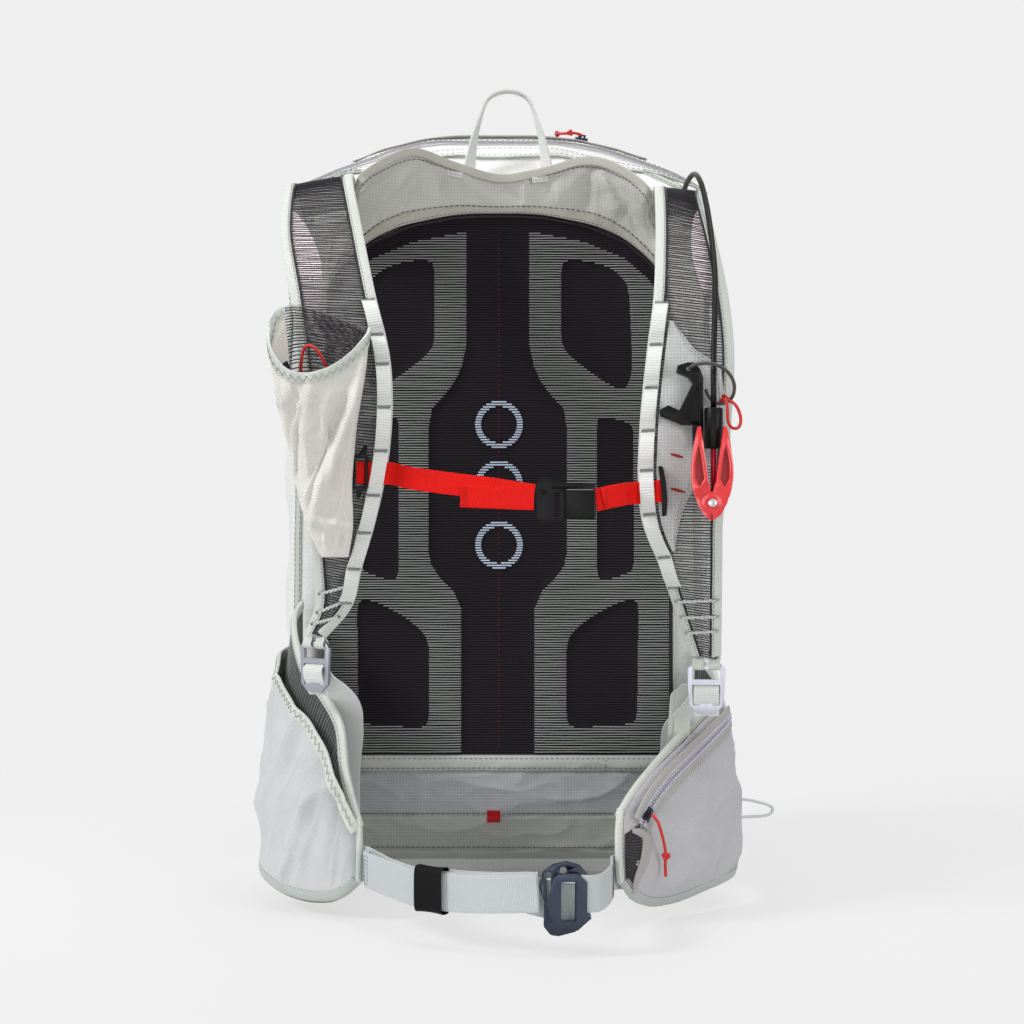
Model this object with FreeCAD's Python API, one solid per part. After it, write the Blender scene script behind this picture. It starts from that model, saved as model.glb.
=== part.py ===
"""An avalanche airbag backpack, standing on its base with its harness towards -Y.

The X axis points to the right of someone who looks at the harness, +Z is up, and the origin lies in
the middle of the base. Soft pieces are closed sheets with flat facets, and hardware has real edges.
"""
import FreeCAD, Part
import math
import os

V = FreeCAD.Vector

# Driving dimensions, in millimetres.
BAG_WALL = 1.2
FRONT_SQUARENESS, BACK_SQUARENESS = 4.5, 9.0
BASE_HALF_WIDTH = 148.0
BASE_BACK, BASE_FRONT = -56.0, 82.0
BAG_HALF_WIDTH = 165.0
BAG_BACK = -74.0
BAG_FRONT = 95.0
BAG_HEIGHT = 578.0
SHOULDER_HEIGHT = BAG_HEIGHT - 63.0
TOP_ARCH_RADIUS = 340.0
FIT_GAP = 0.3
CURVE_GAP = 0.8
FOAM_THICKNESS = 8.0
MESH_THICKNESS = 2.4
PANEL_HALF_WIDTH = 130.0
PANEL_BOTTOM = 99.0
PANEL_TOP = 506.0
LUMBAR_BOTTOM = 20.0
LUMBAR_HALF_WIDTH = 148.0
LUMBAR_THICKNESS = 12.5
HEM_GAP = 0.6
YOKE_FLAT_THICKNESS = 13.5
STRAP_THICKNESS = 3.0
DAISY_WIDTH = 9.6
DAISY_THICKNESS = 1.4
DAISY_LOOP_RISE = 3.2
POCKET_CLOTH = 1.2
WING_THICKNESS = 3.0
HIP_WEBBING_WIDTH = 25.0
HIP_WEBBING_THICKNESS = 1.8
CHEST_WEBBING_WIDTH = 14.8
CHEST_WEBBING_THICKNESS = 1.2
LOWER_WEBBING_WIDTH = 20.0
LOWER_WEBBING_THICKNESS = 1.6
HAUL_WIDTH = 12.5
HAUL_THICKNESS = 2.0
SHEET_THICKNESS = 1.5
STAY_WIDTH = 12.0
STAY_THICKNESS = 3.0
CYLINDER_RADIUS = 29.0
CYLINDER_LENGTH = 150.0
CYLINDER_NECK_RADIUS = 9.0
CYLINDER_NECK_LENGTH = 16.0
CYLINDER_X, CYLINDER_Y, CYLINDER_BOTTOM = -96.0, -14.0, 1.5
THREAD_CLEARANCE = 0.1
INFLATOR_SIZE = 34.0
INFLATOR_HEIGHT = 48.0
PISTON_RADIUS = 5.0
PISTON_LENGTH = 20.0
RUN_CLEARANCE = 0.1
LAYER_GAP = 0.2
CYLINDER_WALL = 4.0
CYLINDER_DOME = 16.0
CAP_THICKNESS = 3.0
SCREW_HEAD_HEIGHT = 1.6
CABLE_SHEATH_RADIUS = 2.0
CABLE_BORE_RADIUS = 1.0
TRIGGER_ROD_RADIUS = 2.1
TRIGGER_STROKE = 40.0
FERRULE_RADIUS = 6.1
FERRULE_LENGTH = 27.0
WING_PLATE = 2.4
SCREW_RADIUS = 2.2
SCREW_HEAD_RADIUS = 2.7
BUCKLE_PLATE = 2.6
METAL_BAR = 3.0
METAL_WIDTH = 26.4
METAL_HEIGHT = 36.0
PLASTIC_PLATE = 3.0
SIDE_CORD_RADIUS = 1.2
PULL_CORD_RADIUS = 1.1
TETHER_RADIUS = 1.2
RED_CORD_RADIUS = 1.1


def save(shape, node):
    """Write one sub-part, after a check that it is a sound solid."""
    solids = shape.Solids
    if not solids or not shape.isValid() or any(s.Volume <= 0 for s in solids):
        raise ValueError("unsound shape: " + node)
    os.makedirs("parts", exist_ok=True)
    shape.exportStep("parts/" + node + ".step")
    print(f"{node}: {len(solids)} solid(s), {sum(s.Volume for s in solids) / 1000:.2f} cm3")


def mesh_solid(points, triangles):
    """A closed solid with flat triangular facets."""
    shell = Part.Shape()
    shell.makeShapeFromMesh(([tuple(p) for p in points], triangles), 0.001)
    solid = Part.makeSolid(shell)
    if solid.Volume < 0:
        solid = Part.makeSolid(shell.reversed())
    return solid


def smooth(points, count):
    """Evenly spaced points along a smooth curve through the given ones."""
    curve = Part.BSplineCurve()
    curve.interpolate([V(*p) for p in points])
    return curve.discretize(Number=count)


def mix(a, b, t):
    return a * (1 - t) + b * t


def slab(front, back):
    """A solid between two grids of points of the same size."""
    rows, columns = len(front), len(front[0])
    points = [p for grid in (front, back) for row in grid for p in row]
    triangles = []

    def at(layer, i, j):
        return layer * rows * columns + i * columns + j

    def square(a, b, c, d):
        triangles.extend([(a, b, c), (a, c, d)])

    for i in range(rows - 1):
        for j in range(columns - 1):
            square(at(0, i, j), at(0, i, j + 1), at(0, i + 1, j + 1), at(0, i + 1, j))
            square(at(1, i, j), at(1, i + 1, j), at(1, i + 1, j + 1), at(1, i, j + 1))
    for j in range(columns - 1):
        square(at(0, 0, j), at(1, 0, j), at(1, 0, j + 1), at(0, 0, j + 1))
        end = rows - 1
        square(at(0, end, j), at(0, end, j + 1), at(1, end, j + 1), at(1, end, j))
    for i in range(rows - 1):
        square(at(0, i, 0), at(0, i + 1, 0), at(1, i + 1, 0), at(1, i, 0))
        end = columns - 1
        square(at(0, i, end), at(1, i, end), at(1, i + 1, end), at(0, i + 1, end))
    return mesh_solid(points, triangles)


def normals(grid):
    """The unit normal of a grid of points at each of them."""
    rows, columns = len(grid), len(grid[0])
    result = []
    for i in range(rows):
        line = []
        for j in range(columns):
            along = grid[min(i + 1, rows - 1)][j] - grid[max(i - 1, 0)][j]
            across = grid[i][min(j + 1, columns - 1)] - grid[i][max(j - 1, 0)]
            line.append(along.cross(across).normalize())
        result.append(line)
    return result


def lift(grid, distance):
    """The grid moved along its own normals."""
    return [[p + n * distance for p, n in zip(*rows)] for rows in zip(grid, normals(grid))]


def sheet(grid, thickness):
    """A cloth sheet with the grid in the middle of its thickness."""
    return slab(lift(grid, thickness / 2), lift(grid, -thickness / 2))


def ribbon(points, width, thickness, across, count):
    """Webbing along a smooth line; across lists the direction of its width, evenly along it."""
    line = smooth(points, count)
    sides = []
    for i in range(count):
        place = (len(across) - 1) * i / (count - 1)
        k = min(int(place), len(across) - 2)
        sides.append(mix(V(*across[k]), V(*across[k + 1]), place - k))
    grid = []
    for i, point in enumerate(line):
        along = line[min(i + 1, count - 1)] - line[max(i - 1, 0)]
        along.normalize()
        side = V(sides[i])
        side = side - along * side.dot(along)
        side.normalize()
        grid.append([point - side * width / 2, point + side * width / 2])
    return sheet(grid, thickness)


def ring_solid(rings, inner=None):
    """A solid through closed rings, open at its last ring where inner rings are given."""
    count = len(rings[0])
    points = [p for ring in rings for p in ring]
    triangles = []

    def wall(base_a, base_b, flip):
        for j in range(count):
            a, b = base_a + j, base_a + (j + 1) % count
            c, d = base_b + (j + 1) % count, base_b + j
            for face in ((a, b, c), (a, c, d)):
                triangles.append(face[::-1] if flip else face)

    def cap(base, flip):
        centre = len(points)
        middle = V(0, 0, 0)
        for p in points[base : base + count]:
            middle = middle + p
        points.append(middle / count)
        for j in range(count):
            face = (base + j, base + (j + 1) % count, centre)
            triangles.append(face[::-1] if flip else face)

    for i in range(len(rings) - 1):
        wall(i * count, (i + 1) * count, False)
    cap(0, True)
    if inner is None:
        cap((len(rings) - 1) * count, False)
    else:
        start = len(points)
        points.extend(p for ring in inner for p in ring)
        for i in range(len(inner) - 1):
            wall(start + i * count, start + (i + 1) * count, True)
        cap(start, False)
        wall((len(rings) - 1) * count, start + (len(inner) - 1) * count, False)
    return mesh_solid(points, triangles)


def block(x0, x1, y0, y1, z0, z1):
    return Part.makeBox(x1 - x0, y1 - y0, z1 - z0, V(x0, y0, z0))


def rod(start, end, radius):
    start, end = V(*start), V(*end)
    return Part.makeCylinder(radius, (end - start).Length, start, end - start)


def plate(outline, y0, y1):
    """A flat plate with the given outline in X and Z."""
    corners = [V(x, y0, z) for x, z in outline]
    return Part.Face(Part.makePolygon(corners + corners[:1])).extrude(V(0, y1 - y0, 0))


def route_tube(name, points, radius, bore=0.0):
    """A cord of straight runs joined by tangent arcs, with its bend radii printed."""
    points = [V(*p) for p in points]
    edges, radii, start = [], [], points[0]
    for before, corner, after in zip(points, points[1:], points[2:]):
        into, out = corner - before, after - corner
        half_turn = into.getAngle(out) / 2
        reach = 0.45 * min(into.Length, out.Length)
        radii.append(reach / math.tan(half_turn))
        into.normalize()
        out.normalize()
        arc_start, arc_end = corner - into * reach, corner + out * reach
        bulge = (out - into).normalize() * radii[-1] * (1 / math.cos(half_turn) - 1)
        edges.append(Part.LineSegment(start, arc_start).toShape())
        edges.append(Part.Arc(arc_start, corner + bulge, arc_end).toShape())
        start = arc_end
    edges.append(Part.LineSegment(start, points[-1]).toShape())
    path = Part.Wire(edges)

    def swept(r):
        section = Part.Wire(Part.makeCircle(r, points[0], points[1] - points[0]))
        return path.makePipeShell([section], True, False)

    tube = swept(radius)
    area = math.pi * radius**2
    if bore:
        tube = tube.cut(swept(bore))
        area -= math.pi * bore**2
    ratio = tube.Volume / (area * path.Length)
    print(f"{name}: length {path.Length:.1f}, least bend radius {min(radii):.1f}, volume ratio {ratio:.3f}")
    return tube


SHEATH_GATE_X, SHEATH_GATE_Z = 140.0, 522.5

# ---- The bag -------------------------------------------------------------------------------------

BAG_SIDES = 40


def top_height(x):
    """The height of the bag's arched top over a place x across it."""
    return BAG_HEIGHT - TOP_ARCH_RADIUS + math.sqrt(TOP_ARCH_RADIUS**2 - x**2)


# Height, half width, back, front: the back stays on one plane up to the shoulder.
BAG_LEVELS = [
    (0.0, BASE_HALF_WIDTH, BASE_BACK, BASE_FRONT),
    (7.0, 158.0, -67.0, 90.0),
    (20.0, 163.5, BAG_BACK, BAG_FRONT - 2.0),
    (60.0, BAG_HALF_WIDTH, BAG_BACK, BAG_FRONT),
    (200.0, BAG_HALF_WIDTH, BAG_BACK, BAG_FRONT),
    (350.0, BAG_HALF_WIDTH - 1.0, BAG_BACK, BAG_FRONT - 8.0),
    (SHOULDER_HEIGHT - 65.0, BAG_HALF_WIDTH - 2.0, BAG_BACK, BAG_FRONT - 18.0),
    (SHOULDER_HEIGHT, BAG_HALF_WIDTH - 3.0, BAG_BACK, BAG_FRONT - 30.0),
    (SHOULDER_HEIGHT + 25.0, BAG_HALF_WIDTH - 8.0, BAG_BACK + 2.0, BAG_FRONT - 36.0),
    (top_height(134.0), 134.0, BAG_BACK + 10.0, BAG_FRONT - 47.0),
    (top_height(92.0), 92.0, BAG_BACK + 26.0, BAG_FRONT - 62.0),
    (top_height(60.0), 60.0, BAG_BACK + 40.0, BAG_FRONT - 76.0),
    (top_height(24.0), 24.0, BAG_BACK + 54.0, BAG_FRONT - 90.0),
]


def bag_ring(level, inset):
    """A rounded rectangle whose corners are squarer at its back."""
    height, half_width, back, front = level
    middle, half_depth = (back + front) / 2, (front - back) / 2 - inset
    ring = []
    for k in range(BAG_SIDES):
        angle = 2 * math.pi * (k + 0.5) / BAG_SIDES
        c, s = math.cos(angle), math.sin(angle)
        power = 2 / (FRONT_SQUARENESS if s > 0 else BACK_SQUARENESS)
        x = (half_width - inset) * math.copysign(abs(c) ** power, c)
        y = middle + half_depth * math.copysign(abs(s) ** power, s)
        ring.append(V(x, y, height))
    return ring


def bag_level(height):
    """The bag's half width, back and front at any height."""
    for low, high in zip(BAG_LEVELS, BAG_LEVELS[1:]):
        if low[0] <= height <= high[0]:
            t = (height - low[0]) / (high[0] - low[0])
            return (height,) + tuple(a + (b - a) * t for a, b in zip(low[1:], high[1:]))
    raise ValueError("height outside the bag")


def bag_front(x, height):
    """The bag's front surface over a place x across it."""
    _, half_width, back, front = bag_level(height)
    share = 1 - (abs(x) / half_width) ** FRONT_SQUARENESS
    return (back + front) / 2 + (front - back) / 2 * share ** (1 / FRONT_SQUARENESS)


def bag_shell():
    outer = ring_solid([bag_ring(level, 0.0) for level in BAG_LEVELS])
    inner_levels = [list(level) for level in BAG_LEVELS]
    inner_levels[0][0] += BAG_WALL
    inner_levels[-1][0] -= BAG_WALL
    inner = ring_solid([bag_ring(level, BAG_WALL) for level in inner_levels])
    shell = outer.cut(inner)
    gate_start = (SHEATH_GATE_X, BAG_BACK - 4, SHEATH_GATE_Z)
    gate_end = (SHEATH_GATE_X, BAG_BACK + 8, SHEATH_GATE_Z - 5)
    gate = rod(gate_start, gate_end, CABLE_SHEATH_RADIUS + 2 * CURVE_GAP)
    return shell.cut(gate)


# ---- Back panel, lumbar and yoke -------------------------------------------------------------------

FOAM_FRONT = BAG_BACK - FIT_GAP - FOAM_THICKNESS
PANEL_FRONT = FOAM_FRONT - FIT_GAP - MESH_THICKNESS
PANEL_SHOULDER = 430.0
ARCH = [
    (-PANEL_HALF_WIDTH, PANEL_SHOULDER),
    (-PANEL_HALF_WIDTH + 2, PANEL_TOP - 56),
    (-PANEL_HALF_WIDTH + 16, PANEL_TOP - 36),
    (-PANEL_HALF_WIDTH + 34, PANEL_TOP - 20.5),
    (-66, PANEL_TOP - 8),
    (-32, PANEL_TOP - 1.5),
    (0, PANEL_TOP),
]
ARCH = ARCH + [(-x, z) for x, z in ARCH[-2::-1]]


def panel_outline(grow=0.0):
    sides = [(-PANEL_HALF_WIDTH - grow, PANEL_BOTTOM - grow), (PANEL_HALF_WIDTH + grow, PANEL_BOTTOM - grow)]
    arch = [(x + math.copysign(grow, x) if x else 0.0, z + grow) for x, z in ARCH[::-1]]
    return sides + arch


def lumbar_panel():
    front = BAG_BACK - FIT_GAP - LUMBAR_THICKNESS
    top = PANEL_BOTTOM - HEM_GAP
    outline = [
        (-LUMBAR_HALF_WIDTH, LUMBAR_BOTTOM + 8),
        (-LUMBAR_HALF_WIDTH + 8, LUMBAR_BOTTOM),
        (LUMBAR_HALF_WIDTH - 8, LUMBAR_BOTTOM),
        (LUMBAR_HALF_WIDTH, LUMBAR_BOTTOM + 8),
        (LUMBAR_HALF_WIDTH, top),
        (-LUMBAR_HALF_WIDTH, top),
    ]
    return plate(outline, front, BAG_BACK - FIT_GAP)


# The hem under the yoke, in X and Z, and above it the collar's edge with the height at its back.
YOKE_HEM = [(-151, 430), (-141, 430), (-131.5, 431), (-129, 451), (-115, 471.5), (-97, 487), (-82, 495),
            (-66, 500), (-32, 506.5), (0, 507.5), (32, 506.5), (66, 500), (82, 495), (97, 487), (115, 471.5),
            (129, 451), (131.5, 431), (141, 430), (151, 430)]
YOKE_COLLAR = [(-151, 0, 488, 488), (-139, 0, 490, 489), (-127, 0, 493, 490), (-117, 2, 497, 491),
               (-107, 17, 506, 496), (-101.5, 55, 522, 506), (-84, 44, 538, 518), (-61.5, 31, 548, 525),
               (-32.5, 17, 540, 528), (0, 10, 532, 528), (31, 12, 536, 528), (67, 24, 543, 525),
               (92, 42, 532, 517), (109.5, 55, 514, 503), (113, 17, 503, 495), (120, 2, 495, 490),
               (128, 0, 492, 489), (140, 0, 490, 488), (151, 0, 488, 488)]
YOKE_ROWS = 4


def shoulder_yoke():
    """A padded wedge: a flat hem round the back panel, rising forwards to the collar."""
    back_y = BAG_BACK - FIT_GAP
    flat_y = back_y - YOKE_FLAT_THICKNESS
    front, back = [], []
    for i in range(YOKE_ROWS + 1):
        t = i / YOKE_ROWS
        pairs = list(zip(YOKE_HEM, YOKE_COLLAR))
        front.append([mix(V(hx, flat_y, hz), V(cx, flat_y, cz), t) - V(0, rise * t**1.6, 0)
                      for (hx, hz), (cx, rise, cz, _) in pairs])
        back.append([mix(V(hx, back_y, hz), V(cx, back_y, bz), t) for (hx, hz), (cx, _, _, bz) in pairs])
    return slab(front, back)


# ---- Shoulder straps -------------------------------------------------------------------------------

# Outer and inner edge of each strap at the same stations, from the bag over the shoulder to the buckle.
LEFT_OUTER = [(-155, -75.2, 505), (-156, -112, 520), (-153.5, -150, 514), (-151, -195, 475),
              (-140, -228, 427), (-133, -238, 382), (-130, -242, 323), (-127, -238, 277),
              (-124, -226, 244), (-124, -215, 220), (-133, -198, 195.5)]
LEFT_INNER = [(-107.5, -75.2, 513), (-106.5, -112, 528), (-105.5, -150, 523), (-95, -195, 479),
              (-83, -232, 429), (-72, -243, 382), (-72.5, -247, 323), (-82, -242, 277),
              (-92.5, -230, 244), (-99, -220, 220), (-119.5, -207.5, 195.5)]
RIGHT_OUTER = [(155, -75.2, 505), (154, -112, 517), (149, -150, 507), (152.5, -205, 463),
               (157, -226, 427), (159.5, -236, 391), (156.5, -242, 337), (154, -242, 300),
               (151.5, -240, 277), (152, -231, 248), (153, -219, 217), (154.5, -200, 180)]
RIGHT_INNER = [(115.5, -75.2, 508), (115, -112, 520), (113.2, -150, 514), (109.5, -209, 463),
               (106.5, -231, 427), (101.5, -240, 391), (96, -246, 337), (95, -247.5, 300),
               (97.5, -245, 277), (109.5, -234, 248), (121.5, -217, 217), (135.5, -198, 180)]
STRAP_ROWS, STRAP_COLUMNS = 30, 5
STRAP_BOW = 3.0


def strap_grid(outer, inner):
    """Points over a strap, bowed a little towards the front between its edges."""
    grid = []
    for a, b in zip(smooth(outer, STRAP_ROWS), smooth(inner, STRAP_ROWS)):
        row = []
        for k in range(STRAP_COLUMNS):
            t = k / (STRAP_COLUMNS - 1)
            bow = STRAP_BOW * 4 * t * (1 - t)
            row.append(mix(a, b, t) + V(0, -bow, 0))
        grid.append(row)
    return grid


def strap_spot(grid, height, inset, rise):
    """A place on the front of a strap: its point, the way to the inner edge, and the way forwards.

    The height is taken on the inner edge, the inset runs from there towards the outer edge, and the
    rise is counted from the middle of the strap's thickness.
    """
    i = len(grid) - 1
    while not grid[i][-1].z <= height <= grid[i - 1][-1].z:
        i -= 1
    low, high = grid[i], grid[i - 1]
    t = (height - low[-1].z) / (high[-1].z - low[-1].z)
    row = [mix(a, b, t) for a, b in zip(low, high)][::-1]
    left = inset
    for start, end in zip(row, row[1:]):
        step = end - start
        if left <= step.Length:
            break
        left -= step.Length
    step.normalize()
    forwards = (high[-1] - low[-1]).cross(step).normalize()
    if forwards.y > 0:
        forwards = forwards * -1
    return start + step * left + forwards * rise, step * -1, forwards


LEFT_STRAP = strap_grid(LEFT_OUTER, LEFT_INNER)
RIGHT_STRAP = strap_grid(RIGHT_OUTER, RIGHT_INNER)
# Heights of the bartacks that make the webbing ladder on each strap.
LEFT_TACKS = [425, 401, 381, 352, 323, 293.5, 269, 244.5, 221]
RIGHT_TACKS = [423, 394, 365, 336, 309.5, 280.5, 252.5, 232]
DAISY_INSET = 0.5 + DAISY_WIDTH / 2
CLOTH_RISE = STRAP_THICKNESS / 2 + FIT_GAP


def daisy_chain(strap, tacks):
    """Narrow webbing along the strap's inner edge that rises between its bartacks."""
    heights = [tacks[0]]
    for a, b in zip(tacks, tacks[1:]):
        heights += [a + (b - a) * 0.25, a + (b - a) * 0.75, b]
    points, across = [], []
    for k, height in enumerate(heights):
        rise = CLOTH_RISE + DAISY_THICKNESS / 2 + (DAISY_LOOP_RISE if k % 3 else 0.0)
        point, side, _ = strap_spot(strap, height, DAISY_INSET, rise)
        points.append(tuple(point))
        across.append(tuple(side))
    return ribbon(points, DAISY_WIDTH, DAISY_THICKNESS, across, 3 * len(heights))


# ---- Front flask pocket and trigger panel ----------------------------------------------------------

# Left x, right x, back y, front y, back z, front z of the pocket from its bottom to its rim.
FLASK_LEVELS = [
    (-117.0, -100.0, -246.0, -251.0, 252.0, 252.0),
    (-126.5, -96.8, -247.5, -258.0, 274.0, 272.0),
    (-134.0, -96.8, -250.0, -266.0, 306.0, 300.0),
    (-141.0, -93.5, -250.0, -273.0, 345.0, 332.0),
    (-147.0, -87.5, -249.0, -280.0, 390.0, 356.0),
    (-150.5, -84.5, -247.0, -283.0, 416.0, 376.0),
]
FLASK_SIDES = 20


def flask_ring(level, inset):
    left, right, back, front, back_z, front_z = level
    ring = []
    for k in range(FLASK_SIDES):
        angle = 2 * math.pi * k / FLASK_SIDES
        c, s = math.cos(angle), math.sin(angle)
        x = (left + right) / 2 + ((right - left) / 2 - inset) * c
        depth = ((back - front) / 2 - inset) * math.copysign(abs(s) ** 0.7, s)
        share = (1 + s) / 2
        ring.append(V(x, (back + front) / 2 + depth, front_z + (back_z - front_z) * share))
    return ring


def flask_pocket():
    outer = [flask_ring(level, 0.0) for level in FLASK_LEVELS]
    inner = [flask_ring(level, POCKET_CLOTH) for level in FLASK_LEVELS[1:]]
    return ring_solid(outer, inner)


# Height on the strap's inner edge, and how far from that edge the panel ends there.
TRIGGER_PANEL = [(410, 14.0), (390, 31.0), (378, 50.0), (355, 55.0), (330, 56.5), (303, 42.0), (289, 32.0),
                 (256, 14.0)]
TRIGGER_PANEL_INSET = DAISY_WIDTH + 2.4


def trigger_panel():
    """A reinforced facing on the right strap, in front of its mesh."""
    rise = CLOTH_RISE + FIT_GAP + POCKET_CLOTH / 2
    columns = 8
    grid = []
    for height, reach, _ in smooth([(height, reach, 0) for height, reach in TRIGGER_PANEL], 34):
        insets = [mix(TRIGGER_PANEL_INSET, reach, k / (columns - 1)) for k in range(columns)]
        grid.append([strap_spot(RIGHT_STRAP, height, inset, rise)[0] for inset in insets])
    return sheet(grid, POCKET_CLOTH)


# ---- Hip wings and their pockets -------------------------------------------------------------------

ROOT_X, ROOT_Y = LUMBAR_HALF_WIDTH + FIT_GAP + WING_THICKNESS / 2, -76.5
LEFT_WING_TOP = [(-ROOT_X, ROOT_Y, 214), (-151, -110, 205), (-146, -140, 188), (-135.5, -164, 169),
                 (-122, -180, 155), (-109.5, -194, 136), (-105, -203, 105), (-96, -211, 68)]
LEFT_WING_MIDDLE = [(-ROOT_X, ROOT_Y, 110), (-161.5, -112, 108), (-160, -145, 100), (-144, -173, 88),
                    (-128, -188, 78), (-114, -200, 70), (-104, -207, 58), (-94.5, -212, 48)]
LEFT_WING_BOTTOM = [(-ROOT_X, ROOT_Y, 28), (-166, -112, 24), (-168, -148, 19), (-148, -177, 11),
                    (-127, -191, 9), (-112, -200, 12), (-103, -206, 18), (-95.5, -211, 27)]
RIGHT_WING_TOP = [(ROOT_X, ROOT_Y, 178), (161, -100, 163), (158, -132, 149), (139, -162, 134),
                  (122, -184, 120), (108, -199, 107), (92, -217, 90), (83.5, -227, 77)]
RIGHT_WING_MIDDLE = [(ROOT_X, ROOT_Y, 100), (162, -108, 96), (161, -140, 88), (145, -168, 78),
                     (124, -192, 70), (107, -208, 64), (92, -223, 58), (80.5, -235, 54)]
RIGHT_WING_BOTTOM = [(ROOT_X, ROOT_Y, 28), (166, -112, 22), (167, -148, 18), (144, -173, 13),
                     (118, -197, 9), (104, -209, 10), (92, -221, 17), (83, -232, 32)]
WING_COLUMNS, WING_ROWS = 14, 7
LEFT_WING = [smooth(points, 101) for points in (LEFT_WING_BOTTOM, LEFT_WING_MIDDLE, LEFT_WING_TOP)]
RIGHT_WING = [smooth(points, 101) for points in (RIGHT_WING_BOTTOM, RIGHT_WING_MIDDLE, RIGHT_WING_TOP)]
# Shares of the wing's length and height that each pocket covers, and how far its middle stands off.
LEFT_POCKET = dict(start=0.12, end=0.985, foot=0.015, head=0.87, swell=9.0, is_open=True)
RIGHT_POCKET = dict(start=0.08, end=0.98, foot=0.015, head=0.94, swell=9.5, is_open=False)
POCKET_SEAM = WING_THICKNESS / 2 + POCKET_CLOTH / 2 + 2 * FIT_GAP


def wing_point(wing, u, t):
    """A point at a share u of the wing's length and t of its height, on the arc through its curves."""
    low, mid, high = (curve[round((len(curve) - 1) * u)] for curve in wing)
    return low * ((1 - t) * (1 - 2 * t)) + mid * (4 * t * (1 - t)) + high * (t * (2 * t - 1))


def wing_spot(wing, u, t, rise):
    """A place that stands off the wing's outer side by the rise."""
    u0, u1 = max(u - 0.04, 0.0), min(u + 0.04, 1.0)
    up = wing_point(wing, u, t + 0.05) - wing_point(wing, u, t - 0.05)
    along = wing_point(wing, u1, t) - wing_point(wing, u0, t)
    out = along.cross(up).normalize()
    here = wing_point(wing, u, t)
    if out.x * here.x < 0:
        out = out * -1
    return here + out * rise


def wing_cloth(wing):
    grid = [[wing_point(wing, i / (WING_COLUMNS - 1), k / (WING_ROWS - 1)) for k in range(WING_ROWS)]
            for i in range(WING_COLUMNS)]
    return sheet(grid, WING_THICKNESS)


def pocket_spot(wing, pocket, u, t, rise):
    """A place on the middle of a pocket's cloth, at shares of the pocket's own length and height."""
    swell = pocket["swell"] * math.sin(math.pi * u) ** 0.6
    swell *= math.sin(math.pi * t / 2) ** 0.8 if pocket["is_open"] else math.sin(math.pi * t) ** 0.7
    wing_u = pocket["start"] + (pocket["end"] - pocket["start"]) * u
    wing_t = pocket["foot"] + (pocket["head"] - pocket["foot"]) * t
    return wing_spot(wing, wing_u, wing_t, POCKET_SEAM + swell + rise)


def pocket_cloth(wing, pocket):
    columns = [i / (WING_COLUMNS - 1) for i in range(WING_COLUMNS)]
    rows = [k / (WING_ROWS - 1) for k in range(WING_ROWS)]
    return sheet([[pocket_spot(wing, pocket, u, t, 0.0) for t in rows] for u in columns], POCKET_CLOTH)


# ---- Belts and their hardware ----------------------------------------------------------------------

HIP_Y = -318.0
BELT_RISE = -(WING_THICKNESS + HIP_WEBBING_THICKNESS) / 2 - 2 * FIT_GAP
LEFT_BELT = [wing_spot(LEFT_WING, 0.94, 0.26, BELT_RISE), (-91.5, -210.5, 39.5), (-83.5, -227, 39.2),
             (-71, -252, 38.5), (-52, -280, 37.5), (-22, -301, 38.0), (6, -312.5, 40.0), (27, -317.3, 41.5)]
RIGHT_BELT = [wing_spot(RIGHT_WING, 0.94, 0.2, BELT_RISE), (78.2, -232.5, 37.3), (77.1, -246, 37),
              (75.6, -266, 37.5), (72, -287, 38.2), (67.5, -306, 39.3), (64, -315.2, 39.9),
              (58.5, HIP_Y - 0.1, 40.1), (53.5, HIP_Y, 40.2)]
REAR_PLATE = [(27.5, 44), (29.5, 54), (36, 58.5), (44.5, 60.5), (53, 58), (58.5, 52), (58.5, 29), (60.5, 26),
              (50, 15.5), (39.5, 12.8), (34.5, 13.5), (30, 19), (30.5, 34)]
FRONT_PLATE = [(31.5, 34), (36.5, 50.5), (39, 53), (51.5, 53.6), (57.5, 48), (57.5, 28), (60.5, 25.5),
               (51.5, 17.5), (37, 17.5)]
PLATE_SPACE = 2.6


def hip_buckle_frame():
    """The rear plate: a webbing slot at its left, a window for the hook's nose, and a grip hole."""
    back = HIP_Y + PLATE_SPACE / 2
    body = plate(REAR_PLATE, back, back + BUCKLE_PLATE)
    body = body.cut(block(31.8, 34.6, back - 1, back + BUCKLE_PLATE + 1, 28, 53.6))
    body = body.cut(block(37.4, 50.0, back - 1, back + BUCKLE_PLATE + 1, 21, 50.5))
    return body.cut(rod((42.4, back - 1, 54.6), (42.4, back + BUCKLE_PLATE + 1, 54.6), 2.3))


def hip_buckle_hook():
    """The front plate: a long slot for its webbing and a nose that drops into the rear plate."""
    front = HIP_Y - PLATE_SPACE / 2
    body = plate(FRONT_PLATE, front - BUCKLE_PLATE, front)
    body = body.cut(block(41.0, 51.0, front - BUCKLE_PLATE - 1, front + 1, 23.4, 48.2))
    nose = block(38.0, 40.6, front - 0.01, HIP_Y + PLATE_SPACE / 2 + BUCKLE_PLATE, 27, 45)
    return body.fuse(nose)


KEEPER_LENGTH, KEEPER_WALL = 22.0, 1.2
KEEPER_X = -41.5
KEEPER_SAG = 1.4


def placed(shape, x_axis, z_axis, place):
    """The shape turned so that its X and Z axes point along the given ones, and moved to its place."""
    x_axis, z_axis = V(*x_axis).normalize(), V(*z_axis).normalize()
    y_axis = z_axis.cross(x_axis)
    shape.Placement = FreeCAD.Placement(
        FreeCAD.Matrix(x_axis.x, y_axis.x, z_axis.x, place[0], x_axis.y, y_axis.y, z_axis.y, place[1],
                       x_axis.z, y_axis.z, z_axis.z, place[2], 0, 0, 0, 1))
    return shape


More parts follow.
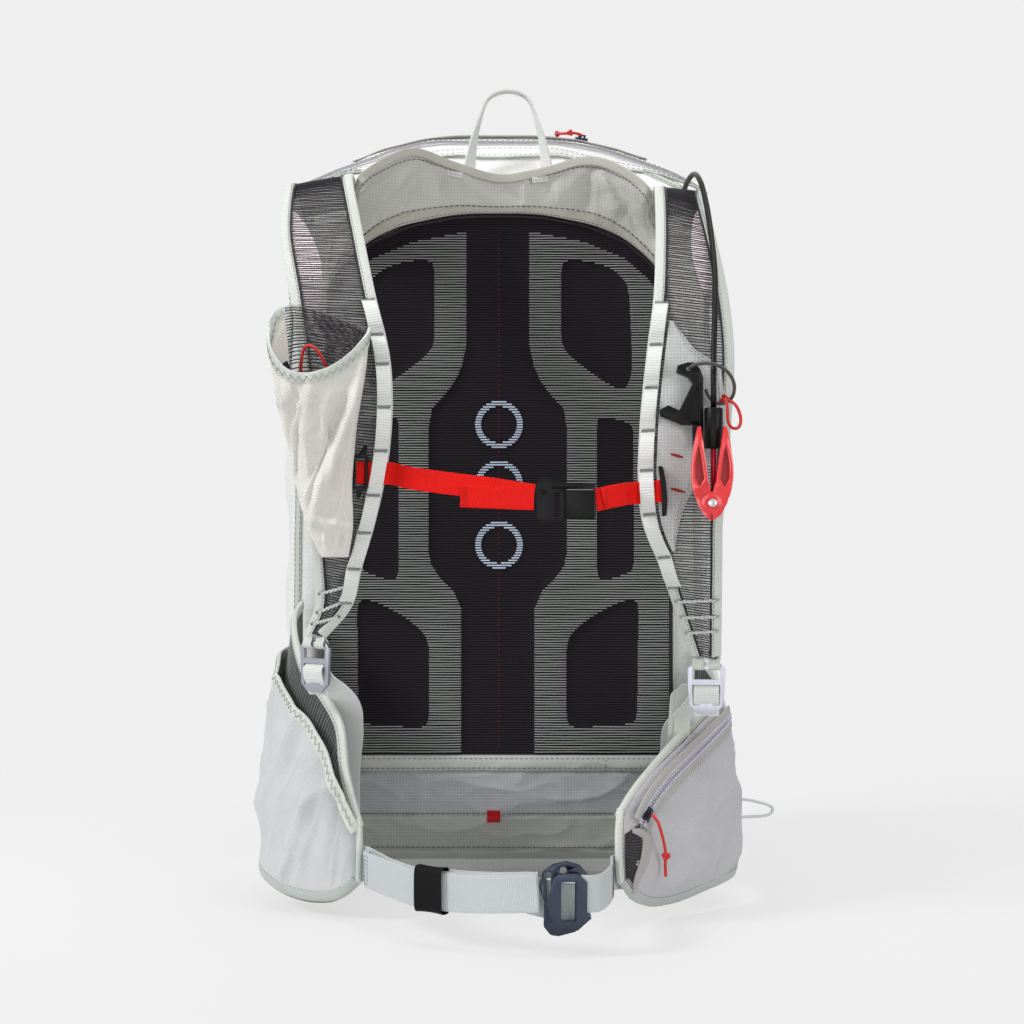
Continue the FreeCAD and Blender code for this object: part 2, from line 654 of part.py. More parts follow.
def strap_keeper():
    """A sleeve round the belt, wide enough for the belt's bend."""
    line = smooth(LEFT_BELT, 60)
    k = min(range(1, 59), key=lambda i: abs(line[i].x - KEEPER_X))
    along = V(line[k + 1].x - line[k - 1].x, line[k + 1].y - line[k - 1].y, 0)
    half_gap = HIP_WEBBING_THICKNESS / 2 + FIT_GAP + KEEPER_SAG
    half_height = HIP_WEBBING_WIDTH / 2 + FIT_GAP + KEEPER_SAG / 2
    half = KEEPER_LENGTH / 2
    outer = block(-half, half, -half_gap - KEEPER_WALL, half_gap + KEEPER_WALL,
                  -half_height - KEEPER_WALL, half_height + KEEPER_WALL)
    inner = block(-half - 1, half + 1, -half_gap, half_gap, -half_height, half_height)
    return placed(outer.cut(inner), along, (0, 0, 1), line[k])


CHEST_Y = -268.0
CHEST_RISE = CLOTH_RISE + FIT_GAP + CHEST_WEBBING_THICKNESS / 2
PANEL_RISE = FIT_GAP + POCKET_CLOTH
SLIDER_RISE = CLOTH_RISE + CHEST_WEBBING_THICKNESS + FIT_GAP + 1.4
LEFT_CHEST_Z, RIGHT_CHEST_Z = 308.0, 295.0
LEFT_CHEST = [strap_spot(LEFT_STRAP, LEFT_CHEST_Z, inset, CHEST_RISE)[0] for inset in (19.0, 12.0, 4.0)]
LEFT_CHEST += [strap_spot(LEFT_STRAP, LEFT_CHEST_Z, -2.5, CHEST_RISE + 0.4)[0], (-60, -257.5, 305),
               (-40, -262.5, 302), (-5, -267, 297.5), (24.5, -267.6, 293)]
CHEST_TAIL = [(-24, -267.4, 292.5), (0, -269.0, 291.5), (24.5, -269.2, 290.5)]
RIGHT_CHEST = [(67.4, -267.3, 290), (72, -266.3, 291.5), (82, -262, 293.5)]
RIGHT_CHEST_STEPS = [(-2.5, 0.3), (5.0, 0.2), (9.0, 0.4), (12.8, PANEL_RISE + 0.4), (16.0, PANEL_RISE + 0.1)]
RIGHT_CHEST += [strap_spot(RIGHT_STRAP, RIGHT_CHEST_Z, inset, CHEST_RISE + rise)[0]
                for inset, rise in RIGHT_CHEST_STEPS]
SOCKET_X0, SOCKET_X1 = 45.0, 65.0


def sternum_buckle_socket():
    """The female half, with a cavity for the tongue and a bar for its webbing."""
    y0, y1 = CHEST_Y - 4.2, CHEST_Y + 4.0
    body = block(SOCKET_X0, SOCKET_X1, y0, y1, 277.5, 296.5)
    cavity = block(SOCKET_X0 - 1, SOCKET_X0 + 13.5, CHEST_Y - 2.1, CHEST_Y + 2.1, 280.0, 294.0)
    return body.cut(cavity)


def sternum_buckle_plug():
    """The male half: a ladder plate with a slot, a tongue and a latch arm along the socket's top."""
    half = PLASTIC_PLATE / 2
    outline = [(26.3, 279), (29, 275.5), (44.4, 275.5), (44.4, 301.5), (37, 304), (33, 306), (28.5, 304.5),
               (26.3, 300)]
    body = plate(outline, CHEST_Y - half, CHEST_Y + half)
    body = body.cut(block(38.0, 41.6, CHEST_Y - 5, CHEST_Y + 5, 277.8, 294.6))
    body = body.cut(block(29.5, 33.0, CHEST_Y - 5, CHEST_Y + 5, 293.5, 296.5))
    tongue = block(44.3, 57.6, CHEST_Y - half, CHEST_Y + half, 281.0, 293.0)
    arm = block(36.0, 65.0, CHEST_Y - half - 0.8, CHEST_Y + half, 297.2, 301.4)
    return body.fuse([tongue, arm])


def sternum_slider_left():
    """A flat ring beside the webbing ladder, with a bar for its webbing and a prong above and below."""
    ring = block(-5.3, 5.3, -1.2, 1.2, -11.5, 11.5).cut(block(-3.3, 7, -3, 3, -9.1, 9.1))
    bar = rod((4.3, 0, -9.2), (4.3, 0, 9.2), 1.0)
    upper = plate([(-1.5, 11.4), (4.0, 11.4), (4.4, 18), (2.6, 18)], -1.2, 0.8)
    lower = plate([(-2.5, -11.4), (2.5, -11.4), (0.2, -17.5), (-1.8, -17.5)], -1.2, 0.8)
    place, inwards, _ = strap_spot(LEFT_STRAP, LEFT_CHEST_Z + 0.5, DAISY_WIDTH + 7.1, SLIDER_RISE)
    return placed(ring.fuse([bar, upper, lower]), inwards, (0, 0, 1), place)


def sternum_slider_right():
    """A bowed bar beside the ladder's outer edge that the short webbing loops round."""
    outline = [(-2, -17), (1.0, -16.5), (2.4, -6), (2.4, 6), (1.0, 16.5), (-2, 17), (-1.2, 6), (-1.2, -6)]
    bar = plate(outline, -1.5, 1.5)
    rise = SLIDER_RISE + PANEL_RISE + FIT_GAP
    place, inwards, _ = strap_spot(RIGHT_STRAP, RIGHT_CHEST_Z, DAISY_WIDTH + 5.6, rise)
    return placed(bar, [-c for c in inwards], (0, 0, 1), place)


def metal_buckle(centre, turn):
    """A cast ladder-lock frame with round end bars, a middle bar and a tongue."""
    half_w, half_h, t = METAL_WIDTH / 2, METAL_HEIGHT / 2, METAL_BAR
    outline = [(-half_w, half_h - 5), (-half_w + 3.5, half_h - 1.2), (half_w - 3.5, half_h - 1.2),
               (half_w, half_h - 5), (half_w - 1.2, -half_h + 6), (half_w - 7, -half_h),
               (-half_w + 7, -half_h), (-half_w + 1.2, -half_h + 6)]
    body = plate(outline, -t / 2, t / 2)
    body = body.cut(block(-9.6, 9.6, -5, 5, 5.4, 12.8))
    body = body.cut(block(-9.6, 9.6, -5, 5, -12.6, 1.8))
    bar = rod((-half_w + 3.4, 0, half_h - 2.6), (half_w - 3.4, 0, half_h - 2.6), t / 2)
    stem = [(-4.2, -12.7), (4.2, -12.7), (4.2, -7.4), (7.6, -4.4), (-7.6, -4.4), (-4.2, -7.4)]
    tongue = plate(stem, -t / 2, t / 2)
    body = body.fuse([bar, tongue])
    body.rotate(V(0, 0, 0), V(0, 0, 1), turn)
    body.translate(V(*centre))
    return body


LEFT_BUCKLE, LEFT_BUCKLE_TURN = (-126.2, -202.8, 175.2), -36.0
RIGHT_BUCKLE, RIGHT_BUCKLE_TURN = (145.2, -199.0, 160.0), -8.0


def buckle_spot(centre, turn, height):
    """A place behind a buckle's frame, where the webbing that it grips lies."""
    back = (METAL_BAR + LOWER_WEBBING_THICKNESS) / 2 + CURVE_GAP
    angle = math.radians(turn)
    return (centre[0] - math.sin(angle) * back, centre[1] + math.cos(angle) * back, centre[2] + height)


def buckle_across(turn):
    return (math.cos(math.radians(turn)), math.sin(math.radians(turn)), 0)


def lower_strap(points, across):
    return ribbon(points, LOWER_WEBBING_WIDTH, LOWER_WEBBING_THICKNESS, across, 26)


# ---- Haul loop -------------------------------------------------------------------------------------

HAUL_LEFT, HAUL_RIGHT = -26.0, 40.0
HAUL_FOOT_Z, HAUL_TOP_Z = SHOULDER_HEIGHT + 16.0, SHOULDER_HEIGHT + 85.5
HAUL_Y = BAG_BACK - FIT_GAP - HAUL_WIDTH / 2
HAUL_FOLD_Z = HAUL_FOOT_Z + HAUL_WIDTH / 2


def haul_loop():
    """A loop of webbing that stands on the yoke's back edge; its width lies along Y."""
    middle = (HAUL_LEFT + HAUL_RIGHT) / 2
    half = [(HAUL_LEFT + 3, HAUL_FOOT_Z), (HAUL_LEFT + 5, HAUL_FOOT_Z + 20),
            (HAUL_LEFT + 11, HAUL_FOOT_Z + 46), (middle - 13, HAUL_TOP_Z - 4)]
    points = [(x, HAUL_Y, z) for x, z in half] + [(middle, HAUL_Y, HAUL_TOP_Z)]
    points += [(2 * middle - x, HAUL_Y, z) for x, z in half[::-1]]
    loop = ribbon(points, HAUL_WIDTH, HAUL_THICKNESS, ACROSS_Y, 40)
    foot = block(HAUL_LEFT - 5, HAUL_RIGHT + 5, HAUL_Y - HAUL_WIDTH, HAUL_Y + HAUL_WIDTH,
                 HAUL_FOOT_Z - 1, HAUL_FOLD_Z)
    axis_start, axis_end = (HAUL_LEFT - 6, HAUL_Y, HAUL_FOLD_Z), (HAUL_RIGHT + 6, HAUL_Y, HAUL_FOLD_Z)
    rounding = rod(axis_start, axis_end, HAUL_WIDTH / 2)
    return loop.cut(foot.cut(rounding))


# ---- Trigger ---------------------------------------------------------------------------------------

FERRULE_X, FERRULE_Y, FERRULE_TOP = 143.6, -262.0, 351.0
FERRULE_BOTTOM = FERRULE_TOP - FERRULE_LENGTH
TRIGGER_X, SCREW_Z = FERRULE_X - 2.0, FERRULE_BOTTOM - 36.0
HUB_RADIUS = 7.2
HUB_WIDTH, HUB_HEIGHT, HUB_SHIFT = 8.0, 13.0, 0.6
ROD_BOTTOM = SCREW_Z + HUB_HEIGHT - 5.0
ROD_TOP = ROD_BOTTOM + TRIGGER_STROKE
REAR_LAYER = FERRULE_Y - FERRULE_RADIUS - FIT_GAP
FRONT_LAYER = REAR_LAYER - WING_PLATE - LAYER_GAP
ARM_OUTLINE = [(11.2, 3.6), (13.0, 10), (13.9, 17), (13.9, 24), (12.2, 38), (9.6, 50), (7.6, 50.4), (5.4, 36),
               (2.4, 14), (0.7, 8.6), (4.8, 7.4), (8.2, 3.4)]
LOBE_OUTLINE = [(0.3, -11.8), (5.5, -8), (9.6, -0.5), (12.6, 9), (6, 10), (1.2, 9.5), (0.3, 6)]
WING_WINDOW = [(8.2, 10.5), (11.2, 16), (11.4, 26), (9, 38), (7.4, 32), (5.2, 16)]
LOBE_SWEEP = 12.4


def trigger_wing(side, layer):
    """A red finger wing that turns about the screw; side is -1 for the left one.

    Its arm has the full thickness outside the sweep of the other wing's lobe. Its lobe and hub have one
    layer, so that the two wings lap.
    """

    def part(outline, y0, y1):
        return plate([(TRIGGER_X + side * x, SCREW_Z + z) for x, z in outline], y0, y1)

    other = FRONT_LAYER if layer == REAR_LAYER else REAR_LAYER
    sweep = rod((TRIGGER_X, other - WING_PLATE - LAYER_GAP, SCREW_Z), (TRIGGER_X, other + LAYER_GAP, SCREW_Z),
                LOBE_SWEEP)
    arm = part(ARM_OUTLINE, FRONT_LAYER - WING_PLATE, REAR_LAYER).cut(sweep)
    lobe = part(LOBE_OUTLINE, layer - WING_PLATE, layer)
    hub = rod((TRIGGER_X, layer - WING_PLATE, SCREW_Z), (TRIGGER_X, layer, SCREW_Z), HUB_RADIUS)
    window = part(WING_WINDOW, layer - 4 * WING_PLATE, layer + 4 * WING_PLATE)
    bore = rod((TRIGGER_X, layer - WING_PLATE - 1, SCREW_Z), (TRIGGER_X, layer + 1, SCREW_Z),
               SCREW_RADIUS + RUN_CLEARANCE)
    return arm.fuse([lobe, hub]).cut(window).cut(bore)


def cable_ferrule():
    """The black end piece of the sheath, open below for the trigger's rod."""
    body = rod((FERRULE_X, FERRULE_Y, FERRULE_BOTTOM), (FERRULE_X, FERRULE_Y, FERRULE_TOP), FERRULE_RADIUS)
    socket = rod((FERRULE_X, FERRULE_Y, FERRULE_BOTTOM - 1), (FERRULE_X, FERRULE_Y, ROD_TOP + 2),
                 TRIGGER_ROD_RADIUS + RUN_CLEARANCE)
    hole = rod((FERRULE_X, FERRULE_Y, ROD_TOP), (FERRULE_X, FERRULE_Y, FERRULE_TOP + 1), CABLE_BORE_RADIUS)
    return body.cut(socket).cut(hole)


def trigger_rod():
    """The anodised rod that the cable ends in; it leaves the ferrule when the trigger is pulled."""
    return rod((FERRULE_X, FERRULE_Y, ROD_BOTTOM), (FERRULE_X, FERRULE_Y, ROD_TOP), TRIGGER_ROD_RADIUS)


def trigger_core():
    """The hub block behind the wings, under the rod's lower end, with a bore for the screw."""
    centre = TRIGGER_X + HUB_SHIFT
    y0, y1 = REAR_LAYER + LAYER_GAP, FERRULE_Y + TRIGGER_ROD_RADIUS + 1.0
    hub = block(centre - HUB_WIDTH / 2, centre + HUB_WIDTH / 2, y0, y1, ROD_BOTTOM - HUB_HEIGHT, ROD_BOTTOM)
    bore_start, bore_end = (TRIGGER_X, y0 - 1, SCREW_Z), (TRIGGER_X, y1 + 1, SCREW_Z)
    return hub.cut(rod(bore_start, bore_end, SCREW_RADIUS + RUN_CLEARANCE))


def trigger_screw():
    """A pan-head screw along Y through the wings and the hub."""
    seat = FRONT_LAYER - WING_PLATE - LAYER_GAP
    head = rod((TRIGGER_X, seat - SCREW_HEAD_HEIGHT, SCREW_Z), (TRIGGER_X, seat, SCREW_Z), SCREW_HEAD_RADIUS)
    shank = rod((TRIGGER_X, seat - 0.5, SCREW_Z), (TRIGGER_X, FERRULE_Y + 2.9, SCREW_Z), SCREW_RADIUS)
    return head.fuse(shank)


CLIP_BACK, CLIP_FRONT = -250.6, -258.0
CLIP_SIDE = FERRULE_X - FERRULE_RADIUS - FIT_GAP
# X from the clip's right side and Z from the ferrule's top.
CLIP_BODY = [(0, -11), (0, 20.5), (-2.4, 26.5), (-6.6, 30.5), (-10.6, 30.5), (-16.8, 28.5), (-17.6, 23.6),
             (-9.7, 20.5), (-6.8, 16.5), (-15.6, -1.5), (-23.4, 2), (-28.9, -1), (-28, -5.4), (-18, -9.2),
             (-14.2, -11)]
CLIP_RECESS = [(-2.8, -7.5), (-2.8, 13), (-4.6, 14), (-12.6, -4.5), (-11.2, -7.5)]
CLIP_HOLE = (-9.8, 26.4)
CLIP_SHOE = (6.7, -26.0, -10.9)


def trigger_clip():
    """The moulded holder beside the ferrule, with an upper arm, a lower hook and a cord hole."""

    def beside(outline):
        return [(CLIP_SIDE + x, FERRULE_TOP + z) for x, z in outline]

    body = plate(beside(CLIP_BODY), CLIP_FRONT, CLIP_BACK)
    recess = plate(beside(CLIP_RECESS), CLIP_FRONT - 1, CLIP_FRONT + 2.4)
    (x, z), = beside([CLIP_HOLE])
    hole = rod((x, CLIP_FRONT - 1, z), (x, CLIP_BACK + 1, z), TETHER_RADIUS + FIT_GAP)
    width, low, high = CLIP_SHOE
    shoe = block(CLIP_SIDE - width, CLIP_SIDE, CLIP_FRONT, CLIP_BACK, FERRULE_TOP + low, FERRULE_TOP + high)
    return body.fuse(shoe).cut(recess).cut(hole)


# ---- Inside the bag --------------------------------------------------------------------------------

SHEET_BACK = BAG_BACK + BAG_WALL + CURVE_GAP
STAY_BACK = SHEET_BACK + SHEET_THICKNESS + FIT_GAP
STAY_FRONT = STAY_BACK + STAY_THICKNESS
STAY_X, STAY_BOTTOM, STAY_TOP = 62.0, 50.0, 480.0


def frame_stay():
    """One aluminium hoop of flat bar."""
    outer = block(-STAY_X - STAY_WIDTH, STAY_X + STAY_WIDTH, STAY_BACK, STAY_FRONT, STAY_BOTTOM, STAY_TOP)
    inner = block(-STAY_X, STAY_X, STAY_BACK - 1, STAY_FRONT + 1, STAY_BOTTOM - 1, STAY_TOP - STAY_WIDTH)
    return outer.cut(inner)


CYLINDER_TOP = CYLINDER_BOTTOM + CYLINDER_LENGTH
NECK_TOP = CYLINDER_TOP + CYLINDER_NECK_LENGTH
INFLATOR_BOTTOM = CYLINDER_TOP + 2.0
INFLATOR_TOP = INFLATOR_BOTTOM + INFLATOR_HEIGHT
PISTON_BOTTOM = NECK_TOP + 2.0


def gas_cylinder():
    """A thick-walled pressure cylinder with domed shoulders and a threaded neck."""
    x, y = CYLINDER_X, CYLINDER_Y
    body = rod((x, y, CYLINDER_BOTTOM), (x, y, CYLINDER_TOP), CYLINDER_RADIUS)
    body = body.makeFillet(CYLINDER_DOME, [e for e in body.Edges if len(e.Vertexes) == 1])
    room = rod((x, y, CYLINDER_BOTTOM + CYLINDER_WALL), (x, y, CYLINDER_TOP - CYLINDER_WALL),
               CYLINDER_RADIUS - CYLINDER_WALL)
    room = room.makeFillet(CYLINDER_DOME - CYLINDER_WALL, [e for e in room.Edges if len(e.Vertexes) == 1])
    neck = rod((x, y, CYLINDER_TOP - 1), (x, y, NECK_TOP), CYLINDER_NECK_RADIUS)
    return body.cut(room).fuse(neck)


def inflator_body():
    """The valve head: a socket for the cylinder's neck, a bore for the piston and a wall bracket."""
    x, y, half = CYLINDER_X, CYLINDER_Y, INFLATOR_SIZE / 2
    body = block(x - half, x + half, y - half, y + half, INFLATOR_BOTTOM, INFLATOR_TOP)
    bracket = block(x - half, x + half, STAY_BACK, y - half + 1, INFLATOR_BOTTOM + 8, INFLATOR_BOTTOM + 14)
    foot = block(x - half, x + half, STAY_BACK, STAY_BACK + 4, INFLATOR_BOTTOM, INFLATOR_TOP)
    socket = rod((x, y, INFLATOR_BOTTOM - 1), (x, y, NECK_TOP + 0.5), CYLINDER_NECK_RADIUS + THREAD_CLEARANCE)
    bore = rod((x, y, PISTON_BOTTOM - 0.5), (x, y, INFLATOR_TOP + 1), PISTON_RADIUS + RUN_CLEARANCE)
    return body.fuse([bracket, foot]).cut(socket).cut(bore)


def inflator_cap():
    """The cover that closes the piston's bore and holds the sheath's inner end."""
    x, y, half = CYLINDER_X, CYLINDER_Y, INFLATOR_SIZE / 2
    top = INFLATOR_TOP + CAP_THICKNESS
    body = block(x - half, x + half, y - half, y + half, INFLATOR_TOP, top)
    return body.cut(rod((x, y, INFLATOR_TOP - 1), (x, y, top + 1), CABLE_BORE_RADIUS))


def inflator_piston():
    x, y = CYLINDER_X, CYLINDER_Y
    return rod((x, y, PISTON_BOTTOM), (x, y, PISTON_BOTTOM + PISTON_LENGTH), PISTON_RADIUS)


BLADDER_Y0, BLADDER_Y1 = -40.0, 15.0
BLADDER_FOOT = SHOULDER_HEIGHT - 95.0
BLADDER_ARCH = [(158.5, BLADDER_FOOT), (158.0, SHOULDER_HEIGHT - 3), (140, SHOULDER_HEIGHT + 23),
                (112, SHOULDER_HEIGHT + 36), (80, SHOULDER_HEIGHT + 45), (40, SHOULDER_HEIGHT + 50)]


def bladder(shift, thickness):
    """A folded airbag, packed as an arch inside the bag's shoulders and top."""
    outer = [(x - shift, z - shift if z > BLADDER_FOOT else z) for x, z in BLADDER_ARCH]
    depth = shift + thickness
    inner = [(x - depth, z - depth if z > BLADDER_FOOT else z) for x, z in BLADDER_ARCH if x > depth]
    right = outer + [(-x, z) for x, z in outer[::-1]]
    back = [(-x, z) for x, z in inner] + inner[::-1]
    return plate(right + back, BLADDER_Y0, BLADDER_Y1)


HOSE_ROUTE = [(CYLINDER_X - INFLATOR_SIZE / 2 - FIT_GAP, CYLINDER_Y, INFLATOR_TOP - 14),
              (CYLINDER_X - 30, CYLINDER_Y, INFLATOR_TOP - 14),
              (CYLINDER_X - 38, CYLINDER_Y + 2, INFLATOR_TOP + 6),
              (CYLINDER_X - 44, CYLINDER_Y + 3, INFLATOR_TOP + 44),
              (CYLINDER_X - 46, -12, INFLATOR_TOP + 100), (CYLINDER_X - 47, -12, BLADDER_FOOT - 48),
              (CYLINDER_X - 47.5, -12.5, BLADDER_FOOT - FIT_GAP)]
SHEATH_ROUTE = [(CYLINDER_X, CYLINDER_Y, INFLATOR_TOP + CAP_THICKNESS), (CYLINDER_X, CYLINDER_Y, 268),
                (-90, -26, 310), (-66, -44, 352), (-20, -54, 384), (40, -56, 404), (92, -56, 426),
                (126, -57, 458), (137, -57, 490), (SHEATH_GATE_X, -60, 511), (SHEATH_GATE_X, -70.5, 521.5),
                (SHEATH_GATE_X, -90, 526), (SHEATH_GATE_X + 1, -114, 529), (143, -138, 529),
                (145, -162, 518.5), (147, -184, 498), (148, -206, 473), (148.5, -226, 445),
                (147, -240, 420), (145, -251, 396), (FERRULE_X, FERRULE_Y, FERRULE_TOP + 21),
                (FERRULE_X, FERRULE_Y, FERRULE_TOP)]

# ---- Outside the bag -------------------------------------------------------------------------------


def bag_reach(y, angle, offset):
    """A point that stands off the bag's surface in the plane of y, at an angle from straight up."""
    centre = V(0, y, 300)
    out = V(math.sin(angle), 0, math.cos(angle))
    near, far = 0.0, 400.0
    while far - near > 0.01:
        middle = (near + far) / 2
        p = centre + out * middle
        inside = 0 < p.z < BAG_LEVELS[-1][0]
        if inside:
            _, half_width, back, front = bag_level(p.z)
            power = FRONT_SQUARENESS if y > (back + front) / 2 else BACK_SQUARENESS
            across = abs(p.x) / half_width
            deep = abs(y - (back + front) / 2) / ((front - back) / 2)
            inside = across**power + deep**power < 1
        near, far = (middle, far) if inside else (near, middle)
    return centre + out * (near + offset)


def top_tape(y, low, high, width, thickness, count):
    """A tape that follows the bag's top in the plane of y between two angles."""
    outer, inner = [], []
    for k in range(count):
        angle = low + (high - low) * k / (count - 1)
        for row, offset in ((inner, CURVE_GAP), (outer, CURVE_GAP + thickness)):
            row.append([bag_reach(y + s * width / 2, angle, offset) for s in (-1, 0, 1)])
    return slab(outer, inner)


FRONT_POCKET_HALF, FRONT_POCKET_BOTTOM, FRONT_POCKET_TOP = 120.0, 62.0, 412.0
FRONT_POCKET_DEPTH = 14.0
FRONT_ZIP_Z = 384.0


def front_pocket_grid(offset):
    """Points over the front pocket, which swells evenly and thins out at its edges."""
    grid = []
    columns, rows = 13, 10
    for i in range(rows):
        z = FRONT_POCKET_BOTTOM + (FRONT_POCKET_TOP - FRONT_POCKET_BOTTOM) * i / (rows - 1)
        row = []
        for j in range(columns):
            x = FRONT_POCKET_HALF * (2 * j / (columns - 1) - 1)
            edge = min((FRONT_POCKET_HALF - abs(x)) / 22, (z - FRONT_POCKET_BOTTOM) / 40,
                       (FRONT_POCKET_TOP - z) / 26, 1.0)
            swell = offset * (0.12 + 0.88 * math.sin(edge * math.pi / 2)) if offset else 0.0
            row.append(V(x, bag_front(x, z) + CURVE_GAP + swell, z))
        grid.append(row)
    return grid


def front_pocket():
    return slab(front_pocket_grid(FRONT_POCKET_DEPTH), front_pocket_grid(0.0))


FRONT_ZIP_Y = bag_front(0, FRONT_ZIP_Z) + FRONT_POCKET_DEPTH + FIT_GAP
FRONT_ZIP_HALF, FRONT_ZIP_WIDTH = 92.0, 11.0
ZIP_TAPE = 0.8
SLIDER_LENGTH, SLIDER_WIDTH, SLIDER_HEIGHT = 10.0, 7.0, 3.4
FRONT_SLIDER_X = -80.0
RELEASE_ZIP_Y = -42.0
TOP_ZIP_Y, TOP_ZIP_WIDTH = -24.0, 11.0
TOP_ZIP_REST = math.asin(64.0 / TOP_ARCH_RADIUS)
SLIDER_PIN = 0.9


def zip_slider():
    """A slider lying along X at the origin with its underside at z = 0 and a bail for the pull."""
    half_l, half_w = SLIDER_LENGTH / 2, SLIDER_WIDTH / 2
    nose = half_w - 1.6
    outline = [V(-half_l, -half_w, 0), V(half_l, -nose, 0), V(half_l, nose, 0), V(-half_l, half_w, 0)]
    body = Part.Face(Part.makePolygon(outline + outline[:1])).extrude(V(0, 0, 2.2))
    bail = block(-half_l + 2, half_l - 2, -0.9, 0.9, 2.1, SLIDER_HEIGHT + 1.6)
    eye = rod((-0.4, -2, SLIDER_HEIGHT - 0.2), (-0.4, 2, SLIDER_HEIGHT - 0.2), SLIDER_PIN)
    return body.fuse(bail).cut(eye)


# Shares of the pocket's length and height along its zip.
HIP_ZIP_LINE = [(0.93, 0.70), (0.87, 0.80), (0.76, 0.86), (0.6, 0.89), (0.42, 0.9), (0.25, 0.9)]
HIP_ZIP_WIDTH = 8.0
HIP_ZIP_RISE = POCKET_CLOTH / 2 + CURVE_GAP + 0.3


def hip_zip_points(shift, rise):
    """Points beside the hip zip's line on the right pocket, shifted across it and raised off the cloth."""
    line = smooth([(u, t, 0) for u, t in HIP_ZIP_LINE], 24)
    here = [pocket_spot(RIGHT_WING, RIGHT_POCKET, p.x, p.y, 0.0) for p in line]
    above = [pocket_spot(RIGHT_WING, RIGHT_POCKET, p.x, p.y, 1.0) for p in line]
    points = []
    for p, q, r, top in zip(here[:1] + here[:-1], here, here[1:] + here[-1:], above):
        out = (top - q).normalize()
        across = (r - p).normalize().cross(out)
        points.append(q + across * shift + out * rise)
    return points


def zip_tapes():
    """The coils and tapes of the airbag, top, front pocket and hip pocket zips."""
    release = top_tape(RELEASE_ZIP_Y, -1.24, 1.24, 8.0, ZIP_TAPE, 110)
    top = top_tape(TOP_ZIP_Y, -0.42, 0.42, TOP_ZIP_WIDTH, ZIP_TAPE, 40)
    front = block(-FRONT_ZIP_HALF, FRONT_ZIP_HALF, FRONT_ZIP_Y, FRONT_ZIP_Y + ZIP_TAPE,
                  FRONT_ZIP_Z - FRONT_ZIP_WIDTH / 2, FRONT_ZIP_Z + FRONT_ZIP_WIDTH / 2)
    half = HIP_ZIP_WIDTH / 2
    low, high = HIP_ZIP_RISE, HIP_ZIP_RISE + ZIP_TAPE
    outer = [list(pair) for pair in zip(hip_zip_points(-half, high), hip_zip_points(half, high))]
    inner = [list(pair) for pair in zip(hip_zip_points(-half, low), hip_zip_points(half, low))]
    return Part.makeCompound([release, top, front, slab(outer, inner)])


def hip_zip_slider():
    line = hip_zip_points(0.0, HIP_ZIP_RISE + ZIP_TAPE + CURVE_GAP)
    below = hip_zip_points(0.0, 0.0)
    return placed(zip_slider(), line[3] - line[1], line[2] - below[2], line[2])


TOP_PULL = [(65.1, -26.2, 577.6), (61, -30, 579.0), (55, -32.4, 578.2), (49, -32, 578.0), (45, -28, 578.8),
            (44, -22, 579.8), (45.5, -15.5, 580.2)]
HIP_PULL = [(105.1, -229.5, 76.2), (108.3, -232.4, 73.8), (111, -231, 66), (113.5, -227, 57),
            (115, -224, 48.5), (114.5, -223, 40), (115.1, -222.5, 33)]
FRONT_PULL = [(-80, 104.4, 384), (-80, 108.5, 382.5), (-80.8, 110, 375), (-79.6, 109, 366), (-80, 108, 357),
              (-80.2, 108.5, 348)]
SIDE_LOOP = [(165.3, 8, 52), (178, 11, 52.3), (192, 15, 51), (206, 21, 48), (217, 27, 44.5),
             (222.5, 30, 41.5), (222, 30, 37), (216, 27, 35), (204, 21, 35.2), (190, 15, 36),
             (178, 12, 36.6), (165.3, 9, 36.5)]
TETHER_ROUTE = [(127.4, -258.4, 377.4), (129.4, -262.5, 379.2), (136, -266, 380.5), (143, -267, 380),
                (150, -266.5, 377), (155.5, -265, 371.5), (158, -262, 364), (156, -258, 356.5),
                (149, -253.5, 353.5), (141.5, -252.6, 357), (139.2, -252.6, 364)]
RED_ROUTE = [(148.6, -254.7, 356.1), (151.6, -259.5, 358.5), (152.4, -264.3, 354), (153.6, -265.7, 347),
             (154.6, -265.3, 339.5), (156, -264.5, 334), (159, -263.5, 333), (160, -262.5, 338),
             (158.6, -263.5, 346), (158.8, -264, 354)]
FLASK_CORD = [(-131, -253.2, 372), (-130.5, -257, 384), (-127, -262, 393), (-120, -265, 391),
              (-114.5, -262, 382), (-112, -257, 374), (-111.5, -253.4, 365)]
LEFT_LOWER = [buckle_spot(LEFT_BUCKLE, LEFT_BUCKLE_TURN, 4.2),
              buckle_spot(LEFT_BUCKLE, LEFT_BUCKLE_TURN, -3.0),
              (-115, -189.5, 159), (-104, -179, 147), (-101, -162, 129), (-104.5, -138, 98), (-107, -115, 62),
              (-107.5, -97, 42), (-108, -88.0, 32)]
LEFT_LOWER_ACROSS = [buckle_across(LEFT_BUCKLE_TURN)] * 2 + [(1, -0.1, 0)] * 5
RIGHT_LOWER_ACROSS = [buckle_across(RIGHT_BUCKLE_TURN)] * 2 + [(1, 0, 0)] * 4
ACROSS_Y = ((0, 1, 0), (0, 1, 0))
ACROSS_Z = ((0, 0, 1), (0, 0, 1))
RIGHT_LOWER = [buckle_spot(RIGHT_BUCKLE, RIGHT_BUCKLE_TURN, 4.2),
               buckle_spot(RIGHT_BUCKLE, RIGHT_BUCKLE_TURN, -3.0),
               (138.5, -188.5, 147), (129, -178, 138.5), (120, -165.5, 129), (119, -148, 110),
               (120, -124, 78), (122, -104, 50), (123, -88.8, 29)]


def pull_cord(name, points):
    return route_tube(name, points, PULL_CORD_RADIUS)


# ---- Build -----------------------------------------------------------------------------------------

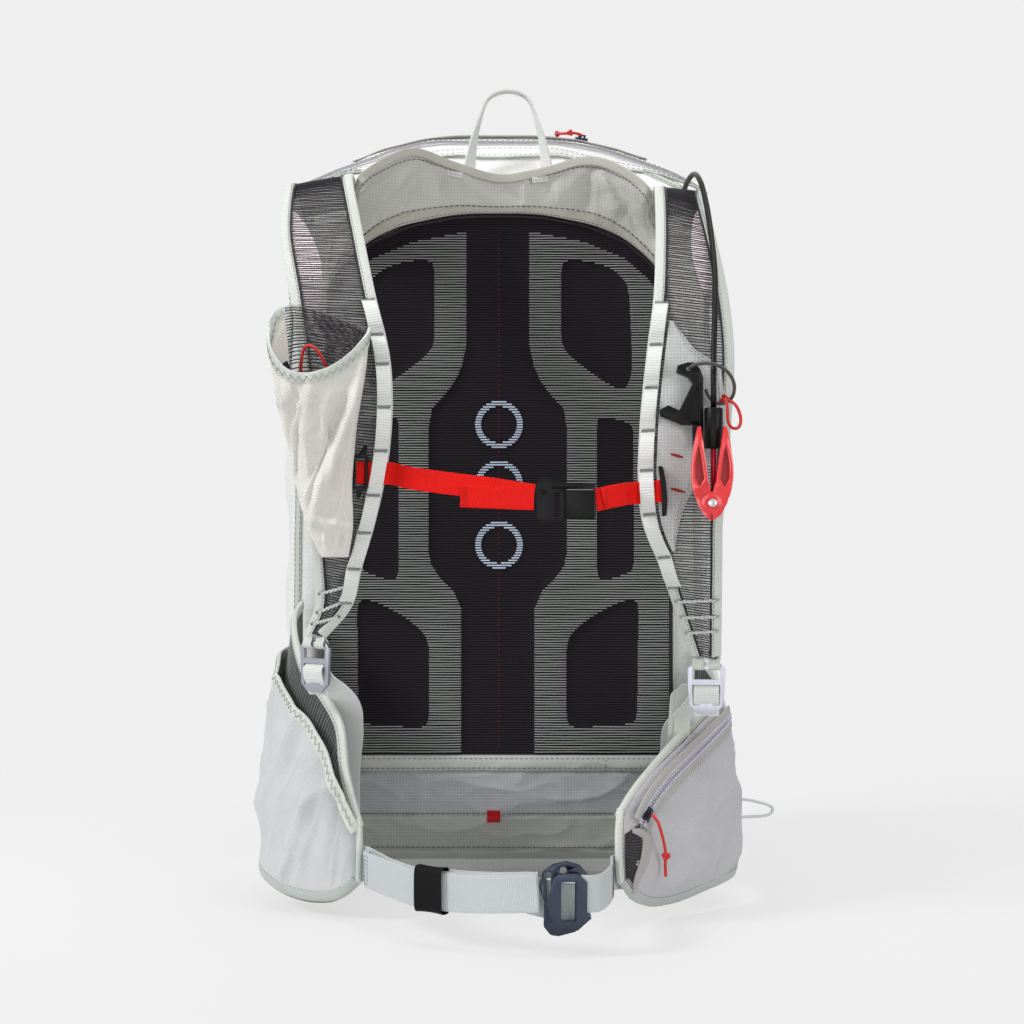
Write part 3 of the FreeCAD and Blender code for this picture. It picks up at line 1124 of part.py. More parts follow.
def main():
    cloth = {
        "bag_shell": bag_shell(),
        "shoulder_yoke": shoulder_yoke(),
        "lumbar_panel": lumbar_panel(),
        "back_foam_pad": plate(panel_outline(), FOAM_FRONT, BAG_BACK - FIT_GAP),
        "back_mesh_panel": plate(panel_outline(), PANEL_FRONT, PANEL_FRONT + MESH_THICKNESS),
        "left_shoulder_strap": sheet(LEFT_STRAP, STRAP_THICKNESS),
        "right_shoulder_strap": sheet(RIGHT_STRAP, STRAP_THICKNESS),
        "left_daisy_chain": daisy_chain(LEFT_STRAP, LEFT_TACKS),
        "right_daisy_chain": daisy_chain(RIGHT_STRAP, RIGHT_TACKS),
        "left_flask_pocket": flask_pocket(),
        "trigger_panel": trigger_panel(),
        "left_hip_wing": wing_cloth(LEFT_WING),
        "left_hip_pocket": pocket_cloth(LEFT_WING, LEFT_POCKET),
        "right_hip_wing": wing_cloth(RIGHT_WING),
        "right_hip_pocket": pocket_cloth(RIGHT_WING, RIGHT_POCKET),
        "front_pocket": front_pocket(),
        "airbag_outer_bladder": bladder(0.0, 26.0),
        "airbag_inner_bladder": bladder(26.0 + FIT_GAP, 24.0),
        "zip_tapes": zip_tapes(),
    }
    webbing = {
        "haul_loop": haul_loop(),
        "hip_strap_left": ribbon(LEFT_BELT, HIP_WEBBING_WIDTH, HIP_WEBBING_THICKNESS, ACROSS_Z, 24),
        "hip_strap_right": ribbon(RIGHT_BELT, HIP_WEBBING_WIDTH - 1, HIP_WEBBING_THICKNESS, ACROSS_Z, 16),
        "strap_keeper": strap_keeper(),
        "left_lower_strap": lower_strap(LEFT_LOWER, LEFT_LOWER_ACROSS),
        "right_lower_strap": lower_strap(RIGHT_LOWER, RIGHT_LOWER_ACROSS),
    }
    for node, shape in (cloth | webbing).items():
        save(shape, node)
    chest = [ribbon(points, CHEST_WEBBING_WIDTH, CHEST_WEBBING_THICKNESS, ACROSS_Z, count)
             for points, count in ((LEFT_CHEST, 20), (CHEST_TAIL, 6), (RIGHT_CHEST, 12))]
    save(Part.makeCompound(chest[:2]), "sternum_strap_left")
    save(chest[2], "sternum_strap_right")
    save(hip_buckle_frame(), "hip_buckle_frame")
    save(hip_buckle_hook(), "hip_buckle_hook")
    save(sternum_buckle_socket(), "sternum_buckle_socket")
    save(sternum_buckle_plug(), "sternum_buckle_plug")
    save(sternum_slider_left(), "sternum_slider_left")
    save(sternum_slider_right(), "sternum_slider_right")
    save(metal_buckle(LEFT_BUCKLE, LEFT_BUCKLE_TURN), "left_strap_buckle")
    save(metal_buckle(RIGHT_BUCKLE, RIGHT_BUCKLE_TURN), "right_strap_buckle")
    save(trigger_wing(-1, REAR_LAYER), "trigger_wing_left")
    save(trigger_wing(1, FRONT_LAYER), "trigger_wing_right")
    save(cable_ferrule(), "cable_ferrule")
    save(trigger_rod(), "trigger_rod")
    save(trigger_core(), "trigger_core")
    save(trigger_screw(), "trigger_screw")
    save(trigger_clip(), "trigger_clip")
    save(block(-STAY_X - 45, STAY_X + 45, SHEET_BACK, SHEET_BACK + SHEET_THICKNESS, STAY_BOTTOM, STAY_TOP),
         "frame_sheet")
    save(frame_stay(), "frame_stay")
    save(gas_cylinder(), "gas_cylinder")
    save(inflator_body(), "inflator_body")
    save(inflator_cap(), "inflator_cap")
    save(inflator_piston(), "inflator_piston")
    save(route_tube("airbag_hose", HOSE_ROUTE, 4.0), "airbag_hose")
    save(route_tube("cable_sheath", SHEATH_ROUTE, CABLE_SHEATH_RADIUS, CABLE_BORE_RADIUS), "cable_sheath")
    save(route_tube("side_ski_loop", SIDE_LOOP, SIDE_CORD_RADIUS), "side_ski_loop")
    save(route_tube("trigger_tether", TETHER_ROUTE, TETHER_RADIUS), "trigger_tether")
    save(route_tube("trigger_red_loop", RED_ROUTE, RED_CORD_RADIUS), "trigger_red_loop")
    save(route_tube("flask_cord", FLASK_CORD, RED_CORD_RADIUS), "flask_cord")
    save(pull_cord("top_zip_pull", TOP_PULL), "top_zip_pull")
    save(pull_cord("hip_zip_pull", HIP_PULL), "hip_zip_pull")
    save(pull_cord("front_zip_pull", FRONT_PULL), "front_zip_pull")
    rest_x, rest_z = math.sin(TOP_ZIP_REST), math.cos(TOP_ZIP_REST)
    reach = TOP_ARCH_RADIUS + CURVE_GAP + ZIP_TAPE + FIT_GAP
    place = (rest_x * reach, TOP_ZIP_Y, BAG_HEIGHT - TOP_ARCH_RADIUS + rest_z * reach)
    save(placed(zip_slider(), (-rest_z, 0, rest_x), (rest_x, 0, rest_z), place), "top_zip_slider")
    save(hip_zip_slider(), "hip_zip_slider")
    place = (FRONT_SLIDER_X, FRONT_ZIP_Y + ZIP_TAPE + FIT_GAP, FRONT_ZIP_Z)
    save(placed(zip_slider(), (-1, 0, 0), (0, 1, 0), place), "front_zip_slider")


main()
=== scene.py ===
import bmesh
import bpy
import math
import numpy as np
from mathutils import Matrix, Vector
from mathutils.bvhtree import BVHTree

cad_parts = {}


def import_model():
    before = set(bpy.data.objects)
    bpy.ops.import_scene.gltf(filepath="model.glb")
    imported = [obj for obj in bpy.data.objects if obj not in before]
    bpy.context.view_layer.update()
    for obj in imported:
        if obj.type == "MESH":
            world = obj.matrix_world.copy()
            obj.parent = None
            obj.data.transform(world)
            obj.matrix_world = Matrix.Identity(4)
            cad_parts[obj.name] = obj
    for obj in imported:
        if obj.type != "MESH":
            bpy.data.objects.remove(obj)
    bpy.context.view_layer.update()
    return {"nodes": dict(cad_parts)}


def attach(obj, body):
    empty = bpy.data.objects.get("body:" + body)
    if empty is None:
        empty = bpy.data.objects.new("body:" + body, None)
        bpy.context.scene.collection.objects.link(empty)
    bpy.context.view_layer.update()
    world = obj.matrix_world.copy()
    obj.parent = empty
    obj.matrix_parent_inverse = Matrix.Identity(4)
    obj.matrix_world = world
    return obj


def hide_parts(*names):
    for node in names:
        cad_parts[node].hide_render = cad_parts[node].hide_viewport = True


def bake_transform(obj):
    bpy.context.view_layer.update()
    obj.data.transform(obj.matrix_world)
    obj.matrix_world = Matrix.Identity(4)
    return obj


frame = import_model()
nodes = frame["nodes"]


# ---- Points, curves and meshes -------------------------------------------------------------------


def mm(points):
    """Points written in millimetres, in metres."""
    return np.array(points, float) / 1000


def unit(vectors):
    """Vectors scaled to length 1."""
    return vectors / np.maximum(np.linalg.norm(vectors, axis=-1, keepdims=True), 1e-12)


def signed_power(values, power):
    """Powers that keep the sign, for outlines between an ellipse and a box."""
    return np.sign(values) * np.abs(values) ** power


def circle(count):
    """Evenly spaced angles round a full turn."""
    return 2 * math.pi * np.arange(count) / count


def between(start, end, count):
    """Evenly spaced points on the straight line from start to end."""
    share = np.linspace(0, 1, count)[:, None]
    return np.asarray(start) * (1 - share) + np.asarray(end) * share


def hermite(t, start, end, leave, arrive):
    """The cubic curve from start to end at shares t, with its slopes at both ends."""
    return ((2 * t**3 - 3 * t**2 + 1) * start + (t**3 - 2 * t**2 + t) * leave
            + (3 * t**2 - 2 * t**3) * end + (t**3 - t**2) * arrive)


def reach(line):
    """How far along a line each of its points is."""
    steps = np.linalg.norm(np.diff(line, axis=0), axis=1)
    return np.concatenate([[0.0], np.cumsum(steps)])


def even(line, count):
    """Evenly spaced points along a line."""
    at = reach(line)
    wanted = np.linspace(0, at[-1], count)
    return np.stack([np.interp(wanted, at, column) for column in line.T], axis=1)


def spline(points, count):
    """Evenly spaced points along a smooth curve through the given ones."""
    points = np.asarray(points, float)
    at = reach(points)
    slope = np.gradient(points, at, axis=0)
    fine = np.linspace(0, at[-1], 12 * len(points))
    k = np.clip(np.searchsorted(at, fine, side="right") - 1, 0, len(points) - 2)
    step = (at[k + 1] - at[k])[:, None]
    t = (fine - at[k])[:, None] / step
    curve = hermite(t, points[k], points[k + 1], step * slope[k], step * slope[k + 1])
    return even(curve, count)


def normals(grid):
    """The unit normal of a grid of points at each of them."""
    return unit(np.cross(np.gradient(grid, axis=0), np.gradient(grid, axis=1)))


def facing(grid, way):
    """The grid's normals, turned so that they point towards a direction."""
    found = normals(grid)
    return found * np.where((found @ np.array(way, float)) < 0, -1.0, 1.0)[..., None]


def bumps(points, size, seed):
    """Smooth random heights from -1 to 1 over points, with hills of about the given size."""
    draw = np.random.default_rng(seed)
    total = np.zeros(points.shape[:-1])
    for _ in range(7):
        way = unit(draw.normal(size=3)) * draw.uniform(0.7, 1.5) * 2 * math.pi / (2 * size)
        total += np.sin(points @ way + draw.uniform(0, 2 * math.pi))
    return total / 3.5


def folds(points, creases, scale=0.001):
    """Heights of creases over points seen from the front: x, z of both ends, height and half width."""
    total = np.zeros(points.shape[:-1])
    for x0, z0, x1, z1, height, width in creases:
        start, end = np.array([x0, z0]) * scale, np.array([x1, z1]) * scale
        flat = points[..., [0, 2]]
        run = end - start
        length = np.linalg.norm(run)
        t = ((flat - start) @ run) / length**2
        away = np.linalg.norm(flat - start - np.clip(t, 0, 1)[..., None] * run, axis=-1)
        fade = np.clip(np.minimum(t, 1 - t) * 3 + 0.35, 0, 1)
        total += height * scale * fade * np.exp(-((away / (width * scale)) ** 2))
    return total


def wrinkles(points, size, seed, way=(0.0, 0.0, 1.0), length=2.5):
    """Heights of loose cloth from -0.3 to about 1: meandering ridges that run mostly along one way."""
    way = unit(np.array(way, float))
    run = points @ way
    squeezed = points - (run * (1 - 1 / length))[..., None] * way
    ridge = 1 - np.tanh(np.abs(bumps(squeezed, size, seed)) * 2.6)
    fine = 1 - np.tanh(np.abs(bumps(squeezed, size * 0.5, seed + 1)) * 2.6)
    return ridge + 0.4 * fine - 0.35


class Shape:
    """Points, faces and texture places in metres that become one mesh."""

    def __init__(self):
        self.points, self.faces, self.places, self.finishes = [], [], [], []

    def add(self, points, faces, places, finish=0):
        """Adds faces; finish says which of the piece's finishes they have."""
        start = len(self.points)
        points = np.asarray(points, float).reshape(-1, 3)
        self.points.extend(points.tolist())
        self.places.extend(np.asarray(places, float).reshape(-1, 2).tolist())
        self.faces.extend([[start + i for i in face] for face in faces])
        self.finishes.extend([finish] * len(faces))

    def sheet(self, grid, thickness, places=None):
        """A closed cloth sheet with the grid in the middle of its thickness."""
        rise = normals(grid) * thickness / 2
        self.slab(grid + rise, grid - rise, places)

    def slab(self, front, back, places=None):
        """A closed body between two grids of points."""
        rows, columns = front.shape[:2]
        if places is None:
            along, across = reach(front[:, columns // 2]), reach(front[rows // 2])
            places = np.stack(np.meshgrid(across, along), axis=-1)
        index = np.arange(rows * columns).reshape(rows, columns)
        squares = (index[:-1, :-1], index[:-1, 1:], index[1:, 1:], index[1:, :-1])
        quads = np.stack(squares, -1).reshape(-1, 4)
        turned = np.roll(quads[:, ::-1], 1, axis=1) + rows * columns
        rim = np.concatenate([index[0, :], index[1:, -1], index[-1, -2::-1], index[-2:0:-1, 0]])
        after = np.roll(rim, -1)
        sides = np.stack([rim, rim + rows * columns, after + rows * columns, after], -1)
        faces = np.concatenate([quads, turned, sides]).tolist()
        self.add(np.stack([front, back]), faces, np.stack([places, places]))

    def sweep(self, line, sides, width, thickness, power=5.0, count=14):
        """A band along a line; sides is the direction of its width, one or one for each point."""
        line = np.asarray(line, float)
        along = unit(np.gradient(line, axis=0))
        sides = np.broadcast_to(np.asarray(sides, float), line.shape)
        sides = unit(sides - along * np.sum(sides * along, axis=1, keepdims=True))
        ups = np.cross(along, sides)
        angle = circle(count)
        across = signed_power(np.cos(angle), 2 / power) * 0.5
        over = signed_power(np.sin(angle), 2 / power) * 0.5
        width, thickness = (np.broadcast_to(np.asarray(size, float), len(line))[:, None, None]
                            for size in (width, thickness))
        rings = line[:, None] + sides[:, None] * across[None, :, None] * width
        rings = rings + ups[:, None] * over[None, :, None] * thickness
        far = np.repeat(reach(line)[:, None], count, axis=1)
        places = np.stack([across[None, :] * width[:, 0], far], axis=-1)
        self.rings(rings, places)

    def rings(self, rings, places, ends=True):
        """A closed skin through rings of points."""
        rows, count = rings.shape[:2]
        index = np.arange(rows * count).reshape(rows, count)
        after = np.roll(index, -1, axis=1)
        faces = np.stack([index[:-1], after[:-1], after[1:], index[1:]], -1).reshape(-1, 4).tolist()
        if ends:
            faces.append(index[0, ::-1].tolist())
            faces.append(index[-1].tolist())
        self.add(rings, faces, places)

    def tube(self, line, radius, count=8):
        """A round thread along a line; the radius is one number or one for each point."""
        line = np.asarray(line, float)
        along = unit(np.gradient(line, axis=0))
        side = np.cross(along[0], [0.31, 0.22, 0.93])
        sides = []
        for way in along:
            side = side - way * (side @ way)
            side = side / max(np.linalg.norm(side), 1e-9)
            sides.append(side)
        self.sweep(line, np.array(sides), 2 * np.asarray(radius), 2 * np.asarray(radius), 2.0, count)

    def stitches(self, line, length, gap, radius):
        """Short threads in a row along a line."""
        line = np.asarray(line, float)
        total = reach(line)[-1]
        count = max(int(total / (length + gap)), 1)
        at = reach(line)
        for k in range(count):
            middle = total * (k + 0.5) / count
            wanted = middle + np.array([-0.5, -0.36, 0.0, 0.36, 0.5]) * length
            points = np.stack([np.interp(wanted, at, column) for column in line.T], axis=1)
            self.tube(points, radius * np.array([0.35, 0.85, 1.0, 0.85, 0.35]), 5)

    def zigzag(self, line, sides, width, pitch, radius):
        """One thread that runs from side to side along a line."""
        line = np.asarray(line, float)
        count = max(int(reach(line)[-1] / pitch), 2)
        spots = even(line, 2 * count + 1)
        sides = np.broadcast_to(np.asarray(sides, float), line.shape)
        across = even_like(sides, line, 2 * count + 1)
        swing = np.where(np.arange(2 * count + 1) % 2, 0.5, -0.5)[:, None] * width
        self.tube(spots + unit(across) * swing, radius, 5)


def even_like(values, line, count):
    """Values that belong to a line's points, taken at evenly spaced places along it."""
    at = reach(line)
    wanted = np.linspace(0, at[-1], count)
    return np.stack([np.interp(wanted, at, column) for column in values.T], axis=1)


def piece(name, shape, finishes, slot, body="pack", stands_for=(), sharp=38):
    mesh = bpy.data.meshes.new(name)
    mesh.from_pydata(shape.points, [], shape.faces)
    layer = mesh.uv_layers.new(name="Cloth")
    corners = np.zeros(len(mesh.loops), int)
    mesh.loops.foreach_get("vertex_index", corners)
    layer.data.foreach_set("uv", np.array(shape.places)[corners].ravel())
    mesh.polygons.foreach_set("use_smooth", [True] * len(mesh.polygons))
    mesh.polygons.foreach_set("material_index", shape.finishes)
    finishes = finishes if isinstance(finishes, (list, tuple)) else [finishes]
    for finish in finishes:
        mesh.materials.append(finish)
    mesh.set_sharp_from_angle(angle=math.radians(sharp))
    made = bpy.data.objects.new(name, mesh)
    bpy.context.scene.collection.objects.link(made)
    if body:
        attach(made, body)
    if stands_for:
        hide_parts(*stands_for)
    return made


def sheet_piece(name, grid, thickness, finish, slot="stretch_mesh", **more):
    """A piece that is one sheet of cloth."""
    shape = Shape()
    shape.sheet(grid, thickness)
    return piece(name, shape, finish, slot, **more)


def band_piece(name, line, sides, size, power, count, finish, slot="webbing_white", **more):
    """A piece that is one band along a line; size is its width and its thickness."""
    shape = Shape()
    shape.sweep(line, sides, *size, power, count)
    return piece(name, shape, finish, slot, **more)


def net_piece(name, grid, pitch, slant, radius, seed):
    """A piece that is the threads of a net over a grid."""
    threads = Shape()
    net_threads(threads, grid, pitch, slant, radius, seed)
    piece(name, threads, NET_THREAD, "stretch_mesh")


# ---- Finishes ------------------------------------------------------------------------------------


def linear(colour):
    """A colour from 0 to 255 as the shader wants it."""
    share = np.array(colour, float) / 255
    return tuple(np.where(share <= 0.04045, share / 12.92, ((share + 0.055) / 1.055) ** 2.4)) + (1.0,)


class Finish:
    """A procedural material: one shader whose colour and relief are built up in steps."""

    def __init__(self, name, colour, roughness, **settings):
        self.material = bpy.data.materials.new(name)
        self.material.use_nodes = True
        self.tree = self.material.node_tree
        self.shader = self.tree.nodes["Principled BSDF"]
        self.shader.inputs["Roughness"].default_value = roughness
        for socket, value in settings.items():
            self.shader.inputs[socket.replace("_", " ")].default_value = value
        self.colour = self.node("ShaderNodeRGB")
        self.colour.outputs[0].default_value = linear(colour)
        self.colour = self.colour.outputs[0]
        self.link(self.colour, self.shader.inputs["Base Color"])
        self.written = np.array(colour, float)
        self.height = None
        places = self.node("ShaderNodeUVMap")
        places.uv_map = "Cloth"
        split = self.node("ShaderNodeSeparateXYZ")
        self.link(places.outputs[0], split.inputs[0])
        self.across, self.along = split.outputs[0], split.outputs[1]
        self.where = self.node("ShaderNodeTexCoord").outputs["Object"]

    def node(self, kind):
        """A new shader node of a kind."""
        return self.tree.nodes.new(kind)

    def link(self, source, target):
        """Joins an output to an input."""
        self.tree.links.new(source, target)

    def math(self, operation, *values):
        """The output of a maths node whose inputs are numbers or other outputs."""
        made = self.node("ShaderNodeMath")
        made.operation = operation
        for socket, value in zip(made.inputs, values):
            if isinstance(value, (int, float)):
                socket.default_value = value
            else:
                self.link(value, socket)
        return made.outputs[0]

    def wave(self, value, pitch, shift=0.0):
        """A smooth wave from 0 to 1 that repeats at the pitch, in metres."""
        turn = self.math("MULTIPLY_ADD", value, 2 * math.pi / pitch, shift)
        return self.math("MULTIPLY_ADD", self.math("SINE", turn), 0.5, 0.5)

    def band(self, value, pitch, share):
        """1 on lines that take that share of each pitch, else 0."""
        return self.math("LESS_THAN", self.math("FRACT", self.math("DIVIDE", value, pitch)), share)

    def slant(self, a, b):
        """Across and along taken together, for lines at an angle."""
        return self.math("MULTIPLY_ADD", self.across, a, self.math("MULTIPLY", self.along, b))

    def noise(self, scale, detail=2.0, stretch=None):
        """Cloudy noise from 0 to 1 that stays with the piece."""
        made = self.node("ShaderNodeTexNoise")
        made.inputs["Scale"].default_value = scale
        made.inputs["Detail"].default_value = detail
        source = self.where
        if stretch:
            sizes = self.node("ShaderNodeMapping")
            sizes.inputs["Scale"].default_value = stretch
            self.link(source, sizes.inputs[0])
            source = sizes.outputs[0]
        self.link(source, made.inputs["Vector"])
        return made.outputs["Fac"]

    def paint(self, share, colour, amount=1.0):
        """Mixes up to that amount of another colour in; a number as colour scales the first one."""
        if isinstance(colour, (int, float)):
            colour = np.clip(self.written * colour, 0, 255)
        made = self.node("ShaderNodeMix")
        made.data_type = "RGBA"
        self.link(self.math("MULTIPLY", share, amount), made.inputs[0])
        self.link(self.colour, made.inputs[6])
        made.inputs[7].default_value = linear(colour)
        self.colour = made.outputs[2]
        self.link(self.colour, self.shader.inputs["Base Color"])
        return self

    def raise_by(self, share, amount):
        """Adds relief of that many metres where share is 1."""
        lifted = self.math("MULTIPLY", share, amount * 1000)
        self.height = lifted if self.height is None else self.math("ADD", self.height, lifted)
        return self

    def rough_by(self, share, low, high):
        """Roughness from low where share is 0 to high where it is 1."""
        self.link(self.math("MULTIPLY_ADD", share, high - low, low), self.shader.inputs["Roughness"])
        return self

    def done(self):
        """Joins the relief to the shader and gives the material."""
        if self.height is not None:
            relief = self.node("ShaderNodeBump")
            relief.inputs["Strength"].default_value = 1.0
            relief.inputs["Distance"].default_value = 0.001
            self.link(self.height, relief.inputs["Height"])
            self.link(relief.outputs[0], self.shader.inputs["Normal"])
        return self.material


PATCH_SCALE = 28.0


def patched(finish, amount):
    """Slow changes of shade over a cloth, as if handled."""
    return finish.paint(finish.noise(PATCH_SCALE, 3.0), 0.55, amount)


def ripstop(name, colour, grid=0.0023, contrast=0.35, soil=0.22):
    """Thin woven nylon with a square grid of thicker threads."""
    finish = Finish(name, colour, 0.62, Sheen_Weight=0.15, Specular_IOR_Level=0.2)
    both = (finish.across, finish.along)
    lines = finish.math("MAXIMUM", *(finish.band(way, grid, 0.22) for way in both))
    weave = finish.math("MULTIPLY", *(finish.wave(way, grid / 4) for way in both))
    patched(finish, soil)
    finish.paint(lines, 1.13, contrast)
    finish.raise_by(lines, 0.00012).raise_by(weave, 0.00005)
    finish.raise_by(finish.noise(90.0, 3.0), 0.0011)
    return finish.done()


def knit(name, colour, pitch=0.0016, contrast=0.3, soil=0.2, roughness=0.75):
    """Stretch cloth with fine slanted ribs."""
    finish = Finish(name, colour, roughness, Sheen_Weight=0.2, Specular_IOR_Level=0.12)
    slope = finish.slant(0.8, 0.6)
    other = finish.slant(0.6, -0.8)
    ribs = finish.wave(slope, pitch)
    dots = finish.math("MULTIPLY", ribs, finish.wave(other, pitch * 1.6))
    patched(finish, soil)
    finish.paint(finish.math("SUBTRACT", 1.0, ribs), 0.72, contrast)
    finish.raise_by(ribs, 0.00016).raise_by(dots, 0.00014).raise_by(finish.noise(70.0, 3.0), 0.0009)
    return finish.done()


def webbing(name, colour, pitch=0.0014, contrast=0.3, soil=0.12, roughness=0.6, sheen=0.12):
    """Narrow woven tape with ribs across it and a finer warp."""
    finish = Finish(name, colour, roughness, Sheen_Weight=sheen, Specular_IOR_Level=0.14)
    ribs = finish.wave(finish.along, pitch)
    warp = finish.wave(finish.across, pitch * 0.8)
    both = finish.math("MULTIPLY", ribs, warp)
    patched(finish, soil)
    finish.paint(finish.math("SUBTRACT", 1.0, both), 0.74, contrast)
    finish.raise_by(ribs, 0.00014).raise_by(both, 0.00012)
    return finish.done()


def herringbone(name, colour, pitch=0.0017, contrast=0.42):
    """Binding tape whose ribs slant the other way on each half."""
    finish = Finish(name, colour, 0.66, Sheen_Weight=0.2, Specular_IOR_Level=0.3)
    side = finish.math("ABSOLUTE", finish.across)
    ribs = finish.wave(finish.math("ADD", side, finish.along), pitch)
    patched(finish, 0.14)
    finish.paint(finish.math("SUBTRACT", 1.0, ribs), 0.74, contrast)
    finish.raise_by(ribs, 0.00018)
    return finish.done()


def thread(name, colour):
    """Twisted sewing thread."""
    finish = Finish(name, colour, 0.55, Specular_IOR_Level=0.3)
    twist = finish.wave(finish.along, 0.0007)
    finish.paint(twist, 0.7, 0.3)
    finish.raise_by(twist, 0.00005)
    return finish.done()


def plastic(name, colour, roughness=0.42, grain=0.00003, wear=0.12, **settings):
    """Moulded plastic with a fine grain and paler worn spots."""
    finish = Finish(name, colour, roughness, **settings)
    finish.paint(finish.noise(160.0, 4.0), 1.6, wear)
    finish.rough_by(finish.noise(300.0, 2.0), roughness - 0.07, roughness + 0.1)
    finish.raise_by(finish.noise(2600.0, 2.0), grain)
    return finish.done()


def metal(name, colour, roughness, brushed=0.00001, **settings):
    """Metal with a brushed relief and an uneven gloss."""
    finish = Finish(name, colour, roughness, Metallic=1.0, **settings)
    finish.paint(finish.noise(120.0, 3.0), 0.7, 0.25)
    finish.rough_by(finish.noise(500.0, 3.0, (1.0, 1.0, 0.2)), roughness * 0.7, roughness * 1.5)
    finish.raise_by(finish.noise(1500.0, 3.0, (1.0, 1.0, 0.1)), brushed)
    return finish.done()


def cord_finish(name, colour):
    """A braided sheath: slightly uneven strands round the cord."""
    finish = Finish(name, colour, 0.55, Sheen_Weight=0.2)
    one = finish.node("ShaderNodeTexWave")
    one.inputs["Scale"].default_value = 160.0
    one.inputs["Distortion"].default_value = 1.0
    finish.link(finish.where, one.inputs["Vector"])
    finish.paint(one.outputs["Fac"], 0.6, 0.35)
    finish.raise_by(one.outputs["Fac"], 0.0002)
    return finish.done()


def cloth_panel_dark(name, colour, line_colour, share):
    """The dark spacer cloth, with faint ribs where no pale thread shows."""
    finish = Finish(name, colour, 0.85, Sheen_Weight=0.1, Specular_IOR_Level=0.1)
    lines = finish.wave(finish.along, 0.0019)
    finish.paint(lines, line_colour, share)
    finish.raise_by(lines, 0.0003).raise_by(finish.wave(finish.across, 0.0012), 0.00012)
    return finish.done()


def see_through(name, colour, alpha, roughness=0.8):
    """The open part of a net: a pale haze that lets what is behind show."""
    finish = Finish(name, colour, roughness, Specular_IOR_Level=0.1)
    dots = finish.math("MULTIPLY", finish.wave(finish.across, 0.0016), finish.wave(finish.along, 0.0017))
    finish.paint(dots, 0.75, 0.5)
    cover = finish.math("MULTIPLY_ADD", finish.noise(60.0, 2.0), 0.25, alpha - 0.1)
    finish.link(cover, finish.shader.inputs["Alpha"])
    return finish.done()


YOKE_CLOTH = ripstop("yoke_ripstop", (210, 210, 203))
LUMBAR_CLOTH = ripstop("lumbar_ripstop", (160, 161, 163))
LUMBAR_LOWER = ripstop("lumbar_ripstop_lower", (158, 160, 155))
TRIGGER_CLOTH = ripstop("trigger_panel_ripstop", (193, 194, 194), contrast=0.6)
BAG_CLOTH = ripstop("bag_ripstop", (224, 226, 223), grid=0.004, contrast=0.2, soil=0.1)
BAG_TOP_CLOTH = ripstop("bag_top_ripstop", (238, 238, 236), grid=0.004, contrast=0.15, soil=0.06)
BAG_EDGE_CLOTH = knit("bag_edge_tape", (206, 212, 204), 0.0012, 0.2)
HEM_CLOTH = knit("hem_tape", (202, 201, 190), 0.0010, 0.25)
LUMBAR_HEM = knit("lumbar_hem_tape", (188, 190, 186), 0.0010, 0.25)
WING_LEFT_CLOTH = knit("left_wing_knit", (219, 220, 223), 0.0015, 0.5)
WING_RIGHT_CLOTH = knit("right_wing_knit", (207, 207, 210), 0.0017, 0.6)
FLASK_CLOTH = knit("flask_pocket_knit", (240, 238, 230), 0.0011, 0.2, 0.12)
BINDING = herringbone("binding_tape", (220, 224, 217), contrast=0.34)
WING_HEM = herringbone("wing_hem_tape", (192, 198, 194))
WHITE_WEBBING = webbing("white_webbing", (234, 236, 234))
DAISY_WEBBING = webbing("daisy_webbing", (240, 242, 239), 0.0018, 0.3)
BELT_WEBBING = webbing("belt_webbing", (204, 210, 212), 0.0015, 0.4)
RED_WEBBING = webbing("red_webbing", (252, 26, 19), 0.0015, 0.4, sheen=0.0)
KEEPER_CLOTH = webbing("black_elastic", (5, 4, 7), 0.0009, 0.5, 0.1, 0.5, 0.0)
PANEL_CLOTH = cloth_panel_dark("spacer_dark", (8, 5, 9), (50, 44, 52), 0.7)
PANEL_STRIPE = thread("spacer_stripe", (150, 153, 150))
RING_STRIPE = thread("ring_stripe", (196, 208, 226))
NET_THREAD = thread("net_thread", (24, 20, 26))
NET_HAZE = see_through("net_haze", (186, 184, 184), 0.40)
# Painted light: a nearly opaque pale sheet that stands in for the bright backdrop seen through the straps'
# net.
BACKDROP_LIGHT_SHEET = see_through("painted_backdrop_light", (250, 236, 241), 0.97)
DARK_HAZE = see_through("dark_net_haze", (78, 72, 80), 0.45)
PALE_THREAD = thread("pale_thread", (206, 208, 202))
GREY_THREAD = thread("grey_thread", (134, 140, 134))
RIM_THREAD = thread("rim_thread", (164, 168, 164))
DARK_THREAD = thread("dark_thread", (70, 72, 70))
RED_THREAD = thread("red_thread", (160, 18, 24))
BLACK_PLASTIC = plastic("black_plastic", (4, 4, 5), 0.36, wear=0.05, Specular_IOR_Level=0.18)
RED_PLASTIC = plastic("red_plastic", (226, 22, 30), 0.22, 0.000006, 0.05, Coat_Weight=0.6,
                      Coat_Roughness=0.12)
ROD_METAL = metal("anodised_rod", (150, 34, 52), 0.25)
STEEL = metal("steel", (205, 205, 208), 0.2)
CAST_METAL = metal("cast_metal", (176, 178, 188), 0.36, 0.000004)
DARK_METAL = metal("anodised_buckle", (64, 69, 82), 0.3, 0.00002)
ALUMINIUM = metal("aluminium", (196, 198, 202), 0.32)
HOSE_RUBBER = plastic("black_hose", (6, 6, 7), 0.4, wear=0.05, Specular_IOR_Level=0.22)
RED_CORD = cord_finish("red_cord", (205, 26, 22))
GREY_CORD = cord_finish("grey_cord", (64, 62, 60))
PALE_CORD = cord_finish("pale_cord", (216, 220, 218))
FOAM = plastic("dark_foam", (26, 24, 28), 0.9, 0.0002)
FRAME_SHEET = plastic("frame_sheet", (60, 60, 64), 0.5)
ZIP_TAPE = knit("zip_tape", (186, 184, 180), 0.0010, 0.25)
# Painted shade: the trigger windows' floors are a darker red than the wings, standing in for the shade
# inside the recesses.
RECESS_SHADE_RED = plastic("trigger_recess_painted_shade", (150, 10, 18), 0.4)
ZIP_COIL = thread("zip_coil", (214, 212, 232))
ZIP_COIL_DARK = thread("zip_coil_dark", (96, 98, 100))
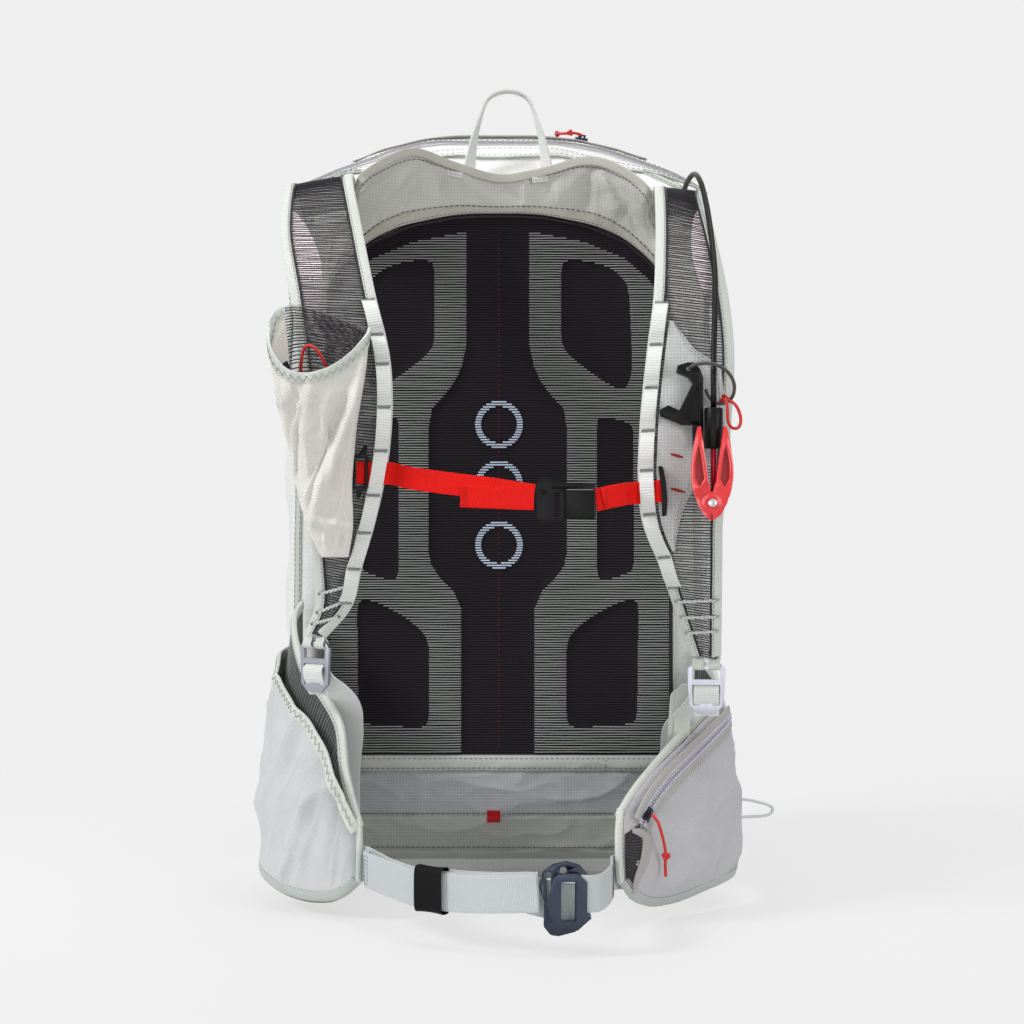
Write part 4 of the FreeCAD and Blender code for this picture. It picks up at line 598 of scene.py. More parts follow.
PATCH_RED = webbing("patch_red", (176, 22, 32), 0.0012, 0.3)
AIRBAG_CLOTH = ripstop("airbag_cloth", (214, 40, 30), grid=0.005)


# ---- Camera, light and floor -----------------------------------------------------------------------

CAMERA_PLACE = (0.010, -1.535, 0.282)
CAMERA_LENS = 67.54
BACKGROUND = (239, 239, 239)
# The world's light: its level at the horizon, and how much stronger it is straight up.
WORLD_LEVEL, WORLD_RISE = 0.36, 0.16
FLOOR_COLOUR = (226, 226, 226)
FLOOR_RADIUS, FLOOR_CORNERS, FLOOR_DROP = 1.1, 96, 0.0005
# The floor's own glow where it is seen directly, and the distances over which it fades out.
FLOOR_GLOW = 0.72
FLOOR_FADE = (0.30, 0.95)


def camera():
    """The camera that stands straight in front of the pack."""
    made = bpy.data.cameras.new("camera")
    made.lens = CAMERA_LENS
    made.sensor_width = 36.0
    made.clip_start = 0.05
    placed = bpy.data.objects.new("camera", made)
    placed.location = CAMERA_PLACE
    placed.rotation_euler = (math.radians(90), 0, 0)
    bpy.context.scene.collection.objects.link(placed)
    bpy.context.scene.camera = placed


def area_light(name, place, target, size, power):
    """A white rectangular lamp that faces a target."""
    made = bpy.data.lights.new(name, "AREA")
    made.shape = "RECTANGLE"
    made.size, made.size_y = size
    made.energy = power
    placed = bpy.data.objects.new(name, made)
    placed.location = place
    placed.rotation_euler = (Vector(target) - Vector(place)).to_track_quat("-Z", "Y").to_euler()
    bpy.context.scene.collection.objects.link(placed)


def seen_directly(tree):
    """1 for rays from the camera, off a gloss or through glass, else 0."""
    path = tree.nodes.new("ShaderNodeLightPath")
    share = path.outputs["Is Camera Ray"]
    for kind in ("Is Glossy Ray", "Is Transmission Ray"):
        both = tree.nodes.new("ShaderNodeMath")
        both.operation = "MAXIMUM"
        tree.links.new(share, both.inputs[0])
        tree.links.new(path.outputs[kind], both.inputs[1])
        share = both.outputs[0]
    return share


def wire(tree, *pairs):
    """Links each output to the input it is paired with."""
    for source, target in pairs:
        tree.links.new(source, target)


def mixed_shaders(tree, share, first, second):
    """A mix of two shaders: the first where share is 0, the second where it is 1."""
    mixed = tree.nodes.new("ShaderNodeMixShader")
    wire(tree, (share, mixed.inputs[0]), (first, mixed.inputs[1]), (second, mixed.inputs[2]))
    return mixed.outputs[0]


def world():
    """Soft light that grows towards the zenith; what looks at the world directly sees the backdrop."""
    made = bpy.data.worlds.new("studio")
    made.use_nodes = True
    bpy.context.scene.world = made
    tree = made.node_tree
    soft = tree.nodes["Background"]
    soft.inputs["Color"].default_value = (1.0, 1.0, 1.0, 1.0)
    places = tree.nodes.new("ShaderNodeTexCoord")
    height = tree.nodes.new("ShaderNodeSeparateXYZ")
    level = tree.nodes.new("ShaderNodeMath")
    level.operation = "MULTIPLY_ADD"
    level.inputs[1].default_value = WORLD_RISE
    level.inputs[2].default_value = WORLD_LEVEL
    wire(tree, (places.outputs["Generated"], height.inputs[0]), (height.outputs["Z"], level.inputs[0]),
         (level.outputs[0], soft.inputs["Strength"]))
    shown = tree.nodes.new("ShaderNodeBackground")
    shown.inputs["Color"].default_value = linear(BACKGROUND)
    mixed = mixed_shaders(tree, seen_directly(tree), soft.outputs[0], shown.outputs[0])
    wire(tree, (mixed, tree.nodes["World Output"].inputs[0]))


def floor_finish():
    """Pale and matt, glowing a little in the backdrop's colour and clear towards its rim."""
    made = bpy.data.materials.new("pale_floor")
    made.use_nodes = True
    tree = made.node_tree
    lit = tree.nodes["Principled BSDF"]
    lit.inputs["Base Color"].default_value = linear(FLOOR_COLOUR)
    lit.inputs["Roughness"].default_value = 0.9
    lit.inputs["Specular IOR Level"].default_value = 0.1
    glow = tree.nodes.new("ShaderNodeEmission")
    glow.inputs["Color"].default_value = linear(BACKGROUND)
    glow.inputs["Strength"].default_value = 1.0
    grain = tree.nodes.new("ShaderNodeTexNoise")
    grain.inputs["Scale"].default_value = 400.0
    relief = tree.nodes.new("ShaderNodeBump")
    relief.inputs["Strength"].default_value = 0.02
    share = tree.nodes.new("ShaderNodeMath")
    share.operation = "MULTIPLY"
    share.inputs[1].default_value = FLOOR_GLOW
    wire(tree, (grain.outputs["Fac"], relief.inputs["Height"]), (relief.outputs[0], lit.inputs["Normal"]),
         (seen_directly(tree), share.inputs[0]))
    mixed = mixed_shaders(tree, share.outputs[0], lit.outputs[0], glow.outputs[0])
    places = tree.nodes.new("ShaderNodeTexCoord")
    away = tree.nodes.new("ShaderNodeVectorMath")
    away.operation = "LENGTH"
    fade = tree.nodes.new("ShaderNodeMapRange")
    fade.interpolation_type = "SMOOTHSTEP"
    fade.inputs["From Min"].default_value = FLOOR_FADE[0]
    fade.inputs["From Max"].default_value = FLOOR_FADE[1]
    wire(tree, (places.outputs["Object"], away.inputs[0]), (away.outputs["Value"], fade.inputs["Value"]))
    clear = tree.nodes.new("ShaderNodeBsdfTransparent")
    faded = mixed_shaders(tree, fade.outputs["Result"], mixed, clear.outputs[0])
    wire(tree, (faded, tree.nodes["Material Output"].inputs[0]))
    return made


def floor():
    """A round floor that fades out towards its edge, where the world shows the backdrop's colour."""
    mesh = bpy.data.meshes.new("floor")
    turn = circle(FLOOR_CORNERS)
    rim = np.stack([FLOOR_RADIUS * np.cos(turn), FLOOR_RADIUS * np.sin(turn), 0 * turn - FLOOR_DROP], axis=1)
    mesh.from_pydata(rim.tolist(), [], [list(range(FLOOR_CORNERS))])
    mesh.materials.append(floor_finish())
    placed = bpy.data.objects.new("floor", mesh)
    bpy.context.scene.collection.objects.link(placed)


camera()
world()
floor()
area_light("key", (-2.5, -1.15, 2.1), (0, 0, 0.3), (0.8, 0.8), 66.0)
area_light("fill", (1.8, -2.2, 0.7), (0, 0, 0.3), (1.2, 1.2), 19.0)
area_light("low", (-0.6, -2.6, 0.1), (0, 0, 0.2), (1.6, 0.6), 9.0)
area_light("top", (0.2, -0.6, 2.6), (0, 0, 0.3), (1.2, 1.2), 20.0)
area_light("back", (0.4, 2.4, 1.6), (0, 0, 0.3), (1.8, 1.4), 18.0)
bpy.context.scene.view_settings.view_transform = "Standard"


# ---- Free cords ------------------------------------------------------------------------------------


def cord(name, points, radius, length, finish, slot, body, exit_at, stands_for, far_end, **facts):
    """A free cord as one smooth spline through the given control points, in metres."""
    curve = bpy.data.curves.new(name, "CURVE")
    curve.dimensions = "3D"
    curve.resolution_u = 10
    curve.bevel_depth = radius
    curve.bevel_resolution = 3
    curve.use_fill_caps = True
    line = curve.splines.new("NURBS")
    line.points.add(len(points) - 1)
    for spot, place in zip(line.points, points):
        spot.co = (*place, 1.0)
    line.order_u = 3
    line.use_endpoint_u = True
    curve.materials.append(finish)
    made = bpy.data.objects.new(name, curve)
    bpy.context.scene.collection.objects.link(made)
    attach(made, body)
    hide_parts(stands_for)
    return made


def knot(shape, centre, size, turn):
    """An overhand knot as one closed winding round a centre."""
    t = np.linspace(0, 2 * math.pi, 61)
    line = np.stack([np.sin(t) + 2 * np.sin(2 * t), -np.sin(3 * t), np.cos(t) - 2 * np.cos(2 * t)], axis=1)
    spin = np.array(Matrix.Rotation(turn, 3, "Y"))
    shape.tube(np.asarray(centre) + (line / 3.0 * size) @ spin.T, size * 0.36, 7)


# Control points of the cords, in metres.
TOP_PULL = [(0.0651, -0.0262, 0.5776), (0.061, -0.03, 0.579), (0.055, -0.0324, 0.5782),
            (0.049, -0.032, 0.578), (0.045, -0.028, 0.5788), (0.044, -0.022, 0.5798),
            (0.0455, -0.0155, 0.5802)]
HIP_PULL = [(0.1051, -0.2295, 0.0762), (0.1083, -0.2324, 0.0738), (0.111, -0.231, 0.066),
            (0.1135, -0.227, 0.057), (0.115, -0.224, 0.0485), (0.1145, -0.223, 0.04),
            (0.1151, -0.2225, 0.033)]
FRONT_PULL = [(-0.08, 0.1044, 0.384), (-0.08, 0.1085, 0.3825), (-0.0808, 0.11, 0.375),
              (-0.0796, 0.109, 0.366), (-0.08, 0.108, 0.357), (-0.0802, 0.1085, 0.348)]
SIDE_LOOP = [(0.1653, 0.008, 0.052), (0.178, 0.011, 0.0523), (0.192, 0.015, 0.051),
             (0.206, 0.021, 0.048), (0.217, 0.027, 0.0445), (0.2225, 0.03, 0.0415),
             (0.222, 0.03, 0.037), (0.216, 0.027, 0.035), (0.204, 0.021, 0.0352), (0.19, 0.015, 0.036),
             (0.178, 0.012, 0.0366), (0.1653, 0.009, 0.0365)]
TETHER_ROUTE = [(0.1274, -0.2584, 0.3774), (0.1294, -0.2625, 0.3792), (0.136, -0.266, 0.3805),
                (0.143, -0.267, 0.38), (0.15, -0.2665, 0.377), (0.1555, -0.265, 0.3715),
                (0.158, -0.262, 0.364), (0.156, -0.258, 0.3565), (0.149, -0.2535, 0.3535),
                (0.1415, -0.2526, 0.357), (0.1392, -0.2526, 0.364)]
RED_ROUTE = [(0.1486, -0.2547, 0.3561), (0.1512, -0.259, 0.3582), (0.1522, -0.2632, 0.3552),
             (0.1524, -0.2652, 0.3502), (0.1524, -0.2656, 0.3448), (0.153, -0.2654, 0.3405),
             (0.1556, -0.265, 0.3371), (0.16, -0.2646, 0.3374), (0.1616, -0.2642, 0.342),
             (0.1608, -0.2638, 0.3472), (0.159, -0.263, 0.3518), (0.1562, -0.2612, 0.3552),
             (0.153, -0.259, 0.3562)]
RED_KNOT = (0.1514, -0.2592, 0.3572)
FLASK_CORD = [(-0.131, -0.2532, 0.372), (-0.1305, -0.257, 0.384), (-0.127, -0.262, 0.393),
              (-0.12, -0.265, 0.391), (-0.1145, -0.262, 0.382), (-0.112, -0.257, 0.374),
              (-0.1115, -0.2534, 0.365)]


def free_cords():
    """Every cord that hangs or loops freely."""
    cord("top_zip_pull_cord", TOP_PULL, 0.0011, 0.0362, RED_CORD, "cord_red", "top_zip", TOP_PULL[0],
         "top_zip_pull", "knot", stiffness="limp", lay="loose")
    cord("hip_zip_pull_cord", HIP_PULL, 0.0011, 0.0478, RED_CORD, "cord_red", "hip_zip", HIP_PULL[0],
         "hip_zip_pull", "knot", stiffness="limp", lay="hanging")
    cord("front_zip_pull_cord", FRONT_PULL, 0.0011, 0.0388, RED_CORD, "cord_red", "front_zip", FRONT_PULL[0],
         "front_zip_pull", "knot", stiffness="limp", lay="hanging")
    cord("side_ski_loop_cord", SIDE_LOOP, 0.0012, 0.1276, PALE_CORD, "webbing_white", "pack", SIDE_LOOP[0],
         "side_ski_loop", "object", stiffness="medium", lay="loose")
    cord("trigger_tether_cord", TETHER_ROUTE, 0.0012, 0.0748, GREY_CORD, "cord_dark", "pack",
         TETHER_ROUTE[0], "trigger_tether", "object", stiffness="medium", lay="hanging")
    cord("trigger_red_loop_cord", RED_ROUTE, 0.0011, 0.0561, RED_CORD, "cord_red", "pack", RED_ROUTE[0],
         "trigger_red_loop", "object", stiffness="limp", lay="hanging")
    tie = Shape()
    knot(tie, RED_KNOT, 0.0024, 0.7)
    piece("trigger_red_loop_knot", tie, RED_CORD, "cord_red")
    cord("flask_pocket_cord", FLASK_CORD, 0.0011, 0.0599, RED_CORD, "cord_red", "pack", FLASK_CORD[0],
         "flask_cord", "object", stiffness="limp", lay="hanging")


free_cords()


# ---- Shoulder straps -------------------------------------------------------------------------------

# Sizes in metres; the outer and inner edges of both straps run from the shoulder down.
STRAP_ROWS, STRAP_COLUMNS = 150, 21
STRAP_BOW = 0.003
NET_RISE = 0.0006
BINDING_WIDTH, BINDING_THICKNESS = 0.0074, 0.0034
DAISY_WIDTH, DAISY_THICKNESS, DAISY_LOOP_RISE = 0.0096, 0.0014, 0.0032
CLOTH_RISE = 0.0018
LEFT_OUTER = mm([(-155, -75.2, 505), (-156, -112, 520), (-153.5, -150, 514), (-151, -195, 475),
                 (-140, -228, 427), (-133, -238, 382), (-130, -242, 323), (-127, -238, 277),
                 (-124, -226, 244), (-124, -215, 220), (-133, -198, 195.5)])
LEFT_INNER = mm([(-107.5, -75.2, 513), (-106.5, -112, 528), (-105.5, -150, 523), (-95, -195, 479),
                 (-83, -232, 429), (-72, -243, 382), (-72.5, -247, 323), (-82, -242, 277),
                 (-92.5, -230, 244), (-99, -220, 220), (-119.5, -207.5, 195.5)])
RIGHT_OUTER = mm([(155, -75.2, 505), (154, -112, 517), (149, -150, 507), (152.5, -205, 463),
                  (157, -226, 427), (159.5, -236, 391), (156.5, -242, 337), (154, -242, 300),
                  (151.5, -240, 277), (152, -231, 248), (153, -219, 217), (154.5, -200, 180)])
RIGHT_INNER = mm([(115.5, -75.2, 508), (115, -112, 520), (113.2, -150, 514), (109.5, -209, 463),
                  (106.5, -231, 427), (101.5, -240, 391), (96, -246, 337), (95, -247.5, 300),
                  (97.5, -245, 277), (109.5, -234, 248), (121.5, -217, 217), (135.5, -198, 180)])
# Heights of the bar tacks that hold the webbing ladders, in millimetres.
LEFT_TACKS = [425, 401, 381, 352, 323, 293.5, 269, 244.5, 221]
RIGHT_TACKS = [423, 394, 365, 336, 309.5, 280.5, 252.5, 232]


def strap_grid(outer, inner):
    """Points over a strap from its outer to its inner edge, bowed a little forwards between them."""
    a, b = spline(outer, STRAP_ROWS), spline(inner, STRAP_ROWS)
    t = np.linspace(0, 1, STRAP_COLUMNS)[None, :, None]
    grid = a[:, None] * (1 - t) + b[:, None] * t
    grid[..., 1] -= STRAP_BOW * 4 * t[..., 0] * (1 - t[..., 0])
    return grid


LEFT_STRAP = strap_grid(LEFT_OUTER, LEFT_INNER)
RIGHT_STRAP = strap_grid(RIGHT_OUTER, RIGHT_INNER)


def strap_row(grid, height):
    """The strap's points at a height on its inner edge, from there outwards, and the way up."""
    z = grid[:, -1, 2] * 1000
    i = np.where((z[1:] <= height) & (z[:-1] >= height))[0][-1]
    t = (z[i] - height) / (z[i] - z[i + 1])
    row = grid[i] * (1 - t) + grid[i + 1] * t
    return row[::-1], unit(grid[i] - grid[i + 1])[::-1]


def strap_spot(grid, height, inset, rise):
    """A place in front of a strap: its point, the way to the inner edge, and the way forwards."""
    row, up = strap_row(grid, height)
    at = reach(row)
    k = int(np.clip(np.searchsorted(at, inset) - 1, 0, len(row) - 2))
    step = unit(row[k + 1] - row[k])
    forwards = unit(np.cross(up[k], step))
    if forwards[1] > 0:
        forwards = -forwards
    return row[k] + step * (inset - at[k]) + forwards * rise, -step, forwards


def on_grid(grid, rows, columns):
    """Points on a grid at fractional row and column numbers."""
    rows = np.clip(rows, 0, grid.shape[0] - 1.001)
    columns = np.clip(columns, 0, grid.shape[1] - 1.001)
    i, j = rows.astype(int), columns.astype(int)
    r, c = (rows - i)[..., None], (columns - j)[..., None]
    low = grid[i, j] * (1 - c) + grid[i, j + 1] * c
    high = grid[i + 1, j] * (1 - c) + grid[i + 1, j + 1] * c
    return low * (1 - r) + high * r


def net_threads(shape, grid, pitch, slant, radius, seed):
    """Wavy threads across a grid, a pitch apart; slant is how many pitches one thread climbs."""
    draw = np.random.default_rng(seed)
    rows, columns = grid.shape[:2]
    length = reach(grid[:, columns // 2])[-1]
    count = int(length / pitch)
    t = np.linspace(0.0, 1.0, 11)
    for k in range(count):
        place = (k + 0.5) * pitch / length * (rows - 1)
        swing = 0.12 * np.sin(2 * math.pi * (t * draw.uniform(0.8, 1.6) + draw.uniform()))
        climb = (slant * (t - 0.5) + swing) * pitch / length * (rows - 1)
        line = on_grid(grid, place + climb, t * (columns - 1))
        shape.tube(line, radius * draw.uniform(0.9, 1.1), 4)


def edge_line(grid, inset, rise=0.0, outer=True):
    """A line beside a strap's outer or inner edge, and the directions across it."""
    lines, sides = [], []
    front = facing(grid, (0, -1, 0.25))
    for row, forwards in zip(grid, front):
        row = row if outer else row[::-1]
        up = forwards[0] if outer else forwards[-1]
        at = reach(row)
        point = np.array([np.interp(inset, at, c) for c in row.T])
        if inset < 0:
            point = row[0] + unit(row[0] - row[1]) * -inset
        lines.append(point + up * rise)
        sides.append(unit(row[1] - row[0]))
    return np.array(lines), np.array(sides)


def daisy_route(strap, tacks):
    """The line of the webbing ladder, which bulges forwards between its tacks, and its width's way."""
    heights = [tacks[0]]
    for a, b in zip(tacks, tacks[1:]):
        heights += [a + (b - a) * share for share in (0.12, 0.3, 0.5, 0.7, 0.88)] + [b]
    lifts = [0.0, 0.25, 0.85, 1.0, 0.85, 0.25]
    points, sides = [], []
    for k, height in enumerate(heights):
        rise = CLOTH_RISE + DAISY_THICKNESS / 2 + DAISY_LOOP_RISE * lifts[k % 6]
        point, side, _ = strap_spot(strap, height, 0.0005 + DAISY_WIDTH / 2, rise)
        points.append(point)
        sides.append(side)
    line = spline(points, 12 * len(heights))
    return line, even_like(np.array(sides), np.array(points), len(line))


# Top and bottom of the part where each strap shows painted backdrop light through its net.
PAINTED_LIGHT_HEIGHTS = {"left": (0.498, 0.400), "right": (0.500, 0.408)}


def strap_painted_light(side, strap):
    """A pale sheet under the net high on the strap: painted light, standing in for the bright backdrop seen
    through the net.
    """
    tall = strap[:, 8, 2]
    first, last = (int(np.argmin(np.abs(tall - height))) for height in PAINTED_LIGHT_HEIGHTS[side])
    share = np.linspace(0, 1, 40)[:, None]
    spread = np.linspace(0, 1, 8)[None]
    rows, columns = np.broadcast_arrays(first + (last - first) * share,
                                        1.2 + spread * 7.5 * np.sin(math.pi * share) ** 0.6)
    lowered = on_grid(strap, rows, columns) - facing(strap, (0, -1, 0.3))[0, 0] * 0.0005
    sheet_piece(f"{side}_strap_pale_lining", lowered, 0.0003, BACKDROP_LIGHT_SHEET)


def strap_edges(side, strap):
    """Both bindings of a strap, their stitches and the dark edging beside them."""
    tapes, seams, edging = Shape(), Shape(), Shape()
    for outer in (True, False):
        line, sides = edge_line(strap, BINDING_WIDTH / 2 - 0.0006, 0.0, outer)
        tapes.sweep(line[::2], sides[::2], BINDING_WIDTH, BINDING_THICKNESS, 3.6, 16)
        line, _ = edge_line(strap, BINDING_WIDTH - 0.0016, 0.0019, outer)
        seams.stitches(line, 0.0022, 0.0009, 0.00024)
        line, _ = edge_line(strap, BINDING_WIDTH + 0.0003, 0.0012, outer)
        edging.tube(line[::2], 0.0006, 6)
    piece(f"{side}_strap_bindings", tapes, BINDING, "webbing_white")
    piece(f"{side}_strap_seams", seams, GREY_THREAD, "webbing_white")
    piece(f"{side}_strap_edging", edging, NET_THREAD, "stretch_mesh")


def strap_pieces(side, strap, tacks, slant, seed):
    """One shoulder strap: its haze and net, its edges, and its webbing ladder."""
    sheet_piece(f"{side}_strap_haze", strap, 0.0004, NET_HAZE, stands_for=[f"{side}_shoulder_strap"])
    strap_painted_light(side, strap)
    shoulder = strap[:34]
    lowered = shoulder - facing(shoulder, (0, -0.3, 1)) * 0.0008
    sheet_piece(f"{side}_strap_shoulder_haze", lowered, 0.0004, DARK_HAZE)
    front = strap + facing(strap, (0, -1, 0.3)) * NET_RISE
    net_piece(f"{side}_strap_net", front, 0.0020, slant, 0.00036, seed)
    strap_edges(side, strap)
    line, sides = daisy_route(strap, tacks)
    band_piece(f"{side}_daisy_webbing", line, sides, (DAISY_WIDTH, DAISY_THICKNESS), 6.0, 16, DAISY_WEBBING,
               stands_for=[f"{side}_daisy_chain"])
    bars = Shape()
    for height in tacks:
        point, across, up = strap_spot(strap, height, 0.0005 + DAISY_WIDTH / 2, CLOTH_RISE + 0.0018)
        width = across * (DAISY_WIDTH / 2 - 0.0005)
        line = np.array([point - width, point, point + width])
        bars.zigzag(line, np.cross(across, up), 0.0021, 0.0007, 0.0003)
    piece(f"{side}_daisy_tacks", bars, GREY_THREAD, "webbing_white")


strap_pieces("left", LEFT_STRAP, LEFT_TACKS, 2.6, 21)
strap_pieces("right", RIGHT_STRAP, RIGHT_TACKS, -3.2, 31)


def cross_cords():
    """Twisted elastic cords that draw each strap's lower end together, with their bartacks."""
    spans = {
        "left": (LEFT_STRAP, [(233, 226), (223, 213), (211, 205)]),
        "right": (RIGHT_STRAP, [(222, 222), (211, 211), (200, 201)]),
    }
    for side, (strap, heights) in spans.items():
        cords, bars = Shape(), Shape()
        for left, right in heights:
            inner, _, up = strap_spot(strap, left, 0.0045, 0.0026)
            row, _ = strap_row(strap, right)
            width = reach(row)[-1]
            outer, _, _ = strap_spot(strap, right, width - 0.0045, 0.0026)
            t = np.linspace(0, 1, 40)[:, None]
            middle = between(inner, outer, 40) + up * 0.0004
            along = unit(outer - inner)
            side_way = np.cross(along, up)
            for phase in (0.0, math.pi):
                turn = t * 22.0 + phase
                strand = middle + (side_way * np.cos(turn) + up * np.sin(turn)) * 0.00062
                cords.tube(strand, 0.00062, 6)
            for end in (inner, outer):
                line = np.array([end - along * 0.0022, end, end + along * 0.0022])
                bars.zigzag(line, side_way, 0.0026, 0.0008, 0.0003)
        piece(f"{side}_strap_cross_cords", cords, PALE_CORD, "webbing_white")
        piece(f"{side}_strap_cross_tacks", bars, GREY_THREAD, "webbing_white")


cross_cords()


# ---- Back panel ------------------------------------------------------------------------------------

PANEL_BOTTOM, PANEL_TOP = 99.0, 506.0
ARCH = np.array([(130, 430), (128, 450), (114, 470), (96, 485.5), (66, 498), (32, 504.5), (0, 506)], float)
# The windows and the spine mirror about MIRROR_X; the rings and the middle line stand at MIDDLE_X.
MIRROR_X = -0.7
MIDDLE_X = MIRROR_X + 0.9
SPINE = np.array([(99, 27.5), (209, 27.5), (222, 33), (233, 44), (242, 50), (252, 52), (345, 52),
                  (360, 49.5), (370, 40), (381, 32), (392, 27), (408, 23.6), (506, 23.6)], float)
WINDOWS = [
    [(48, 409), (48, 468), (52, 472), (63, 472), (84, 467), (96, 457), (99, 446), (101.5, 391), (98, 377),
     (92, 374), (78, 382), (54, 400)],
    [(75, 234), (75, 352), (79, 354), (100, 349), (102, 344), (102.5, 240), (99, 236), (79, 230)],
    [(52, 124), (52, 183), (57, 192), (72, 204), (94, 215), (103, 216), (106, 211), (105, 127), (101, 122),
     (57, 119)],
]
# The panel's pale stripes and its rings, in millimetres.
STRIPE_PITCH = 1.9
STRIPE_TOP, STRIPE_BOTTOM = 494.0, 101.0
RINGS_Z = (348.0, 302.8, 257.0)
RING_OUTER, RING_INNER = 18.0, 13.6
PANEL_Y = -85.0


def panel_half(z):
    """The back panel's half width at a height, in millimetres."""
    return np.interp(z, ARCH[:, 1], ARCH[:, 0])


def inside(x, z, outline):
    """True where points lie in an outline."""
    result = np.zeros(np.broadcast(x, z).shape, bool)
    for (x0, z0), (x1, z1) in zip(outline, outline[1:] + outline[:1]):
        crosses = (z0 > z) != (z1 > z)
        with np.errstate(divide="ignore", invalid="ignore"):
            result ^= crosses & (x < (x1 - x0) * (z - z0) / (z1 - z0) + x0)
    return result


def rounded(outline, radius=5.0):
    """An outline with its corners cut twice, so that they look round."""
    points = np.array(outline, float)
    for _ in range(2):
        after = np.roll(points, -1, axis=0)
        share = np.minimum(0.25, radius / np.linalg.norm(after - points, axis=1))[:, None]
        points = np.stack([points * (1 - share) + after * share, points * share + after * (1 - share)], 1)
        points = points.reshape(-1, 2)
    return [tuple(p) for p in points]


ROUNDED_WINDOWS = [rounded(outline) for outline in WINDOWS]


def striped(x, z):
    """True where pale stripes cover the panel: not on the spine, in the windows or at its edge."""
    beside = np.abs(x - MIRROR_X)
    shown = (np.abs(x) < panel_half(z + 12) - 1.0) & (beside > np.interp(z, SPINE[:, 0], SPINE[:, 1]))
    for outline in ROUNDED_WINDOWS:
        shown &= ~inside(beside, z, outline)
    return shown & (z < STRIPE_TOP)


PANEL_ROWS, PANEL_COLUMNS = 200, 131
panel_z = np.linspace(PANEL_BOTTOM, PANEL_TOP - 0.6, PANEL_ROWS)
panel_share = np.linspace(-1, 1, PANEL_COLUMNS)
PANEL_X = panel_half(panel_z)[:, None] * panel_share[None, :]
PANEL_Z = np.repeat(panel_z[:, None], PANEL_COLUMNS, axis=1)
PANEL_PLACES = np.stack([PANEL_X, PANEL_Z], axis=-1) / 1000
PAD_FRONT_Y, PAD_BACK_Y = -82.4, -74.4


def panel_points(depth):
    """The panel's grid at a depth in millimetres, one or one for each point."""
    return np.stack([PANEL_X, np.broadcast_to(depth, PANEL_X.shape), PANEL_Z], axis=-1) / 1000


def blurred(field, rounds):
    """A field of numbers smoothed with its neighbours that many times."""
    for _ in range(rounds):
        wide = np.pad(field, 1, mode="edge")
        field = (wide[:-2, 1:-1] + wide[2:, 1:-1] + wide[1:-1, :-2] + wide[1:-1, 2:] + 4 * field) / 8
    return field


def panel_relief():
    """How far the panel stands forwards: the striped pads swell, and the spine and windows sink."""
    pads = blurred(striped(PANEL_X, PANEL_Z).astype(float), 7)
    rim = np.minimum(panel_half(PANEL_Z) - np.abs(PANEL_X), PANEL_Z - PANEL_BOTTOM)
    edge = np.clip(rim / 5.0, 0, 1)
    return (pads * 1.9 - 1.3) * edge - 0.9 * (1 - edge) ** 2


RELIEF = panel_relief()


def panel_surface(x, z, rise=0.0):
    """Points on the panel's front over places in millimetres."""
    row = (z - panel_z[0]) / (panel_z[-1] - panel_z[0]) * (PANEL_ROWS - 1)
    column = (x / np.maximum(panel_half(z), 1.0) + 1) / 2 * (PANEL_COLUMNS - 1)
    depth = on_grid(RELIEF[..., None], row, column)[..., 0]
    return np.stack([x, PANEL_Y - depth - rise, z], axis=-1) / 1000


def ring_spans(z, centre):
    """The parts of a ring that a level line at height z crosses, from left to right."""
    half = RING_OUTER**2 - (z - centre) ** 2
    if half <= 4:
        return []
    half = math.sqrt(half)
    hole = RING_INNER**2 - (z - centre) ** 2
    return [(-half, half)] if hole <= 0 else [(-half, -math.sqrt(hole)), (math.sqrt(hole), half)]


def back_panel():
    """The panel against the back: dark cloth, pale raised stripes, three rings and a red middle line."""
    cover = Shape()
    cover.slab(panel_points(PANEL_Y - RELIEF), panel_points(PANEL_Y + 2.3), PANEL_PLACES)
    made = piece("back_panel_cover", cover, PANEL_CLOTH, "spacer_mesh", stands_for=["back_mesh_panel"])
    panel_stripes()
    panel_lines()


def panel_stripes():
    """The pale raised stripes of the pads, and the brighter ones of the three rings."""
    stripes, ring_stripes = Shape(), Shape()
    grid_x = np.arange(-130.0, 130.01, 0.5)
    draw = np.random.default_rng(5)
    for z in np.arange(STRIPE_BOTTOM, STRIPE_TOP, STRIPE_PITCH):
        shown = striped(grid_x, np.full_like(grid_x, z)).astype(int)
        edges = np.flatnonzero(np.diff(np.concatenate([[0], shown, [0]])))
        for first, last in zip(edges[::2], edges[1::2] - 1):
            if last - first < 4:
                continue
            x = np.linspace(grid_x[first], grid_x[last], max(int((last - first) / 6), 4))
            wave = 0.12 * np.sin(x / 9.0 + draw.uniform(0, 6)) + draw.uniform(-0.08, 0.08)
            line = panel_surface(x, z + wave, 0.35)
            flat = np.tile((0.0, 0.0, 1.0), (len(line), 1))
            stripes.sweep(line, flat, 0.00088 * draw.uniform(0.95, 1.05), 0.0011, 2.0, 6)
        for centre in RINGS_Z:
            for low, high in ring_spans(z, centre):
                line = panel_surface(np.linspace(low, high, 7) + MIDDLE_X, np.full(7, z), 0.5)
                ring_stripes.sweep(line, np.tile((0.0, 0.0, 1.0), (7, 1)), 0.00115, 0.0011, 2.0, 6)
    piece("back_panel_stripes", stripes, PANEL_STRIPE, "spacer_mesh")
    piece("back_panel_rings", ring_stripes, RING_STRIPE, "spacer_mesh")


